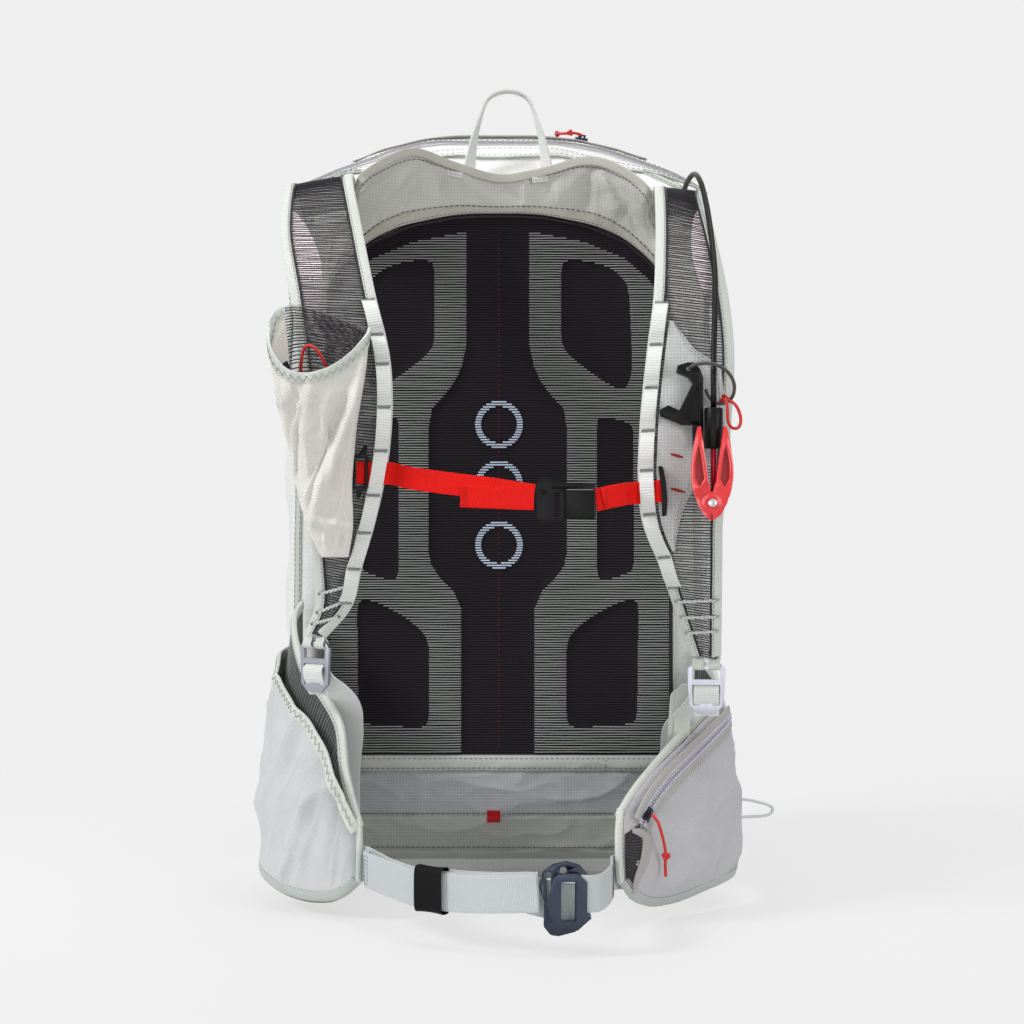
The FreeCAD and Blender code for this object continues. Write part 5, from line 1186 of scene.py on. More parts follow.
def panel_lines():
    """The red stitched line down the middle, and the dark piping round the panel."""
    dashes = Shape()
    centre = panel_surface(np.full(160, MIDDLE_X), np.linspace(103, 498, 160), 0.45)
    dashes.stitches(centre, 0.0009, 0.0029, 0.00036)
    piece("back_panel_centre_line", dashes, RED_THREAD, "spacer_mesh")
    piping = Shape()
    rim_z = np.concatenate([np.linspace(100, 430, 60), np.linspace(432, 505.4, 60)])
    rim_x = panel_half(rim_z)
    rim = np.concatenate([np.stack([-rim_x, rim_z], 1), np.stack([rim_x, rim_z], 1)[::-1]])
    line = np.stack([rim[:, 0], np.full(len(rim), PANEL_Y + 1.2), rim[:, 1]], axis=1) / 1000
    piping.tube(line, 0.0016, 8)
    piece("back_panel_piping", piping, NET_THREAD, "spacer_mesh")


def back_pad():
    """The foam behind the panel: rounded edges and a slight crown."""
    rim = np.minimum(panel_half(PANEL_Z) - np.abs(PANEL_X), PANEL_Z - PANEL_BOTTOM)
    depth = np.clip(rim / 4.0, 0, 1)
    curve = (1 - np.sqrt(1 - (1 - depth) ** 2)) * 3.0
    shape = Shape()
    shape.slab(panel_points(PAD_FRONT_Y + curve), panel_points(PAD_BACK_Y), PANEL_PLACES)
    made = piece("back_foam", shape, FOAM, "foam", stands_for=["back_foam_pad"])


back_panel()
back_pad()


# ---- Lumbar panel ----------------------------------------------------------------------------------

LUMBAR_HALF, LUMBAR_LOW, LUMBAR_HIGH = 148.0, 20.0, 98.4
LUMBAR_Y = -86.8
HEM_LOW = 87.6
LUMBAR_SEAMS = (86.6, 53.7, 28.0)


def lumbar_front(x, z, rise=0.0):
    """Points on the lumbar panel's front over places in millimetres."""
    rim = np.minimum(np.minimum(LUMBAR_HALF - np.abs(x), z - LUMBAR_LOW), LUMBAR_HIGH - z)
    y = LUMBAR_Y + 4.0 * (1 - np.clip(rim / 6.0, 0, 1)) ** 2
    for seam in LUMBAR_SEAMS:
        y = y + 1.3 * np.exp(-(((z - seam) / 1.6) ** 2))
    swell = np.sin(math.pi * np.clip((z - LUMBAR_LOW) / (LUMBAR_HIGH - LUMBAR_LOW), 0, 1))
    y = y - 1.6 * swell * (1 - (x / LUMBAR_HALF) ** 4)
    spots = np.stack([x, y, z], axis=-1) / 1000
    slack = wrinkles(spots, 0.026, 5, (1, 0, 0.25), 2.2) * np.clip(rim / 8, 0, 1)
    y = y - 0.5 * bumps(spots, 0.045, 3) - 2.0 * slack
    return np.stack([x, y - rise, z], axis=-1) / 1000


def lumbar():
    """The lumbar panel in two cloths, with its hem, its seams and its small red patch."""
    x, z = np.meshgrid(np.linspace(-LUMBAR_HALF, LUMBAR_HALF, 150),
                       np.linspace(LUMBAR_LOW, LUMBAR_HIGH, 90))
    front = lumbar_front(x, z)
    back = np.stack([x, np.full_like(x, PAD_BACK_Y), z], axis=-1) / 1000
    for first, last, name, finish in ((0, 39, "lumbar_lower", LUMBAR_LOWER),
                                      (38, 90, "lumbar_upper", LUMBAR_CLOTH)):
        shape = Shape()
        rows = slice(first, last)
        shape.slab(front[rows], back[rows], np.stack([x, z], axis=-1)[rows] / 1000)
        node = ["lumbar_panel"] if first else []
        made = piece(name, shape, finish, "ripstop_grey", stands_for=node)
    hem = Shape()
    x, z = np.meshgrid(np.linspace(-LUMBAR_HALF, LUMBAR_HALF, 120),
                       np.linspace(HEM_LOW, LUMBAR_HIGH + 0.3, 9))
    spots = lumbar_front(x, np.minimum(z, LUMBAR_HIGH - 0.3), 0.75)
    hem.sheet(spots, 0.0011, np.stack([x, z], axis=-1) / 1000)
    piece("lumbar_hem", hem, LUMBAR_HEM, "ripstop_grey")
    seams = Shape()
    x = np.linspace(-LUMBAR_HALF + 2, LUMBAR_HALF - 2, 150)
    for height, rise in ((HEM_LOW + 1.6, 1.5), (LUMBAR_HIGH - 2.4, 1.5), (54.9, 0.3), (29.4, 0.3)):
        seams.stitches(lumbar_front(x, np.full_like(x, height), rise), 0.0026, 0.0012, 0.0003)
    side = np.linspace(HEM_LOW + 1, LUMBAR_HIGH - 2, 12)
    seams.stitches(lumbar_front(np.full_like(side, 80.8), side, 1.5), 0.0022, 0.0008, 0.0003)
    piece("lumbar_seams", seams, DARK_THREAD, "ripstop_grey")
    patch = Shape()
    x, z = np.meshgrid(np.linspace(-8.8, 1.2, 9), np.linspace(48.6, 57.6, 9))
    patch.sheet(lumbar_front(x, z, 0.5), 0.0006, np.stack([x, z], axis=-1) / 1000)
    piece("lumbar_red_patch", patch, PATCH_RED, "webbing_red")


lumbar()


# ---- Shoulder yoke ---------------------------------------------------------------------------------

YOKE_HEM = [(-151, 430), (-141, 430), (-131.5, 431), (-129, 451), (-115, 471.5), (-97, 487), (-82, 495),
            (-66, 500), (-32, 506.5), (0, 507.5), (32, 506.5), (66, 500), (82, 495), (97, 487), (115, 471.5),
            (129, 451), (131.5, 431), (141, 430), (151, 430)]
# X, how far forwards, and the height at the front and at the back of the collar's edge.
YOKE_COLLAR = [(-151, 0, 488, 488), (-139, 0, 490, 489), (-127, 0, 493, 490), (-117, 2, 497, 491),
               (-107, 17, 506, 496), (-101.5, 55, 522, 506), (-84, 44, 538, 518), (-61.5, 31, 548, 525),
               (-32.5, 17, 540, 528), (0, 10, 532, 528), (31, 12, 536, 528), (67, 24, 543, 525),
               (92, 42, 532, 517), (109.5, 55, 514, 503), (113, 17, 503, 495), (120, 2, 495, 490),
               (128, 0, 492, 489), (140, 0, 490, 488), (151, 0, 488, 488)]
YOKE_FLAT_Y, YOKE_BACK_Y = -87.8, -74.3
# Creases over the yoke: X and Z of both ends, height and half width, all in millimetres.
YOKE_CREASES = [
    (-58, 541, -92, 507, 1.6, 3.2), (-60, 538, -76, 503, -1.5, 2.6), (-54, 540, -60, 508, 1.4, 2.8),
    (-64, 543, -100, 516, -1.5, 3.0), (-48, 538, -42, 514, -1.1, 2.8), (-90, 530, -104, 512, 1.5, 3.4),
    (-72, 536, -96, 498, -1.0, 2.4), (-30, 536, -8, 516, 0.9, 4.0), (-10, 530, 20, 515, -0.8, 4.0),
    (62, 538, 40, 512, 1.2, 3.6), (68, 540, 66, 508, -1.7, 3.4), (74, 538, 92, 500, 1.7, 4.4),
    (80, 534, 108, 492, -1.9, 4.2), (60, 536, 52, 506, 1.0, 3.0), (96, 524, 118, 482, 1.3, 4.0),
    (-104, 505, -122, 468, 1.2, 4.0), (-100, 500, -112, 478, -1.2, 3.4), (100, 512, 86, 496, -1.1, 3.6),
]


def yoke_grid(rows, columns):
    """Front and back points over the yoke from its hem to its collar."""
    stations = np.linspace(0, 18, columns)

    def along(values):
        slope = np.gradient(values)
        k = np.clip(stations.astype(int), 0, 17)
        t = stations - k
        return hermite(t, values[k], values[k + 1], slope[k], slope[k + 1])

    hem_x, hem_z = (along(values)[None] for values in np.array(YOKE_HEM, float).T)
    top_x, forwards, top_z, back_top_z = (along(values)[None] for values in np.array(YOKE_COLLAR, float).T)
    t = np.linspace(0, 1, rows)[:, None]
    x = hem_x * (1 - t) + top_x * t
    y = YOKE_FLAT_Y - np.maximum(forwards, 0) * t**1.6
    z = hem_z * (1 - t) + top_z * t
    back_z = hem_z * (1 - t) + back_top_z * t
    return np.stack([x, y, z], -1) / 1000, np.stack([x, np.full_like(x, YOKE_BACK_Y), back_z], -1) / 1000


def yoke():
    """The creased cloth over both shoulders, and what is sewn on it."""
    rows, columns = 46, 190
    front, back = yoke_grid(rows, columns)
    t = np.linspace(0, 1, rows)[:, None]
    edge = np.sin(math.pi * np.clip(t, 0.02, 0.98)) ** 0.5
    lifted = 1.7 * folds(front, YOKE_CREASES) + 0.0013 * bumps(front, 0.03, 8)
    lifted = lifted + 0.0006 * bumps(front, 0.014, 9)
    lifted = lifted + 0.0038 * wrinkles(front, 0.024, 91, (0.5, 0, 1), 1.8)
    swell = 0.0022 * np.sin(math.pi * t)
    front[..., 1] -= (lifted * edge + swell)
    places = np.stack([front[..., 0], front[..., 2]], axis=-1)
    shape = Shape()
    shape.slab(front, back, places)
    made = piece("yoke_cloth", shape, YOKE_CLOTH, "ripstop_grey", stands_for=["shoulder_yoke"])
    yoke_trim(front, facing(front, (0, -1, 0.4)))


def yoke_trim(front, out):
    """The yoke's hem, collar binding, seams and two small tabs."""
    hem = Shape()
    low, high = front[0] + out[0] * 0.0006, front[7] + out[7] * 0.0006
    steps = np.linspace(-0.05, 1, 8)[:, None, None]
    band = low[None] * (1 - steps) + high[None] * steps
    hem.sheet(band[:, 4:-4], 0.0012)
    piece("yoke_hem", hem, HEM_CLOTH, "ripstop_grey")
    collar = Shape()
    top, lean = front[-1, 12:-12] * 0.93 + front[-5, 12:-12] * 0.07, out[-1, 12:-12]
    collar.sweep(top + lean * 0.0010, lean * 0.1 + (0, 0, 1), 0.0062, 0.0020, 6.0, 14)
    piece("yoke_collar_binding", collar, HEM_CLOTH, "webbing_white")
    seams = Shape()
    seams.stitches(front[8, 4:-4] + out[8, 4:-4] * 0.0007, 0.003, 0.0012, 0.00035)
    seams.stitches(front[1, 6:-6] + out[1, 6:-6] * 0.0014, 0.0022, 0.001, 0.00025)
    seams.stitches(front[-6, 14:-14] + out[-6, 14:-14] * 0.0006, 0.0026, 0.0011, 0.0003)
    piece("yoke_seams", seams, DARK_THREAD, "ripstop_grey")
    yoke_tabs(front, out)


def yoke_tabs(front, out):
    """Two small white tabs under the collar, each with one row of stitches."""
    tabs, tacks = Shape(), Shape()
    for x, tilt in ((-32.5, -0.22), (32.0, 0.14)):
        j = int(np.argmin(np.abs(front[-1, :, 0] * 1000 - x)))
        centre = front[-9, j] + out[-9, j] * 0.0014
        way = np.array([math.cos(tilt), 0.0, math.sin(tilt)])
        run = np.linspace(-0.0058, 0.0058, 9)[:, None]
        tabs.sweep(centre + way * run, np.cross(way, out[-9, j]), 0.0046, 0.0013, 4.0, 12)
        tacks.stitches(centre + way * run * 0.8 + out[-9, j] * 0.0009, 0.0016, 0.0009, 0.00026)
    piece("yoke_tabs", tabs, WHITE_WEBBING, "webbing_white")
    piece("yoke_tab_stitches", tacks, GREY_THREAD, "webbing_white")


yoke()


# ---- Flask pocket ----------------------------------------------------------------------------------

# Left x, right x, back y, front y, back z, front z of the pocket from its bottom to its rim.
FLASK_LEVELS = mm([(-117, -100, -246, -251, 252, 252), (-126.5, -96.8, -247.5, -258, 274, 272),
                   (-134, -96.8, -250, -266, 306, 300), (-141, -93.5, -250, -273, 345, 332),
                   (-147, -87.5, -249, -280, 390, 356), (-150.5, -84.5, -247, -283, 416, 376)])
FLASK_COLUMNS, FLASK_ROWS = 120, 90
FLASK_BACK_START, FLASK_BACK_END = 3, 46
FLASK_CREASES = [
    (-84, 386, -122, 277, 4.4, 4.2), (-92, 372, -124, 300, -2.4, 4.0), (-122, 277, -94, 270, 1.8, 3.0),
    (-108, 340, -100, 284, -2.0, 5.0), (-136, 372, -140, 330, 1.6, 5.0), (-128, 376, -134, 306, -1.5, 4.6),
    (-118, 380, -130, 322, 1.3, 5.0), (-96, 366, -92, 318, 1.2, 4.0), (-106, 268, -109, 252, 1.5, 2.2),
    (-99, 268, -103, 252, 1.5, 2.0), (-113, 270, -114, 253, 1.1, 2.0), (-102, 268, -106, 253, -1.2, 1.8),
    (-140, 350, -148, 366, 1.4, 4.0), (-131, 300, -138, 330, -1.0, 4.0),
]


def flask_rings():
    """Rings round the flask pocket before its folds, from the bottom up."""
    share = np.linspace(0, 1, FLASK_ROWS) * (len(FLASK_LEVELS) - 1)
    k = np.clip(share.astype(int), 0, len(FLASK_LEVELS) - 2)
    t = (share - k)[:, None]
    slope = np.gradient(FLASK_LEVELS, axis=0)
    levels = hermite(t, FLASK_LEVELS[k], FLASK_LEVELS[k + 1], slope[k], slope[k + 1])
    left, right, back, front, back_z, front_z = (levels[:, i, None] for i in range(6))
    angle = circle(FLASK_COLUMNS)[None]
    x = (left + right) / 2 + (right - left) / 2 * np.cos(angle)
    y = (back + front) / 2 + (back - front) / 2 * signed_power(np.sin(angle), 0.7)
    z = front_z + (back_z - front_z) * (1 + np.sin(angle)) / 2
    return np.stack(np.broadcast_arrays(x, y, z), axis=-1)


FLASK_BACK_HAZE = see_through("flask_back_haze", (120, 116, 118), 0.16)


def flask_skin():
    """The flask pocket's rings with their folds and the droop of the rim."""
    outer = flask_rings()
    front = np.clip((np.mean(outer[..., 1], axis=1, keepdims=True) - outer[..., 1]) / 0.008 + 0.35, 0, 1)
    height = np.linspace(0, 1, FLASK_ROWS)[:, None]
    hold = np.clip(height * 8, 0, 1) * (1 - 0.6 * np.clip((height - 0.86) / 0.14, 0, 1))
    lifted = 1.6 * folds(outer, FLASK_CREASES) * front * hold
    lifted = lifted + 0.0024 * wrinkles(outer, 0.018, 14, (0.25, 0, 1), 3.0) * hold
    away = np.zeros_like(outer)
    away[..., 1] = -lifted
    away[..., 0] = lifted * 0.3 * np.sign(outer[..., 0] + 0.112)
    angle = circle(FLASK_COLUMNS)[None]
    droop = np.clip((height - 0.5) * 2, 0, 1) ** 2
    tilt = 0.004 * np.cos(angle) * (np.sin(angle) < 0.3) - 0.003 * np.cos(2 * (angle - 4.4))
    away[..., 2] = droop * tilt
    away[..., 2] += droop * 0.008 * np.clip(np.sin(angle - 0.9), 0, 1) ** 2
    return outer + away


def flask_pocket():
    """The open stretch pocket on the left strap: wall, net behind, bound rim, seams and tab."""
    outer = flask_skin()
    places = np.stack([outer[..., 0] * 1.2 + outer[..., 1] * 0.8, outer[..., 2]], axis=-1)
    shape = Shape()
    wall = np.arange(FLASK_BACK_END, FLASK_COLUMNS + FLASK_BACK_START + 1) % FLASK_COLUMNS
    shape.sheet(outer[:, wall], 0.0011, places[:, wall])
    piece("flask_pocket_cloth", shape, FLASK_CLOTH, "stretch_mesh", stands_for=["left_flask_pocket"])
    hidden = outer[:, FLASK_BACK_START : FLASK_BACK_END + 1]
    sheet_piece("flask_pocket_back_net", hidden, 0.0004, FLASK_BACK_HAZE)
    net_piece("flask_pocket_back_threads", hidden, 0.0021, 1.6, 0.0004, 15)
    rim, below = outer[-1, wall], outer[-7, wall]
    way = unit(rim - below)
    out = unit(np.cross(np.gradient(rim, axis=0), way))
    band_piece("flask_pocket_rim", rim - way * 0.0036, way, (0.0078, 0.0022), 5.0, 14, BINDING)
    seams = Shape()
    for side in (1, -1):
        seams.zigzag(rim - way * 0.0040 + out * side * 0.0014, way, 0.0040, 0.0052, 0.00024)
    piece("flask_pocket_rim_stitches", seams, RIM_THREAD, "webbing_white")
    ridge = Shape()
    j = int(FLASK_COLUMNS * 0.75)
    for column in (j - 26, j + 27):
        line = outer[4:-8:3, column]
        ridge.stitches(line + (0, -0.0004, 0), 0.0024, 0.0010, 0.00024)
    piece("flask_pocket_seams", ridge, PALE_THREAD, "stretch_mesh")
    line = between((-0.1402, -0.2772, 0.3790), (-0.1335, -0.2800, 0.3650), 9)
    band_piece("flask_pocket_tab", line, (0.86, -0.42, 0.30), (0.0082, 0.0016), 4.0, 12, KEEPER_CLOTH,
               "elastic_black")


flask_pocket()


# ---- Trigger panel ---------------------------------------------------------------------------------

# Heights, and how far the panel reaches from the strap's inner edge there, in millimetres.
TRIGGER_PANEL = [(410, 14.0), (390, 31.0), (378, 50.0), (355, 55.0), (330, 56.5), (303, 42.0), (289, 32.0),
                 (256, 14.0)]
TRIGGER_PANEL_INSET = 12.0


def trigger_panel():
    """The cloth panel behind the trigger on the right strap, with its seams and two red slits."""
    rise = 0.0029
    rows, columns = 90, 26
    heights = np.linspace(TRIGGER_PANEL[0][0], TRIGGER_PANEL[-1][0], rows)
    reaches = np.interp(-heights, [-h for h, _ in TRIGGER_PANEL], [r for _, r in TRIGGER_PANEL])
    grid = []
    for height, far in zip(heights, reaches):
        insets = np.linspace(TRIGGER_PANEL_INSET, max(far, TRIGGER_PANEL_INSET + 0.6), columns) / 1000
        grid.append([strap_spot(RIGHT_STRAP, height, inset, rise)[0] for inset in insets])
    grid = np.array(grid)
    grid[..., 1] -= 0.0005 * bumps(grid, 0.02, 41) + 0.0003
    shape = Shape()
    places = np.stack([grid[..., 0], grid[..., 2]], axis=-1)
    shape.sheet(grid, 0.0012, places)
    piece("trigger_panel_cloth", shape, TRIGGER_CLOTH, "ripstop_grey", stands_for=["trigger_panel"])
    out = facing(grid, (0, -1, 0.2))
    seams = Shape()
    seams.stitches(grid[1:-1, -3] + out[1:-1, -3] * 0.0008, 0.0022, 0.001, 0.00024)
    seams.stitches(grid[2:-2, -6] + out[2:-2, -6] * 0.0008, 0.0022, 0.001, 0.0002)
    piece("trigger_panel_seams", seams, GREY_THREAD, "ripstop_grey")
    slits = Shape()
    for first, last in (((319.5, 20.0), (316.5, 29.5)), ((296.5, 20.5), (293.0, 30.0))):
        ends = [strap_spot(RIGHT_STRAP, h, r / 1000, rise + 0.0009)[0] for h, r in (first, last)]
        slits.tube(between(*ends, 8), 0.0011 * np.sin(math.pi * np.linspace(0.1, 0.9, 8)), 6)
    piece("trigger_panel_slits", slits, RED_THREAD, "webbing_red")


trigger_panel()


# ---- Hip wings and pockets -------------------------------------------------------------------------

# Points along and up a wing; each wing is given by its lower, middle and upper line.
WING_LENGTH, WING_HEIGHT = 96, 44
POCKET_SEAM = 0.0027
LEFT_WING = [spline(mm(points), 401) for points in (
    [(-149.8, -76.5, 28), (-166, -112, 24), (-168, -148, 19), (-148, -177, 11), (-127, -191, 9),
     (-112, -200, 12), (-103, -206, 18), (-95.5, -211, 27)],
    [(-149.8, -76.5, 110), (-161.5, -112, 108), (-160, -145, 100), (-144, -173, 88), (-128, -188, 78),
     (-114, -200, 70), (-104, -207, 58), (-94.5, -212, 48)],
    [(-149.8, -76.5, 214), (-151, -110, 205), (-146, -140, 188), (-135.5, -164, 169), (-122, -180, 155),
     (-109.5, -194, 136), (-105, -203, 105), (-96, -211, 68)])]
RIGHT_WING = [spline(mm(points), 401) for points in (
    [(149.8, -76.5, 28), (166, -112, 22), (167, -148, 18), (144, -173, 13), (118, -197, 9),
     (104, -209, 10), (92, -221, 17), (83, -232, 32)],
    [(149.8, -76.5, 100), (162, -108, 96), (161, -140, 88), (145, -168, 78), (124, -192, 70),
     (107, -208, 64), (92, -223, 58), (80.5, -235, 54)],
    [(149.8, -76.5, 178), (161, -100, 163), (158, -132, 149), (139, -162, 134), (122, -184, 120),
     (108, -199, 107), (92, -217, 90), (83.5, -227, 77)])]
LEFT_POCKET = dict(start=0.12, end=0.985, foot=0.015, head=0.87, swell=0.009, is_open=True)
RIGHT_POCKET = dict(start=0.08, end=0.98, foot=0.015, head=0.94, swell=0.0095, is_open=False)
# Shares of the right pocket's length and height.
HIP_ZIP_LINE = [(0.93, 0.70), (0.87, 0.80), (0.76, 0.86), (0.6, 0.89), (0.42, 0.9), (0.25, 0.9)]


def wing_point(wing, u, t):
    """Points at shares u of the wing's length and t of its height."""
    u, t = np.broadcast_arrays(np.asarray(u, float), np.asarray(t, float))
    place = np.clip(u, 0, 1) * 400
    k = np.clip(place.astype(int), 0, 399)
    r = (place - k)[..., None]
    low, middle, high = (curve[k] * (1 - r) + curve[k + 1] * r for curve in wing)
    t = t[..., None]
    return low * ((1 - t) * (1 - 2 * t)) + middle * (4 * t * (1 - t)) + high * (t * (2 * t - 1))


def wing_spot(wing, u, t, rise):
    """Points that stand off the wing's outer side, and the way outwards there."""
    up = wing_point(wing, u, np.asarray(t) + 0.05) - wing_point(wing, u, np.asarray(t) - 0.05)
    along = wing_point(wing, np.asarray(u) + 0.04, t) - wing_point(wing, np.asarray(u) - 0.04, t)
    out = unit(np.cross(along, up))
    here = wing_point(wing, u, t)
    out = out * np.where(out[..., :1] * here[..., :1] < 0, -1.0, 1.0)
    return here + out * np.asarray(rise)[..., None], out


def pocket_spot(wing, pocket, u, t, rise=0.0):
    """Points on a hip pocket's cloth at shares of its own length and height, and the way outwards."""
    u, t = np.broadcast_arrays(np.asarray(u, float), np.asarray(t, float))
    swell = pocket["swell"] * np.sin(math.pi * np.clip(u, 0, 1)) ** 0.6
    climb = np.clip(t, 0, 1)
    if pocket["is_open"]:
        swell = swell * np.sin(math.pi * climb / 2) ** 0.8
    else:
        swell = swell * np.sin(math.pi * climb) ** 0.7
    wing_u = pocket["start"] + (pocket["end"] - pocket["start"]) * u
    wing_t = pocket["foot"] + (pocket["head"] - pocket["foot"]) * t
    return wing_spot(wing, wing_u, wing_t, POCKET_SEAM + swell + rise)


def grid_shares(columns, rows, low_u=0.0, high_u=1.0, low_t=0.0, high_t=1.0):
    """Shares of a length and of a height, for each point of a grid."""
    return np.meshgrid(np.linspace(low_u, high_u, columns), np.linspace(low_t, high_t, rows), indexing="ij")


LEFT_POCKET_CREASES = [
    (-131, 176, -152, 120, 2.0, 5.0), (-126, 160, -150, 92, -1.9, 5.0), (-121, 148, -146, 66, 2.0, 5.5),
    (-117, 132, -132, 40, -1.8, 5.0), (-112, 118, -121, 36, 1.7, 4.4), (-107, 100, -112, 40, -1.4, 4.0),
    (-138, 182, -158, 142, -1.4, 5.0), (-150, 100, -160, 50, 1.2, 6.0), (-124, 108, -142, 30, 1.0, 5.0),
]
RIGHT_POCKET_CREASES = [
    (100, 86, 126, 58, 1.4, 5.0), (98, 72, 118, 36, -1.2, 4.4), (112, 92, 148, 60, -1.4, 5.4),
    (128, 106, 152, 84, 1.3, 5.4), (118, 66, 146, 30, 1.3, 6.0), (134, 58, 154, 40, -1.1, 5.0),
    (104, 48, 116, 22, 1.2, 4.0), (92, 60, 100, 26, 1.2, 3.6), (140, 124, 152, 100, -1.1, 4.6),
]


def pocket_grid(wing, pocket, creases, seed, way):
    """A hip pocket's creased cloth, and the way outwards; creases die out at seams and at the zip."""
    u, t = grid_shares(WING_LENGTH, WING_HEIGHT)
    grid, out = pocket_spot(wing, pocket, u, t)
    hold = np.clip(np.minimum(np.minimum(u, 1 - u) * 9, t * 9), 0, 1)
    if pocket["is_open"]:
        hold = hold * (1 - 0.55 * np.clip((t - 0.8) / 0.2, 0, 1))
    else:
        zip_u, zip_t = np.array(HIP_ZIP_LINE).T
        zip_t = np.interp(-u, -zip_u, zip_t)
        hold = hold * np.clip(np.abs(t - zip_t) * 6 - 0.35, 0, 1)
    lifted = folds(grid, creases) + 0.0040 * wrinkles(grid, 0.030, seed, way, 3.4)
    lifted = lifted + 0.0006 * bumps(grid, 0.014, seed)
    lifted = np.maximum(lifted, -0.0025)
    return grid + out * (lifted * hold)[..., None], out


def edge_band(shape, grid, out, way, width, thickness, inset=0.0, rise=0.0):
    """A binding tape along one edge of a grid."""
    line = grid + way * inset + out * rise
    shape.sweep(line, way, width, thickness, 3.4, 14)


def wing_pieces(side, wing, pocket, creases, way, cloth, seed):
    """One hip wing with its pocket; gives the pocket's grid and the way outwards on it."""
    u, t = grid_shares(WING_LENGTH, WING_HEIGHT)
    base, out = wing_spot(wing, u, t, 0.0)
    sheet_piece(f"{side}_wing_net", base, 0.0022, WING_NET, stands_for=[f"{side}_hip_wing"])
    threads = Shape()
    net_threads(threads, base - out * 0.0014, 0.0026, 5.0, 0.00034, seed)
    net_threads(threads, base + out * 0.0014, 0.0026, -5.0, 0.00034, seed + 3)
    piece(f"{side}_wing_net_threads", threads, GREY_THREAD, "stretch_mesh")
    edges = Shape()
    up = unit(base[:, -1] - base[:, -3])
    edge_band(edges, base[:, -1], out[:, -1], -up, 0.0074, 0.0040, 0.0030)
    front = unit(base[-1] - base[-4])
    edge_band(edges, base[-1, 1:], out[-1, 1:], -front[1:], 0.0074, 0.0046, 0.0030, 0.0006)
    piece(f"{side}_wing_bindings", edges, BINDING, "webbing_white")
    grid, away = pocket_grid(wing, pocket, creases, seed + 7, way)
    sheet_piece(f"{side}_hip_pocket_cloth", grid, 0.0012, cloth, stands_for=[f"{side}_hip_pocket"])
    hem = Shape()
    low = grid[:, 0]
    lift = unit(grid[:, 3] - grid[:, 0])
    edge_band(hem, low, away[:, 0], lift, 0.0086, 0.0046, 0.0030, -0.0008)
    back = unit(grid[3] - grid[0])
    edge_band(hem, grid[0, 1:], away[0, 1:], back[1:], 0.0060, 0.0042, 0.0020, -0.0008)
    piece(f"{side}_hip_pocket_hem", hem, WING_HEM, "webbing_white")
    seams = Shape()
    seams.stitches(low + lift * 0.0060 + away[:, 0] * 0.0011, 0.0024, 0.001, 0.00026)
    seams.stitches(base[2:, -1] - up[2:] * 0.0040 + out[2:, -1] * 0.0023, 0.0022, 0.001, 0.00024)
    seams.stitches(base[-1, 1:] - front[1:] * 0.0036 + out[-1, 1:] * 0.0032, 0.0022, 0.001, 0.00024)
    seams.stitches(base[-1, 1:] - front[1:] * 0.0030 - out[-1, 1:] * 0.0020, 0.0022, 0.001, 0.00024)
    piece(f"{side}_wing_seams", seams, GREY_THREAD, "webbing_white")
    return grid, away


def wings():
    """Both hip wings, the bound rim of the left pocket, and the zip and flap of the right one."""
    grid, away = wing_pieces("left", LEFT_WING, LEFT_POCKET, LEFT_POCKET_CREASES, (-0.42, -0.1, -0.9),
                             WING_LEFT_CLOTH, 51)
    rim, stitches = Shape(), Shape()
    up = unit(grid[:, -1] - grid[:, -4])
    edge_band(rim, grid[:, -1], away[:, -1], -up, 0.0080, 0.0026, 0.0030, 0.0002)
    piece("left_hip_pocket_rim", rim, BINDING, "webbing_white")
    line = grid[:, -1] - up * 0.0026 + away[:, -1] * 0.0019
    stitches.zigzag(line, up, 0.0044, 0.0056, 0.00024)
    piece("left_hip_pocket_rim_stitches", stitches, RIM_THREAD, "webbing_white")
    wing_pieces("right", RIGHT_WING, RIGHT_POCKET, RIGHT_POCKET_CREASES, (0.75, 0.3, 0.55),
                WING_RIGHT_CLOTH, 61)
    hip_zip()
    flap()


def hip_zip():
    """The coil zip along the top of the right hip pocket."""
    shares = spline([(u, t, 0.0) for u, t in HIP_ZIP_LINE], 90)
    here, out = pocket_spot(RIGHT_WING, RIGHT_POCKET, shares[:, 0], shares[:, 1], 0.0040)
    along = unit(np.gradient(here, axis=0))
    across = unit(np.cross(along, out))
    tapes = Shape()
    for side in (-1, 1):
        tapes.sweep(here + across * side * 0.0052 - out * 0.0006, across, 0.0062, 0.0022, 4.0, 12)
    piece("hip_zip_tapes", tapes, ZIP_TAPE, "zip")
    zip_coil("hip_zip_coil", here + out * 0.0002, across, 0.0056, ZIP_COIL)
    seams = Shape()
    for side in (-1, 1):
        seams.stitches(here + across * side * 0.0068 + out * 0.0007, 0.002, 0.001, 0.00022)
    piece("hip_zip_seams", seams, PALE_THREAD, "zip")


def zip_coil(name, line, across, width, finish):
    """A closed coil zip: two rows of teeth that mesh along a line."""
    coil = Shape()
    total = reach(line)[-1]
    count = int(total / 0.0011)
    spots = even(line, count)
    sides = unit(even_like(across, line, count))
    ups = unit(np.cross(np.gradient(spots, axis=0), sides))
    arc = np.linspace(0, math.pi, 6)
    for k in range(count):
        side = 1 if k % 2 else -1
        tooth = spots[k] + sides[k] * (side * width / 2 * (0.14 + 0.86 * np.sin(arc / 2))[:, None])
        tooth = tooth + ups[k] * (0.0007 * np.cos(arc * 0.9))[:, None] * -1
        coil.tube(tooth, 0.00046, 4)
    for side in (-1, 1):
        coil.tube(spots + sides * side * width * 0.46, 0.0004, 5)
    piece(name, coil, finish, "zip")


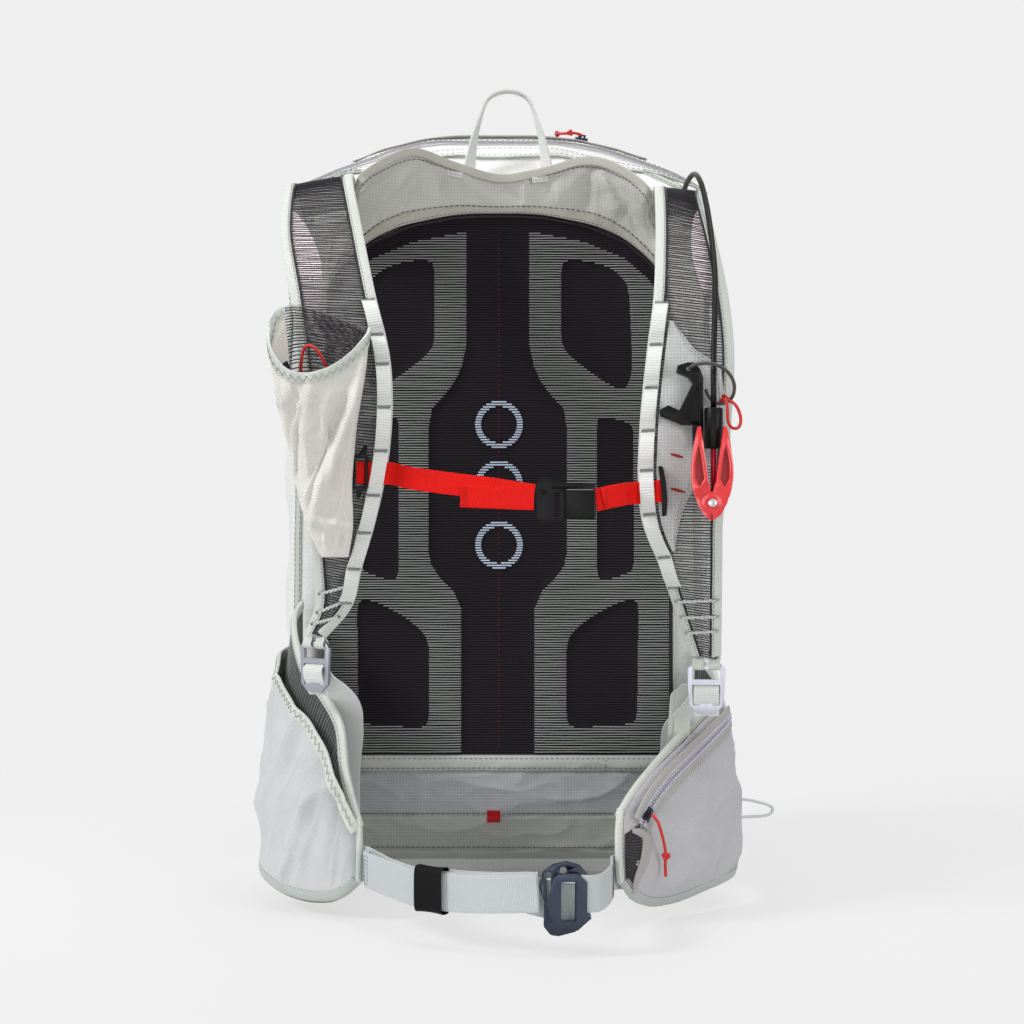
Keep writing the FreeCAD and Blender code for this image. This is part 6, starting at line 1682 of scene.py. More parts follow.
def flap():
    """A curved cover of the open end of the right pocket, past the zip's slider."""
    u = np.linspace(0.0, 1.0, 30)
    route = [(0.965, 0.70, 0), (0.90, 0.56, 0), (0.895, 0.36, 0), (0.93, 0.12, 0), (0.93, 0.03, 0)]
    shares = spline(route, 30)
    here, out = pocket_spot(RIGHT_WING, RIGHT_POCKET, shares[:, 0], shares[:, 1], 0.0016)
    across = unit(np.cross(unit(np.gradient(here, axis=0)), out))
    width = 0.0032 + 0.0062 * np.sin(math.pi * u)
    band_piece("hip_pocket_flap", here + across * 0.001, across, (width, 0.0016), 3.0, 12, ZIP_TAPE, "zip")
    s, t = grid_shares(24, 30, 0.925, 0.998, 0.03, 0.70)
    grid, away = pocket_spot(RIGHT_WING, RIGHT_POCKET, s, t, 0.0009)
    sheet_piece("hip_pocket_mouth_net", grid, 0.0006, WING_NET)
    turned = np.swapaxes(grid + away * 0.0006, 0, 1)
    net_piece("hip_pocket_mouth_threads", turned, 0.0019, 1.5, 0.0003, 77)


def wing_net_finish():
    """The close dark net on both sides of a hip wing."""
    finish = Finish("wing_net", (44, 42, 46), 0.8, Sheen_Weight=0.1)
    lines = finish.wave(finish.slant(0.75, 0.66), 0.0018)
    finish.paint(lines, (104, 102, 106), 0.5)
    finish.raise_by(lines, 0.0002)
    return finish.done()


WING_NET = wing_net_finish()
wings()


# ---- Webbing ---------------------------------------------------------------------------------------


def wing_belt_start(wing, u, t):
    """Where the belt webbing leaves a wing, just under its cloth."""
    point, _ = wing_spot(wing, np.array(u), np.array(t), np.array(-0.003))
    return point


HIP_WEBBING_WIDTH, HIP_WEBBING_THICKNESS = 0.025, 0.0018
LEFT_BELT = np.vstack([wing_belt_start(LEFT_WING, 0.94, 0.26), mm([
    (-91.5, -210.5, 39.5), (-83.5, -227, 39.2), (-71, -252, 38.5), (-52, -280, 37.5), (-22, -301, 38),
    (6, -312.5, 40), (27, -317.3, 41.5)])])
RIGHT_BELT = np.vstack([wing_belt_start(RIGHT_WING, 0.94, 0.2), mm([
    (78.2, -232.5, 37.3), (77.1, -246, 37), (75.6, -266, 37.5), (72, -287, 38.2), (67.5, -306, 39.3),
    (64, -315.2, 39.9), (58.5, -318.1, 40.1), (53.5, -318, 40.2)])])
LEFT_CHEST = mm([(-93.9, -250.1, 308.3), (-86.6, -250.1, 308.1), (-78.6, -249.5, 307.9),
                 (-72.1, -249.4, 307.8), (-60, -257.5, 305), (-40, -262.5, 302), (-5, -267, 297.5),
                 (24.5, -267.6, 293)])
CHEST_TAIL = mm([(-24, -267.4, 292.5), (0, -269, 291.5), (24.5, -269.2, 290.5)])
RIGHT_CHEST = mm([(64.6, -267.7, 289.4), (70, -266.6, 291), (82, -262, 293.5), (92.6, -250, 294.7),
                  (100.1, -250.4, 295.3), (104.1, -250.8, 295.6), (107.7, -252.6, 295.9),
                  (111.4, -252.3, 296.1)])
LEFT_LOWER = mm([(-124.4, -200.3, 179.4), (-124.4, -200.3, 172.2), (-115, -189.5, 159), (-107, -180.5, 147),
                 (-106, -164, 129), (-110, -140, 98), (-112, -117, 62), (-112, -99, 42), (-112, -89, 32)])
RIGHT_LOWER = mm([(145.6, -195.9, 164.2), (145.6, -195.9, 157), (140.5, -188.5, 147), (134, -178, 138.5),
                  (128, -165.5, 129), (127, -148, 110), (127, -124, 78), (127, -104, 50),
                  (127, -88.8, 29)])
LOWER_WIDTH, LOWER_THICKNESS = 0.020, 0.0016
CHEST_WIDTH, CHEST_THICKNESS = 0.0148, 0.0012
UP = np.array([0.0, 0.0, 1.0])
BELT_SIZE = (HIP_WEBBING_WIDTH, HIP_WEBBING_THICKNESS)


def upright(spot, half):
    """Three points of a short upright line through a spot."""
    return np.array([spot - UP * half, spot, spot + UP * half])


def curled(line, amount, size, seed):
    """A line with the small random waves of handled webbing."""
    t = reach(line)
    draw = np.random.default_rng(seed)
    wave = np.sin(t / size * 2 * math.pi + draw.uniform(0, 6)) + 0.5 * np.sin(t / size * 4.3 * math.pi)
    way = unit(np.cross(np.gradient(line, axis=0), UP))
    ends = np.clip(np.minimum(t, t[-1] - t) / (size / 2), 0, 1)[:, None]
    return line + way * wave[:, None] * amount * ends


def hip_belt_right():
    """The belt webbing on the hook's side, attached to no body, and its bar tacks."""
    right = spline(RIGHT_BELT, 90)
    size = (HIP_WEBBING_WIDTH - 0.001, HIP_WEBBING_THICKNESS)
    made = band_piece("hip_belt_right", right, UP, size, 7.0, 18, BELT_WEBBING, body=None,
                      stands_for=["hip_strap_right"])
    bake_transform(made)
    k = int(np.argmin(np.abs(right[:, 1] + 0.262)))
    along = unit(right[k + 1] - right[k])
    away = unit(np.cross(right[k + 1] - right[k], UP))
    away = away * np.sign(away[0])
    bars = Shape()
    for shift in (-0.0035, 0.0035):
        for face in (1, -1):
            spot = right[k] + along * shift + away * 0.0012 * face
            bars.zigzag(upright(spot, 0.0105), along, 0.0042, 0.0016, 0.0003)
    made = piece("hip_belt_right_tacks", bars, GREY_THREAD, "webbing_white", body=None)
    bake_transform(made)


def hip_belt_fold():
    """The left webbing's end, folded back over itself and tacked."""
    outer = spline(LEFT_BELT, 300)
    reached = reach(outer)
    away = unit(np.cross(np.gradient(outer, axis=0), UP))
    away = away * np.sign(-away[:, 1:2])
    start = int(np.argmin(np.abs(outer[:, 0] + 0.084)))
    lift = 0.0019 + 0.0036 * np.clip(1 - (reached - reached[start]) / 0.040, 0, 1) ** 1.5
    front = (outer + away * lift[:, None] - UP * 0.0008)[start::6]
    turn = front[0] + unit(front[0] - front[1]) * 0.0046 - away[start] * 0.0016
    inside = outer[start] + away[start] * 0.0017
    line = spline(np.vstack([inside, turn, front]), 200)
    band_piece("hip_belt_left_fold", line, UP, (HIP_WEBBING_WIDTH - 0.0005, 0.0016), 7.0, 18, BELT_WEBBING)
    tacks = Shape()
    for shift in (0.004, 0.0075):
        spot = turn + unit(front[1] - front[0]) * shift + away[start] * 0.0026
        tacks.stitches(upright(spot, 0.0105), 0.0018, 0.0008, 0.00028)
    piece("hip_belt_left_tacks", tacks, GREY_THREAD, "webbing_white")


def hip_belt():
    """The belt webbing from both wings to the buckle, with its folded end and its second layer."""
    left = curled(spline(LEFT_BELT, 140), 0.0003, 0.05, 3)
    band_piece("hip_belt_left", left, UP, BELT_SIZE, 7.0, 18, BELT_WEBBING, stands_for=["hip_strap_left"])
    hip_belt_right()
    hip_belt_fold()
    line = spline(mm([(17, -312.6, 40), (27, -312.4, 37), (42, -312.4, 34), (57, -312.4, 33.4)]), 30)
    band_piece("hip_belt_left_end", line, UP, (HIP_WEBBING_WIDTH - 0.0005, HIP_WEBBING_THICKNESS), 7.0, 18,
               BELT_WEBBING)
    line = spline(mm([(-33, -291.6, 48.4), (-15, -302.6, 48.9), (4, -310.8, 50.0), (22, -315.2, 51.0)]), 50)
    band_piece("hip_belt_second_layer", line + (0, 0.0006, 0), UP, (0.0052, 0.0013), 5.0, 12, BELT_WEBBING)


KEEPER_HALF, KEEPER_PINCH = 0.011, 0.04
# Half gap and half height of the sleeve's outside and inside.
KEEPER_OUTER, KEEPER_INNER = (0.0051, 0.0152), (0.0044, 0.0145)


def keeper():
    """The elastic sleeve round the left belt webbing, drawn in a little at its middle."""
    line = spline(LEFT_BELT, 400)
    k = int(np.argmin(np.abs(line[:, 0] + 0.0415)))
    along = unit(line[k + 1] - line[k - 1])
    away = unit(np.cross(along, UP))
    angle = circle(44)
    loop = np.stack([signed_power(np.cos(angle), 0.45), signed_power(np.sin(angle), 0.45)], axis=1)
    away = away * np.sign(-away[1])
    outer, inner = [], []
    for shift in np.linspace(-KEEPER_HALF, KEEPER_HALF, 23):
        pinch = 1 - KEEPER_PINCH * (1 - (shift / KEEPER_HALF) ** 2)
        spot = line[k] + along * shift + away * 0.0010
        for rings, (half_gap, half_height) in ((outer, KEEPER_OUTER), (inner, KEEPER_INNER)):
            rings.append(spot + away * (loop[:, :1] * half_gap * pinch)
                         + UP * (loop[:, 1:] * half_height * pinch))
    shape = Shape()
    rings = np.array(outer + inner[::-1])
    at = np.cumsum(np.linalg.norm(np.diff(rings[0], axis=0, prepend=rings[0][-1:]), axis=1))
    places = np.stack(np.broadcast_arrays(at[None, :], np.linspace(0, 0.044, len(rings))[:, None]), axis=-1)
    shape.rings(np.concatenate([rings, rings[:1]]), np.concatenate([places, places[:1]]), ends=False)
    piece("belt_keeper", shape, KEEPER_CLOTH, "elastic_black", "strap_keeper", ["strap_keeper"])


def chest_strap():
    """The red chest webbing: the left half, on the plug's side, is attached to no body; the right half stays
    with the pack.
    """
    strap = Shape()
    strap.sweep(spline(LEFT_CHEST, 110), UP, CHEST_WIDTH, CHEST_THICKNESS, 7.0, 16)
    strap.sweep(spline(CHEST_TAIL, 40), UP, CHEST_WIDTH, CHEST_THICKNESS, 7.0, 16)
    made = piece("chest_strap_left", strap, RED_WEBBING, "webbing_red", body=None,
                 stands_for=["sternum_strap_left"])
    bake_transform(made)
    seam = Shape()
    for shift in (0.0016, 0.0034):
        spot = np.array([-0.024 + shift, -0.2688, 0.2925])
        seam.stitches(upright(spot, 0.0066), 0.0015, 0.0006, 0.00026)
    made = piece("chest_strap_tail_seam", seam, RED_THREAD, "webbing_red", body=None)
    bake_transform(made)
    strap = Shape()
    strap.sweep(spline(RIGHT_CHEST, 70), UP, CHEST_WIDTH, CHEST_THICKNESS, 7.0, 16)
    short = spline(RIGHT_CHEST[:4], 40)[6:26]
    strap.sweep(short + (0.0002, -0.0014, -0.0004), UP, CHEST_WIDTH - 0.0004, CHEST_THICKNESS, 7.0, 16)
    piece("chest_strap_right", strap, RED_WEBBING, "webbing_red", stands_for=["sternum_strap_right"])
    seam = Shape()
    seam.stitches(upright(short[3] + (0.0004, -0.0024, 0.0), 0.0066), 0.0015, 0.0006, 0.00026)
    piece("chest_strap_right_seam", seam, RED_THREAD, "webbing_red")


def lower_straps():
    """The webbing from each metal buckle down to the lumbar panel's edge."""
    for side, points, turn, body in (
        ("left", LEFT_LOWER, -36.0, "left_strap_buckle"),
        ("right", RIGHT_LOWER, -8.0, "right_strap_buckle"),
    ):
        line = spline(points, 120)
        across = np.array([math.cos(math.radians(turn)), math.sin(math.radians(turn)), 0])
        share = np.clip(np.linspace(0, 1, 120) * 5, 0, 1)[:, None]
        sides = across * (1 - share) + np.array([1.0, -0.06, 0.0]) * share
        made = band_piece(f"{side}_lower_webbing", line, sides, (LOWER_WIDTH, LOWER_THICKNESS), 7.0, 16,
                          WHITE_WEBBING, body=None, stands_for=[f"{side}_lower_strap"])
        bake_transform(made)


def buckle_straps():
    """What the metal buckles hold: tapes round the top bar, the webbing gripped in them, and tails."""
    for side, centre, turn, body in (
        ("left", (-0.1262, -0.2028, 0.1752), -36.0, "left_strap_buckle"),
        ("right", (0.1452, -0.1990, 0.1600), -8.0, "right_strap_buckle"),
    ):
        centre = np.array(centre)
        angle = math.radians(turn)
        across = np.array([math.cos(angle), math.sin(angle), 0.0])
        back = np.array([-math.sin(angle), math.cos(angle), 0.0])
        loops = Shape()
        for shift in (-0.0056, 0.0056):
            t = np.linspace(-0.35 * math.pi, 1.35 * math.pi, 26)
            line = centre + across * shift + UP * 0.0154
            ring = line + back * (np.cos(t) * 0.0029)[:, None] - UP * (np.sin(t) * 0.0029)[:, None]
            top = ring[[0]] + UP * 0.008 + back * 0.0010
            tail = ring[[-1]] + UP * 0.008 - back * 0.0002
            loops.sweep(spline(np.vstack([top, ring[::3], tail]), 40), across, 0.0078, 0.0011, 5.0, 12)
        piece(f"{side}_buckle_loops", loops, BINDING, "webbing_white")
        line = spline([centre + back * 0.0030 + UP * 0.0040, centre + back * 0.0005 + UP * 0.0016,
                       centre - back * 0.0031 - UP * 0.0016, centre - back * 0.0026 - UP * 0.0075,
                       centre + back * 0.0012 - UP * 0.0150, centre + back * 0.0030 - UP * 0.0200], 40)
        band_piece(f"{side}_buckle_webbing", line, across, (0.0176, 0.0012), 6.0, 14, WHITE_WEBBING,
                   body=body)
    right_buckle_tails()


def right_buckle_tails():
    """Two blunt tapes that hang behind the right buckle."""
    tails = Shape()
    for top, low in (((131.5, -184.5, 161), (130.0, -172, 120)), ((127.5, -181.5, 157), (126.0, -170, 118))):
        blunt = np.clip(np.linspace(0, 1, 30) * 7, 0.08, 1)
        width = 0.0118 * np.sqrt(np.clip(1 - (1 - blunt) ** 2, 0, 1))
        tails.sweep(between(mm(top), mm(low), 30), (1, 0.1, 0), width, 0.0013, 5.0, 12)
    piece("right_buckle_tails", tails, BINDING, "webbing_white")


def haul_loop():
    """The white carrying loop at the top, and the two feet it is sewn in with."""
    middle, top = 0.007, 0.6005
    half = [(-23, 535), (-21, 551), (-15, 577), (-6, 596.5)]
    points = [(x / 1000, -0.08055, z / 1000) for x, z in half] + [(middle, -0.08055, top)]
    points += [(2 * middle - x, y, z) for x, y, z in points[3::-1]]
    line = spline(points, 120)
    t = np.linspace(-1, 1, 120)
    lean = np.clip((np.abs(t) - 0.25) / 0.75, 0, 1) ** 1.3
    sides = np.stack([np.sin(lean * 0.9) * -np.sign(t), np.cos(lean * 0.9), np.zeros(120)], axis=1)
    band_piece("haul_loop_webbing", line, sides, (0.0118, 0.0019), 6.0, 16, WHITE_WEBBING, body="haul_loop",
               stands_for=["haul_loop"])
    feet = Shape()
    for x, lean in ((-0.0235, 0.75), (0.0375, -0.75)):
        line = between((x, -0.0805, 0.5200), (x, -0.0805, 0.5330), 10)
        feet.sweep(line, (math.cos(lean), math.sin(lean), 0), 0.0122, 0.0022, 5.0, 14)
    piece("haul_loop_feet", feet, WHITE_WEBBING, "webbing_white")


hip_belt()
keeper()
chest_strap()
lower_straps()
buckle_straps()
haul_loop()


# ---- Bag -------------------------------------------------------------------------------------------

# Height, half width, back and front of the bag, in millimetres.
BAG_LEVELS = np.array([(0, 148, -56, 82), (7, 158, -67, 90), (20, 163.5, -74, 93), (60, 165, -74, 95),
                       (200, 165, -74, 95), (350, 164, -74, 87), (450, 163, -74, 77), (515, 162, -74, 65),
                       (540, 157, -72, 59), (550.5, 134, -64, 48), (565.3, 92, -48, 33),
                       (572.7, 60, -34, 19), (577.2, 24, -20, 5), (578.0, 4, -10, -5)], float)
FRONT_SQUARENESS, BACK_SQUARENESS = 4.5, 9.0
BAG_COLUMNS, BAG_MIDDLE_ROW = 200, 60
BAG_TOP_SEAM = 533


def bag_levels(heights):
    """Half width, back and front of the bag at any heights, in millimetres."""
    return np.stack([np.interp(heights, BAG_LEVELS[:, 0], BAG_LEVELS[:, k]) for k in (1, 2, 3)], axis=1)


def bag_rings(heights):
    """Rings round the bag with evenly spaced points; the last point of each is its first again."""
    half, back, front = (c[:, None] for c in bag_levels(heights).T)
    middle, deep = (back + front) / 2, (front - back) / 2
    angle = np.linspace(0, 2 * math.pi, 1441)[None]
    power = 2 / np.where(np.sin(angle) > 0, FRONT_SQUARENESS, BACK_SQUARENESS)
    x = half * signed_power(np.cos(angle), power)
    y = middle + deep * signed_power(np.sin(angle), power)
    rings = np.stack(np.broadcast_arrays(x, y, heights[:, None]), axis=-1) / 1000
    return np.array([even(ring, BAG_COLUMNS + 1) for ring in rings])


def bag_skin(heights):
    """The bag's rings with slack and wrinkles, and its drooping shoulders at the back."""
    outer = bag_rings(heights)
    out = unit((outer - (0.0, 0.010, 0.300)) * (1, 1, 0.25))
    behind = np.clip((outer[..., 1] + 0.070) / 0.02, 0, 1)
    hold = behind * np.clip(outer[..., 2] / 0.03, 0, 1) * np.clip((0.575 - outer[..., 2]) / 0.03, 0.15, 1)
    slack = 0.0018 * bumps(outer * (1, 1, 1.8), 0.09, 71)
    corner = np.abs(outer[..., 0]) / 0.135 + np.abs(outer[..., 1] - 0.015) / 0.080
    calm = 1 - 0.75 * np.clip(1 - np.abs(corner - 1.75) * 2.2, 0, 1)
    slack += (0.0044 * calm * wrinkles(outer, 0.060, 72, (0.9, 0.2, 0.3), 2.2)
              + 0.0003 * bumps(outer, 0.014, 73))
    outer = outer + out * ((slack - 0.0016) * hold)[..., None]
    sag = np.clip((np.abs(outer[..., 0]) - 0.045) / 0.05, 0, 1)
    sag = sag * np.clip((-0.030 - outer[..., 1]) / 0.02, 0, 1)
    outer[..., 2] -= 0.010 * sag * np.clip((outer[..., 2] - 0.500) / 0.03, 0, 1)
    return outer


def bag():
    """The bag's cloth as one skin with a separate finish on top; gives the piece and its grid."""
    heights = np.concatenate([np.linspace(0, 20, 9), np.linspace(24, 530, 116), np.linspace(533, 566, 22),
                              np.linspace(567.5, 578, 12)])
    outer = bag_skin(heights)
    around = reach(outer[BAG_MIDDLE_ROW])
    places = np.stack(np.broadcast_arrays(around[None, :], outer[..., 2]), axis=-1)
    above = np.stack([outer[..., 0], outer[..., 1]], axis=-1)
    split = int(np.argmin(np.abs(heights - BAG_TOP_SEAM)))
    shape = Shape()
    wide = BAG_COLUMNS + 1
    for first, last, spots, finish in ((0, split, places, 0), (split, len(heights) - 1, above, 1)):
        quads = [[i * wide + j, i * wide + j + 1, (i + 1) * wide + j + 1, (i + 1) * wide + j]
                 for i in range(last - first) for j in range(BAG_COLUMNS)]
        rows = slice(first, last + 1)
        shape.add(outer[rows].reshape(-1, 3), quads, spots[rows].reshape(-1, 2), finish)
    shape.add(outer[0, :-1], [list(range(BAG_COLUMNS))[::-1]], above[0, :-1])
    shape.add(outer[-1, :-1], [list(range(BAG_COLUMNS))], above[-1, :-1], 1)
    made = piece("bag_cloth", shape, [BAG_CLOTH, BAG_TOP_CLOTH], "ripstop_white", stands_for=["bag_shell"])
    joined = bmesh.new()
    joined.from_mesh(made.data)
    bmesh.ops.remove_doubles(joined, verts=joined.verts, dist=0.00001)
    joined.to_mesh(made.data)
    joined.free()
    return made, outer[:, :-1]


BAG, BAG_GRID = bag()
bpy.context.view_layer.update()
BAG_TREE = BVHTree.FromPolygons([v.co.copy() for v in BAG.data.vertices],
                                [list(p.vertices) for p in BAG.data.polygons])


def on_bag(starts, ways, rise=0.0):
    """Where rays meet the bag's cloth, and the way outwards there."""
    points, outs = [], []
    for start, way in zip(starts, ways):
        way = Vector(way)
        hit, out, _, _ = BAG_TREE.ray_cast(Vector(start), way)
        if hit is None:
            continue
        if out.dot(way) > 0:
            out = -out
        points.append(np.array(hit) + np.array(out) * rise)
        outs.append(np.array(out))
    return np.array(points), np.array(outs)


def softened(vectors):
    """Directions along a line, smoothed with their neighbours; the given ones stay as they are."""
    vectors = vectors.copy()
    for _ in range(3):
        vectors[1:-1] = (vectors[:-2] + 2 * vectors[1:-1] + vectors[2:]) / 4
    return unit(vectors)


def arch_line(y, low, high, rise, count):
    """A line over the bag in the plane of y, between two angles from straight up."""
    angle = np.linspace(low, high, count)
    out = np.stack([np.sin(angle), np.zeros(count), np.cos(angle)], axis=1)
    return on_bag(np.array([0.0, y, 0.300]) + out * 0.5, -out, rise)[0]


def column_line(column, low, high, rise):
    """A line up one column of the bag's grid, and the way outwards along it."""
    z = BAG_GRID[:, column, 2] * 1000
    rows = (z >= low) & (z <= high)
    out = normals(BAG_GRID)[:, column]
    middle = np.array([0.0, 0.010, 0.25])
    out = out * np.where(np.sum(out * (BAG_GRID[:, column] - middle), axis=1) < 0, -1.0, 1.0)[:, None]
    return (BAG_GRID[:, column] + out * rise)[rows], out[rows]


def bag_trim():
    """Tapes over the bag's edges and seams, and their stitches."""
    tapes, stitches = Shape(), Shape()
    middle_row = BAG_GRID[BAG_MIDDLE_ROW]
    corners = [int(np.argmax(middle_row[:, 0] * a + (middle_row[:, 1] - 0.010) * b * 1.8))
               for a, b in ((1, 1), (-1, 1), (-1, -1), (1, -1))]
    for column in corners:
        line, out = column_line(column, 6, 545, 0.0006)
        along = unit(np.gradient(line, axis=0))
        tapes.sweep(line, np.cross(along, softened(out)), 0.0062, 0.0018, 3.0, 12)
        for side in (-1, 1):
            across = unit(np.cross(along, out))
            stitches.stitches(line + across * side * 0.0022 + out * 0.0011, 0.0028, 0.0012, 0.00026)
    piece("bag_edge_tapes", tapes, BAG_EDGE_CLOTH, "ripstop_white")
    top = Shape()
    top.sweep(arch_line(-0.060, -1.30, 1.30, 0.0007, 150), (0, 1, 0), 0.0060, 0.0016, 3.0, 12)
    top.sweep(arch_line(0.030, -1.42, 1.42, 0.0006, 150), (0, 1, 0), 0.0050, 0.0014, 3.0, 12)
    piece("bag_top_seam_tapes", top, BAG_EDGE_CLOTH, "ripstop_white")
    for y, low, high in ((-0.0535, -1.28, 1.28), (-0.0585, -1.28, 1.28), (-0.0105, -0.62, 0.62),
                         (-0.0365, -0.62, 0.62), (0.0325, -1.08, 1.08)):
        line = arch_line(y, low, high, 0.0017 if y < -0.05 else 0.0009, 130)
        stitches.stitches(line, 0.0028, 0.0012, 0.00026)
    piece("bag_seams", stitches, GREY_THREAD, "ripstop_white")
    base_tape(corners)
    side_tab()


def base_tape(corners):
    """The tape over the seam above the bag's floor, from one front corner to the other."""
    rows = (BAG_GRID[:, 0, 2] > 0.052) & (BAG_GRID[:, 0, 2] < 0.066)
    ring = BAG_GRID[rows][0]
    out = unit((ring - ring.mean(axis=0)) * (1, 1, 0))
    ring = np.concatenate([ring, ring[:2]]) + np.concatenate([out, out[:2]]) * 0.0007
    line = ring[corners[0] - 12 : corners[1] + 12]
    band_piece("bag_base_seam_tape", line, UP, (0.0056, 0.0014), 3.0, 10, BAG_EDGE_CLOTH, "ripstop_white")


def side_tab():
    """The small pointed tab on the bag's left side."""
    line, _ = on_bag([(-0.3, -0.030, z) for z in np.linspace(0.216, 0.240, 14)], [(1, 0, 0)] * 14, 0.0012)
    width = 0.0100 * np.sin(math.pi * np.linspace(0.12, 0.88, 14))
    band_piece("bag_side_tab", line, (0, 1, 0), (width, 0.0012), 3.0, 12, BAG_EDGE_CLOTH, "ripstop_white")


bag_trim()

FRONT_POCKET_HALF, FRONT_POCKET_DEPTH = 120.0, 14.0
FRONT_POCKET_BOTTOM, FRONT_POCKET_TOP = 62.0, 412.0
FRONT_ZIP_Z, FRONT_ZIP_Y = 384.0, 98.7
POCKET_CREASES = [
    (-100, 370, -60, 250, 1.8, 9.0), (90, 368, 50, 260, -1.6, 9.0), (-40, 380, -20, 300, -1.2, 8.0),
    (20, 378, 60, 330, 1.4, 8.0), (-90, 150, -30, 100, 1.8, 10.0), (80, 160, 20, 90, -1.6, 10.0),
    (0, 240, -60, 170, 1.2, 12.0), (96, 260, 60, 180, 1.4, 9.0),
]


def front_pocket():
    """The big pocket on the bag's outer face, with a long zip near its top."""
    x, z = np.meshgrid(np.linspace(-1, 1, 97) * FRONT_POCKET_HALF,
                       np.linspace(FRONT_POCKET_BOTTOM, FRONT_POCKET_TOP, 130))
    half, back, front = (c[:, None] for c in bag_levels(z[:, 0]).T)
    share = 1 - (np.abs(x) / half) ** FRONT_SQUARENESS
    base = (back + front) / 2 + (front - back) / 2 * share ** (1 / FRONT_SQUARENESS)
    edge = np.minimum(np.minimum((FRONT_POCKET_HALF - np.abs(x)) / 22, (z - FRONT_POCKET_BOTTOM) / 40),
                      np.minimum((FRONT_POCKET_TOP - z) / 26, 1.0))
    swell = FRONT_POCKET_DEPTH * (0.10 + 0.90 * np.sin(np.clip(edge, 0, 1) * math.pi / 2))
    spots = np.stack([x, base, z], axis=-1) / 1000
    calm = np.clip(np.abs(z - FRONT_ZIP_Z) / 12 - 0.6, 0, 1) * np.clip(edge * 2, 0, 1)
    slack = folds(spots, POCKET_CREASES) + 0.0062 * wrinkles(spots, 0.045, 81, (0.6, 0, 0.8), 2.4)
    slack = slack + 0.0004 * bumps(spots, 0.02, 82)
    y = base + 0.8 + swell + slack * 1000 * calm
    front_grid = np.stack([x, y, z], axis=-1) / 1000
    back_grid = np.stack([x, base + 0.5, z], axis=-1) / 1000
    shape = Shape()
    shape.slab(front_grid, back_grid, np.stack([x, z], axis=-1) / 1000)
    made = piece("front_pocket_cloth", shape, BAG_CLOTH, "ripstop_white", stands_for=["front_pocket"])
    front_pocket_trim(front_grid, x[0, 12:-12] / 1000)


def front_pocket_trim(front_grid, across):
    """The front pocket's piping, its zip along the given places across it, and its stitches."""
    tapes, seams = Shape(), Shape()
    rim = np.concatenate([front_grid[0, 1:-1], front_grid[1:, -1], front_grid[-1, -2:0:-1]])
    rim = np.concatenate([rim, front_grid[::-1, 0]])
    tapes.sweep(rim[::2] + (0, 0.0004, 0), (0.0, 1.0, 0.02), 0.0030, 0.0046, 3.0, 10)
    piece("front_pocket_piping", tapes, BAG_EDGE_CLOTH, "ripstop_white")
    line = np.array([(x, FRONT_ZIP_Y / 1000, FRONT_ZIP_Z / 1000) for x in across])
    band = Shape()
    for side in (-1, 1):
        band.sweep(line + UP * side * 0.0046, UP, 0.0050, 0.0010, 4.0, 10)
    piece("front_zip_tapes", band, ZIP_TAPE, "zip")
    zip_coil("front_zip_coil", line, np.tile(UP, (len(line), 1)), 0.0048, ZIP_COIL_DARK)
    for side in (-1, 1):
        seams.stitches(line + UP * side * 0.0064 + (0, 0.0007, 0), 0.0026, 0.0011, 0.00026)
    piece("front_pocket_seams", seams, GREY_THREAD, "ripstop_white")


def top_zips():
    """The main zip over the bag's top and the airbag's hidden zip beside it."""
    for name, y, low, high, width, finish in (
        ("top_zip", -0.024, -0.42, 0.42, 0.011, ZIP_COIL_DARK),
        ("release_zip", -0.042, -1.24, 1.24, 0.008, ZIP_COIL),
    ):
        line = arch_line(y, low, high, 0.0014, 160 if high > 1 else 90)
        across = np.tile((0.0, 1.0, 0.0), (len(line), 1))
        tapes = Shape()
        for side in (-1, 1):
            tapes.sweep(line + across * side * width * 0.36, across, width * 0.40, 0.0010, 4.0, 10)
        nodes_for = ["zip_tapes"] if name == "top_zip" else []
        piece(f"{name}_tapes", tapes, ZIP_TAPE, "zip", stands_for=nodes_for)
        zip_coil(f"{name}_coil", line, across, width * 0.44, finish)


front_pocket()
top_zips()


# ---- Knots on the free cords -----------------------------------------------------------------------

knots = (
    ("top_zip_pull_knot", (0.0460, -0.0190, 0.5803), 0.0021, 0.4, "top_zip"),
    ("top_zip_pull_middle_knot", (0.0553, -0.0322, 0.5786), 0.0021, 1.4, "top_zip"),
    ("hip_zip_pull_knot", (0.1150, -0.2246, 0.0470), 0.0025, 0.2, "hip_zip"),
    ("front_zip_pull_knot", (-0.0801, 0.1083, 0.3530), 0.0022, 0.9, "front_zip"),
)
for name, centre, size, turn, body in knots:
    made = Shape()
    knot(made, centre, size, turn)
    piece(name, made, RED_CORD, "cord_red", body)


# ---- Airbag and inside -----------------------------------------------------------------------------


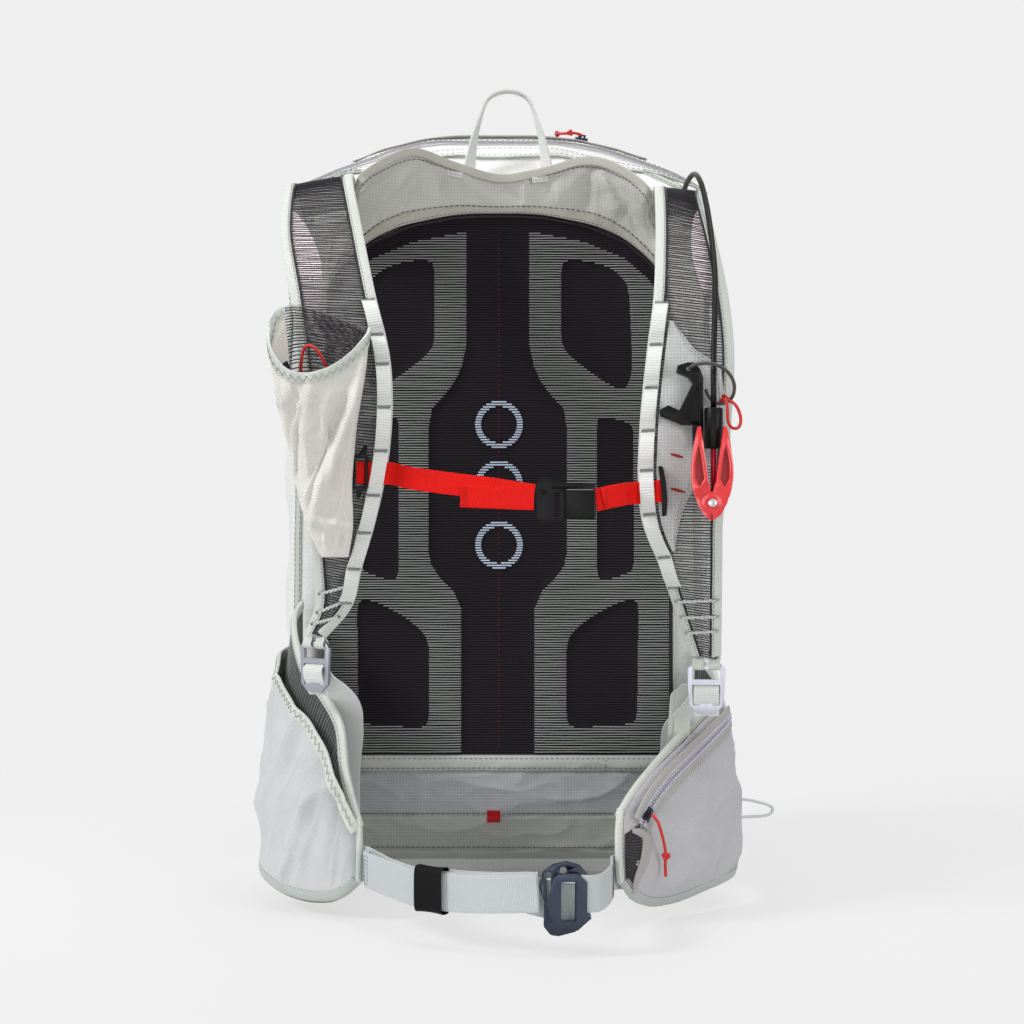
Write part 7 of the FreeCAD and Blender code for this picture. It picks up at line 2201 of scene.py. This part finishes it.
def packed_airbag(name, node, shift, thickness, seed):
    """A folded airbag that lies as an arch in the bag's shoulders and top."""
    deep = shift + thickness / 2
    outer = [(158.5, 420), (158, 512), (140, 538), (112, 551), (80, 560), (40, 565)]
    line = [(x - 5 - deep, z - (4 + deep if z > 420 else 0)) for x, z in outer]
    arch = [(x, -12.5, z) for x, z in line] + [(-x, -12.5, z) for x, z in line[::-1]]
    run = spline(mm(arch), 150)
    angle = circle(48)
    t = reach(run)[:, None]
    pleats = 1 + 0.05 * np.sin(9 * angle[None] + 6 * np.sin(t * 30 + seed))
    pleats = pleats + 0.04 * np.sin(t * 520 + angle[None])
    along = unit(np.gradient(run, axis=0))
    sides = np.cross(along, (0, 1, 0))
    thick = thickness / 2000 * 0.80 * signed_power(np.cos(angle), 0.6)
    wide = 0.0252 * signed_power(np.sin(angle), 0.6)
    rings = run[:, None] + sides[:, None] * (thick[None] * pleats)[..., None]
    rings = rings + np.array([0.0, 1.0, 0.0]) * (wide[None] * pleats)[..., None]
    shape = Shape()
    shape.rings(rings, np.stack(np.broadcast_arrays(angle[None] * 0.02, t), axis=-1))
    piece(name, shape, AIRBAG_CLOTH, "airbag_cloth", stands_for=[node])


packed_airbag("outer_airbag_folded", "airbag_outer_bladder", 0.0, 26.0, 1)
packed_airbag("inner_airbag_folded", "airbag_inner_bladder", 26.3, 24.0, 2)


# ---- Floors of the trigger's windows ---------------------------------------------------------------

TRIGGER_MIDDLE, SCREW_HEIGHT = 0.1416, 0.288
WINDOW_OUTLINE = mm([(8.2, 10.5), (11.2, 16), (11.4, 26), (9, 38), (7.4, 32), (5.2, 16)])
WEB_FRONT_Y, WEB_BACK_Y = -0.2702, -0.2690


def window_floors():
    """The thin web at the back of each red wing's window, so that it reads as a recess; its darker red than
    the wings is painted shade.
    """
    centre = WINDOW_OUTLINE.mean(axis=0)
    wide = centre + (WINDOW_OUTLINE - centre) * 1.05
    for side, name in ((-1, "left"), (1, "right")):
        x, z = TRIGGER_MIDDLE + side * wide[:, 0], SCREW_HEIGHT + wide[:, 1]
        count = len(x)
        front, back = (np.stack([x, np.full(count, y), z], axis=1) for y in (WEB_FRONT_Y, WEB_BACK_Y))
        order = list(range(count))
        faces = [order, [k + count for k in order[::-1]]]
        faces += [[k, k + count, (k + 1) % count + count, (k + 1) % count] for k in order]
        if side < 0:
            faces = [face[::-1] for face in faces]
        shape = Shape()
        points = np.concatenate([front, back])
        shape.add(points, faces, points[:, [0, 2]])
        piece(f"trigger_wing_{name}_web", shape, RECESS_SHADE_RED, "plastic_red", f"trigger_wing_{name}")


window_floors()


# ---- Hardware: CAD pieces with a finish and softened edges -----------------------------------------


def dress(node, finish, bevel):
    """Gives a CAD piece a finish, smooth shading, and rounded edges where bevel is not 0."""
    made = nodes[node]
    made.data.materials.clear()
    made.data.materials.append(finish)
    weld = made.modifiers.new("weld", "WELD")
    weld.merge_threshold = 0.00001
    if bevel:
        edges = made.modifiers.new("bevel", "BEVEL")
        edges.width = bevel
        edges.segments = 2
        edges.limit_method = "ANGLE"
        edges.angle_limit = math.radians(32)
        edges.harden_normals = True
    made.data.polygons.foreach_set("use_smooth", [True] * len(made.data.polygons))


HARDWARE = [
    ("hip_buckle_frame", DARK_METAL, 0.0007), ("hip_buckle_hook", DARK_METAL, 0.0007),
    ("left_strap_buckle", CAST_METAL, 0.0008), ("right_strap_buckle", CAST_METAL, 0.0008),
    ("sternum_buckle_plug", BLACK_PLASTIC, 0.0006), ("sternum_buckle_socket", BLACK_PLASTIC, 0.0011),
    ("sternum_slider_left", BLACK_PLASTIC, 0.0005), ("sternum_slider_right", BLACK_PLASTIC, 0.0007),
    ("trigger_wing_left", RED_PLASTIC, 0.0006), ("trigger_wing_right", RED_PLASTIC, 0.0006),
    ("trigger_core", BLACK_PLASTIC, 0.0005), ("trigger_rod", ROD_METAL, 0.0003),
    ("trigger_screw", STEEL, 0.0003), ("trigger_clip", BLACK_PLASTIC, 0.0006),
    ("cable_ferrule", BLACK_PLASTIC, 0.0008),
    ("cable_sheath", HOSE_RUBBER, 0.0), ("airbag_hose", HOSE_RUBBER, 0.0),
    ("top_zip_slider", DARK_METAL, 0.0004), ("front_zip_slider", DARK_METAL, 0.0004),
    ("hip_zip_slider", DARK_METAL, 0.0004), ("frame_sheet", FRAME_SHEET, 0.0004),
    ("frame_stay", ALUMINIUM, 0.0005), ("gas_cylinder", STEEL, 0.0), ("inflator_body", ALUMINIUM, 0.0008),
    ("inflator_cap", BLACK_PLASTIC, 0.0005), ("inflator_piston", STEEL, 0.0004),
]
for node, finish, bevel in HARDWARE:
    dress(node, finish, bevel)
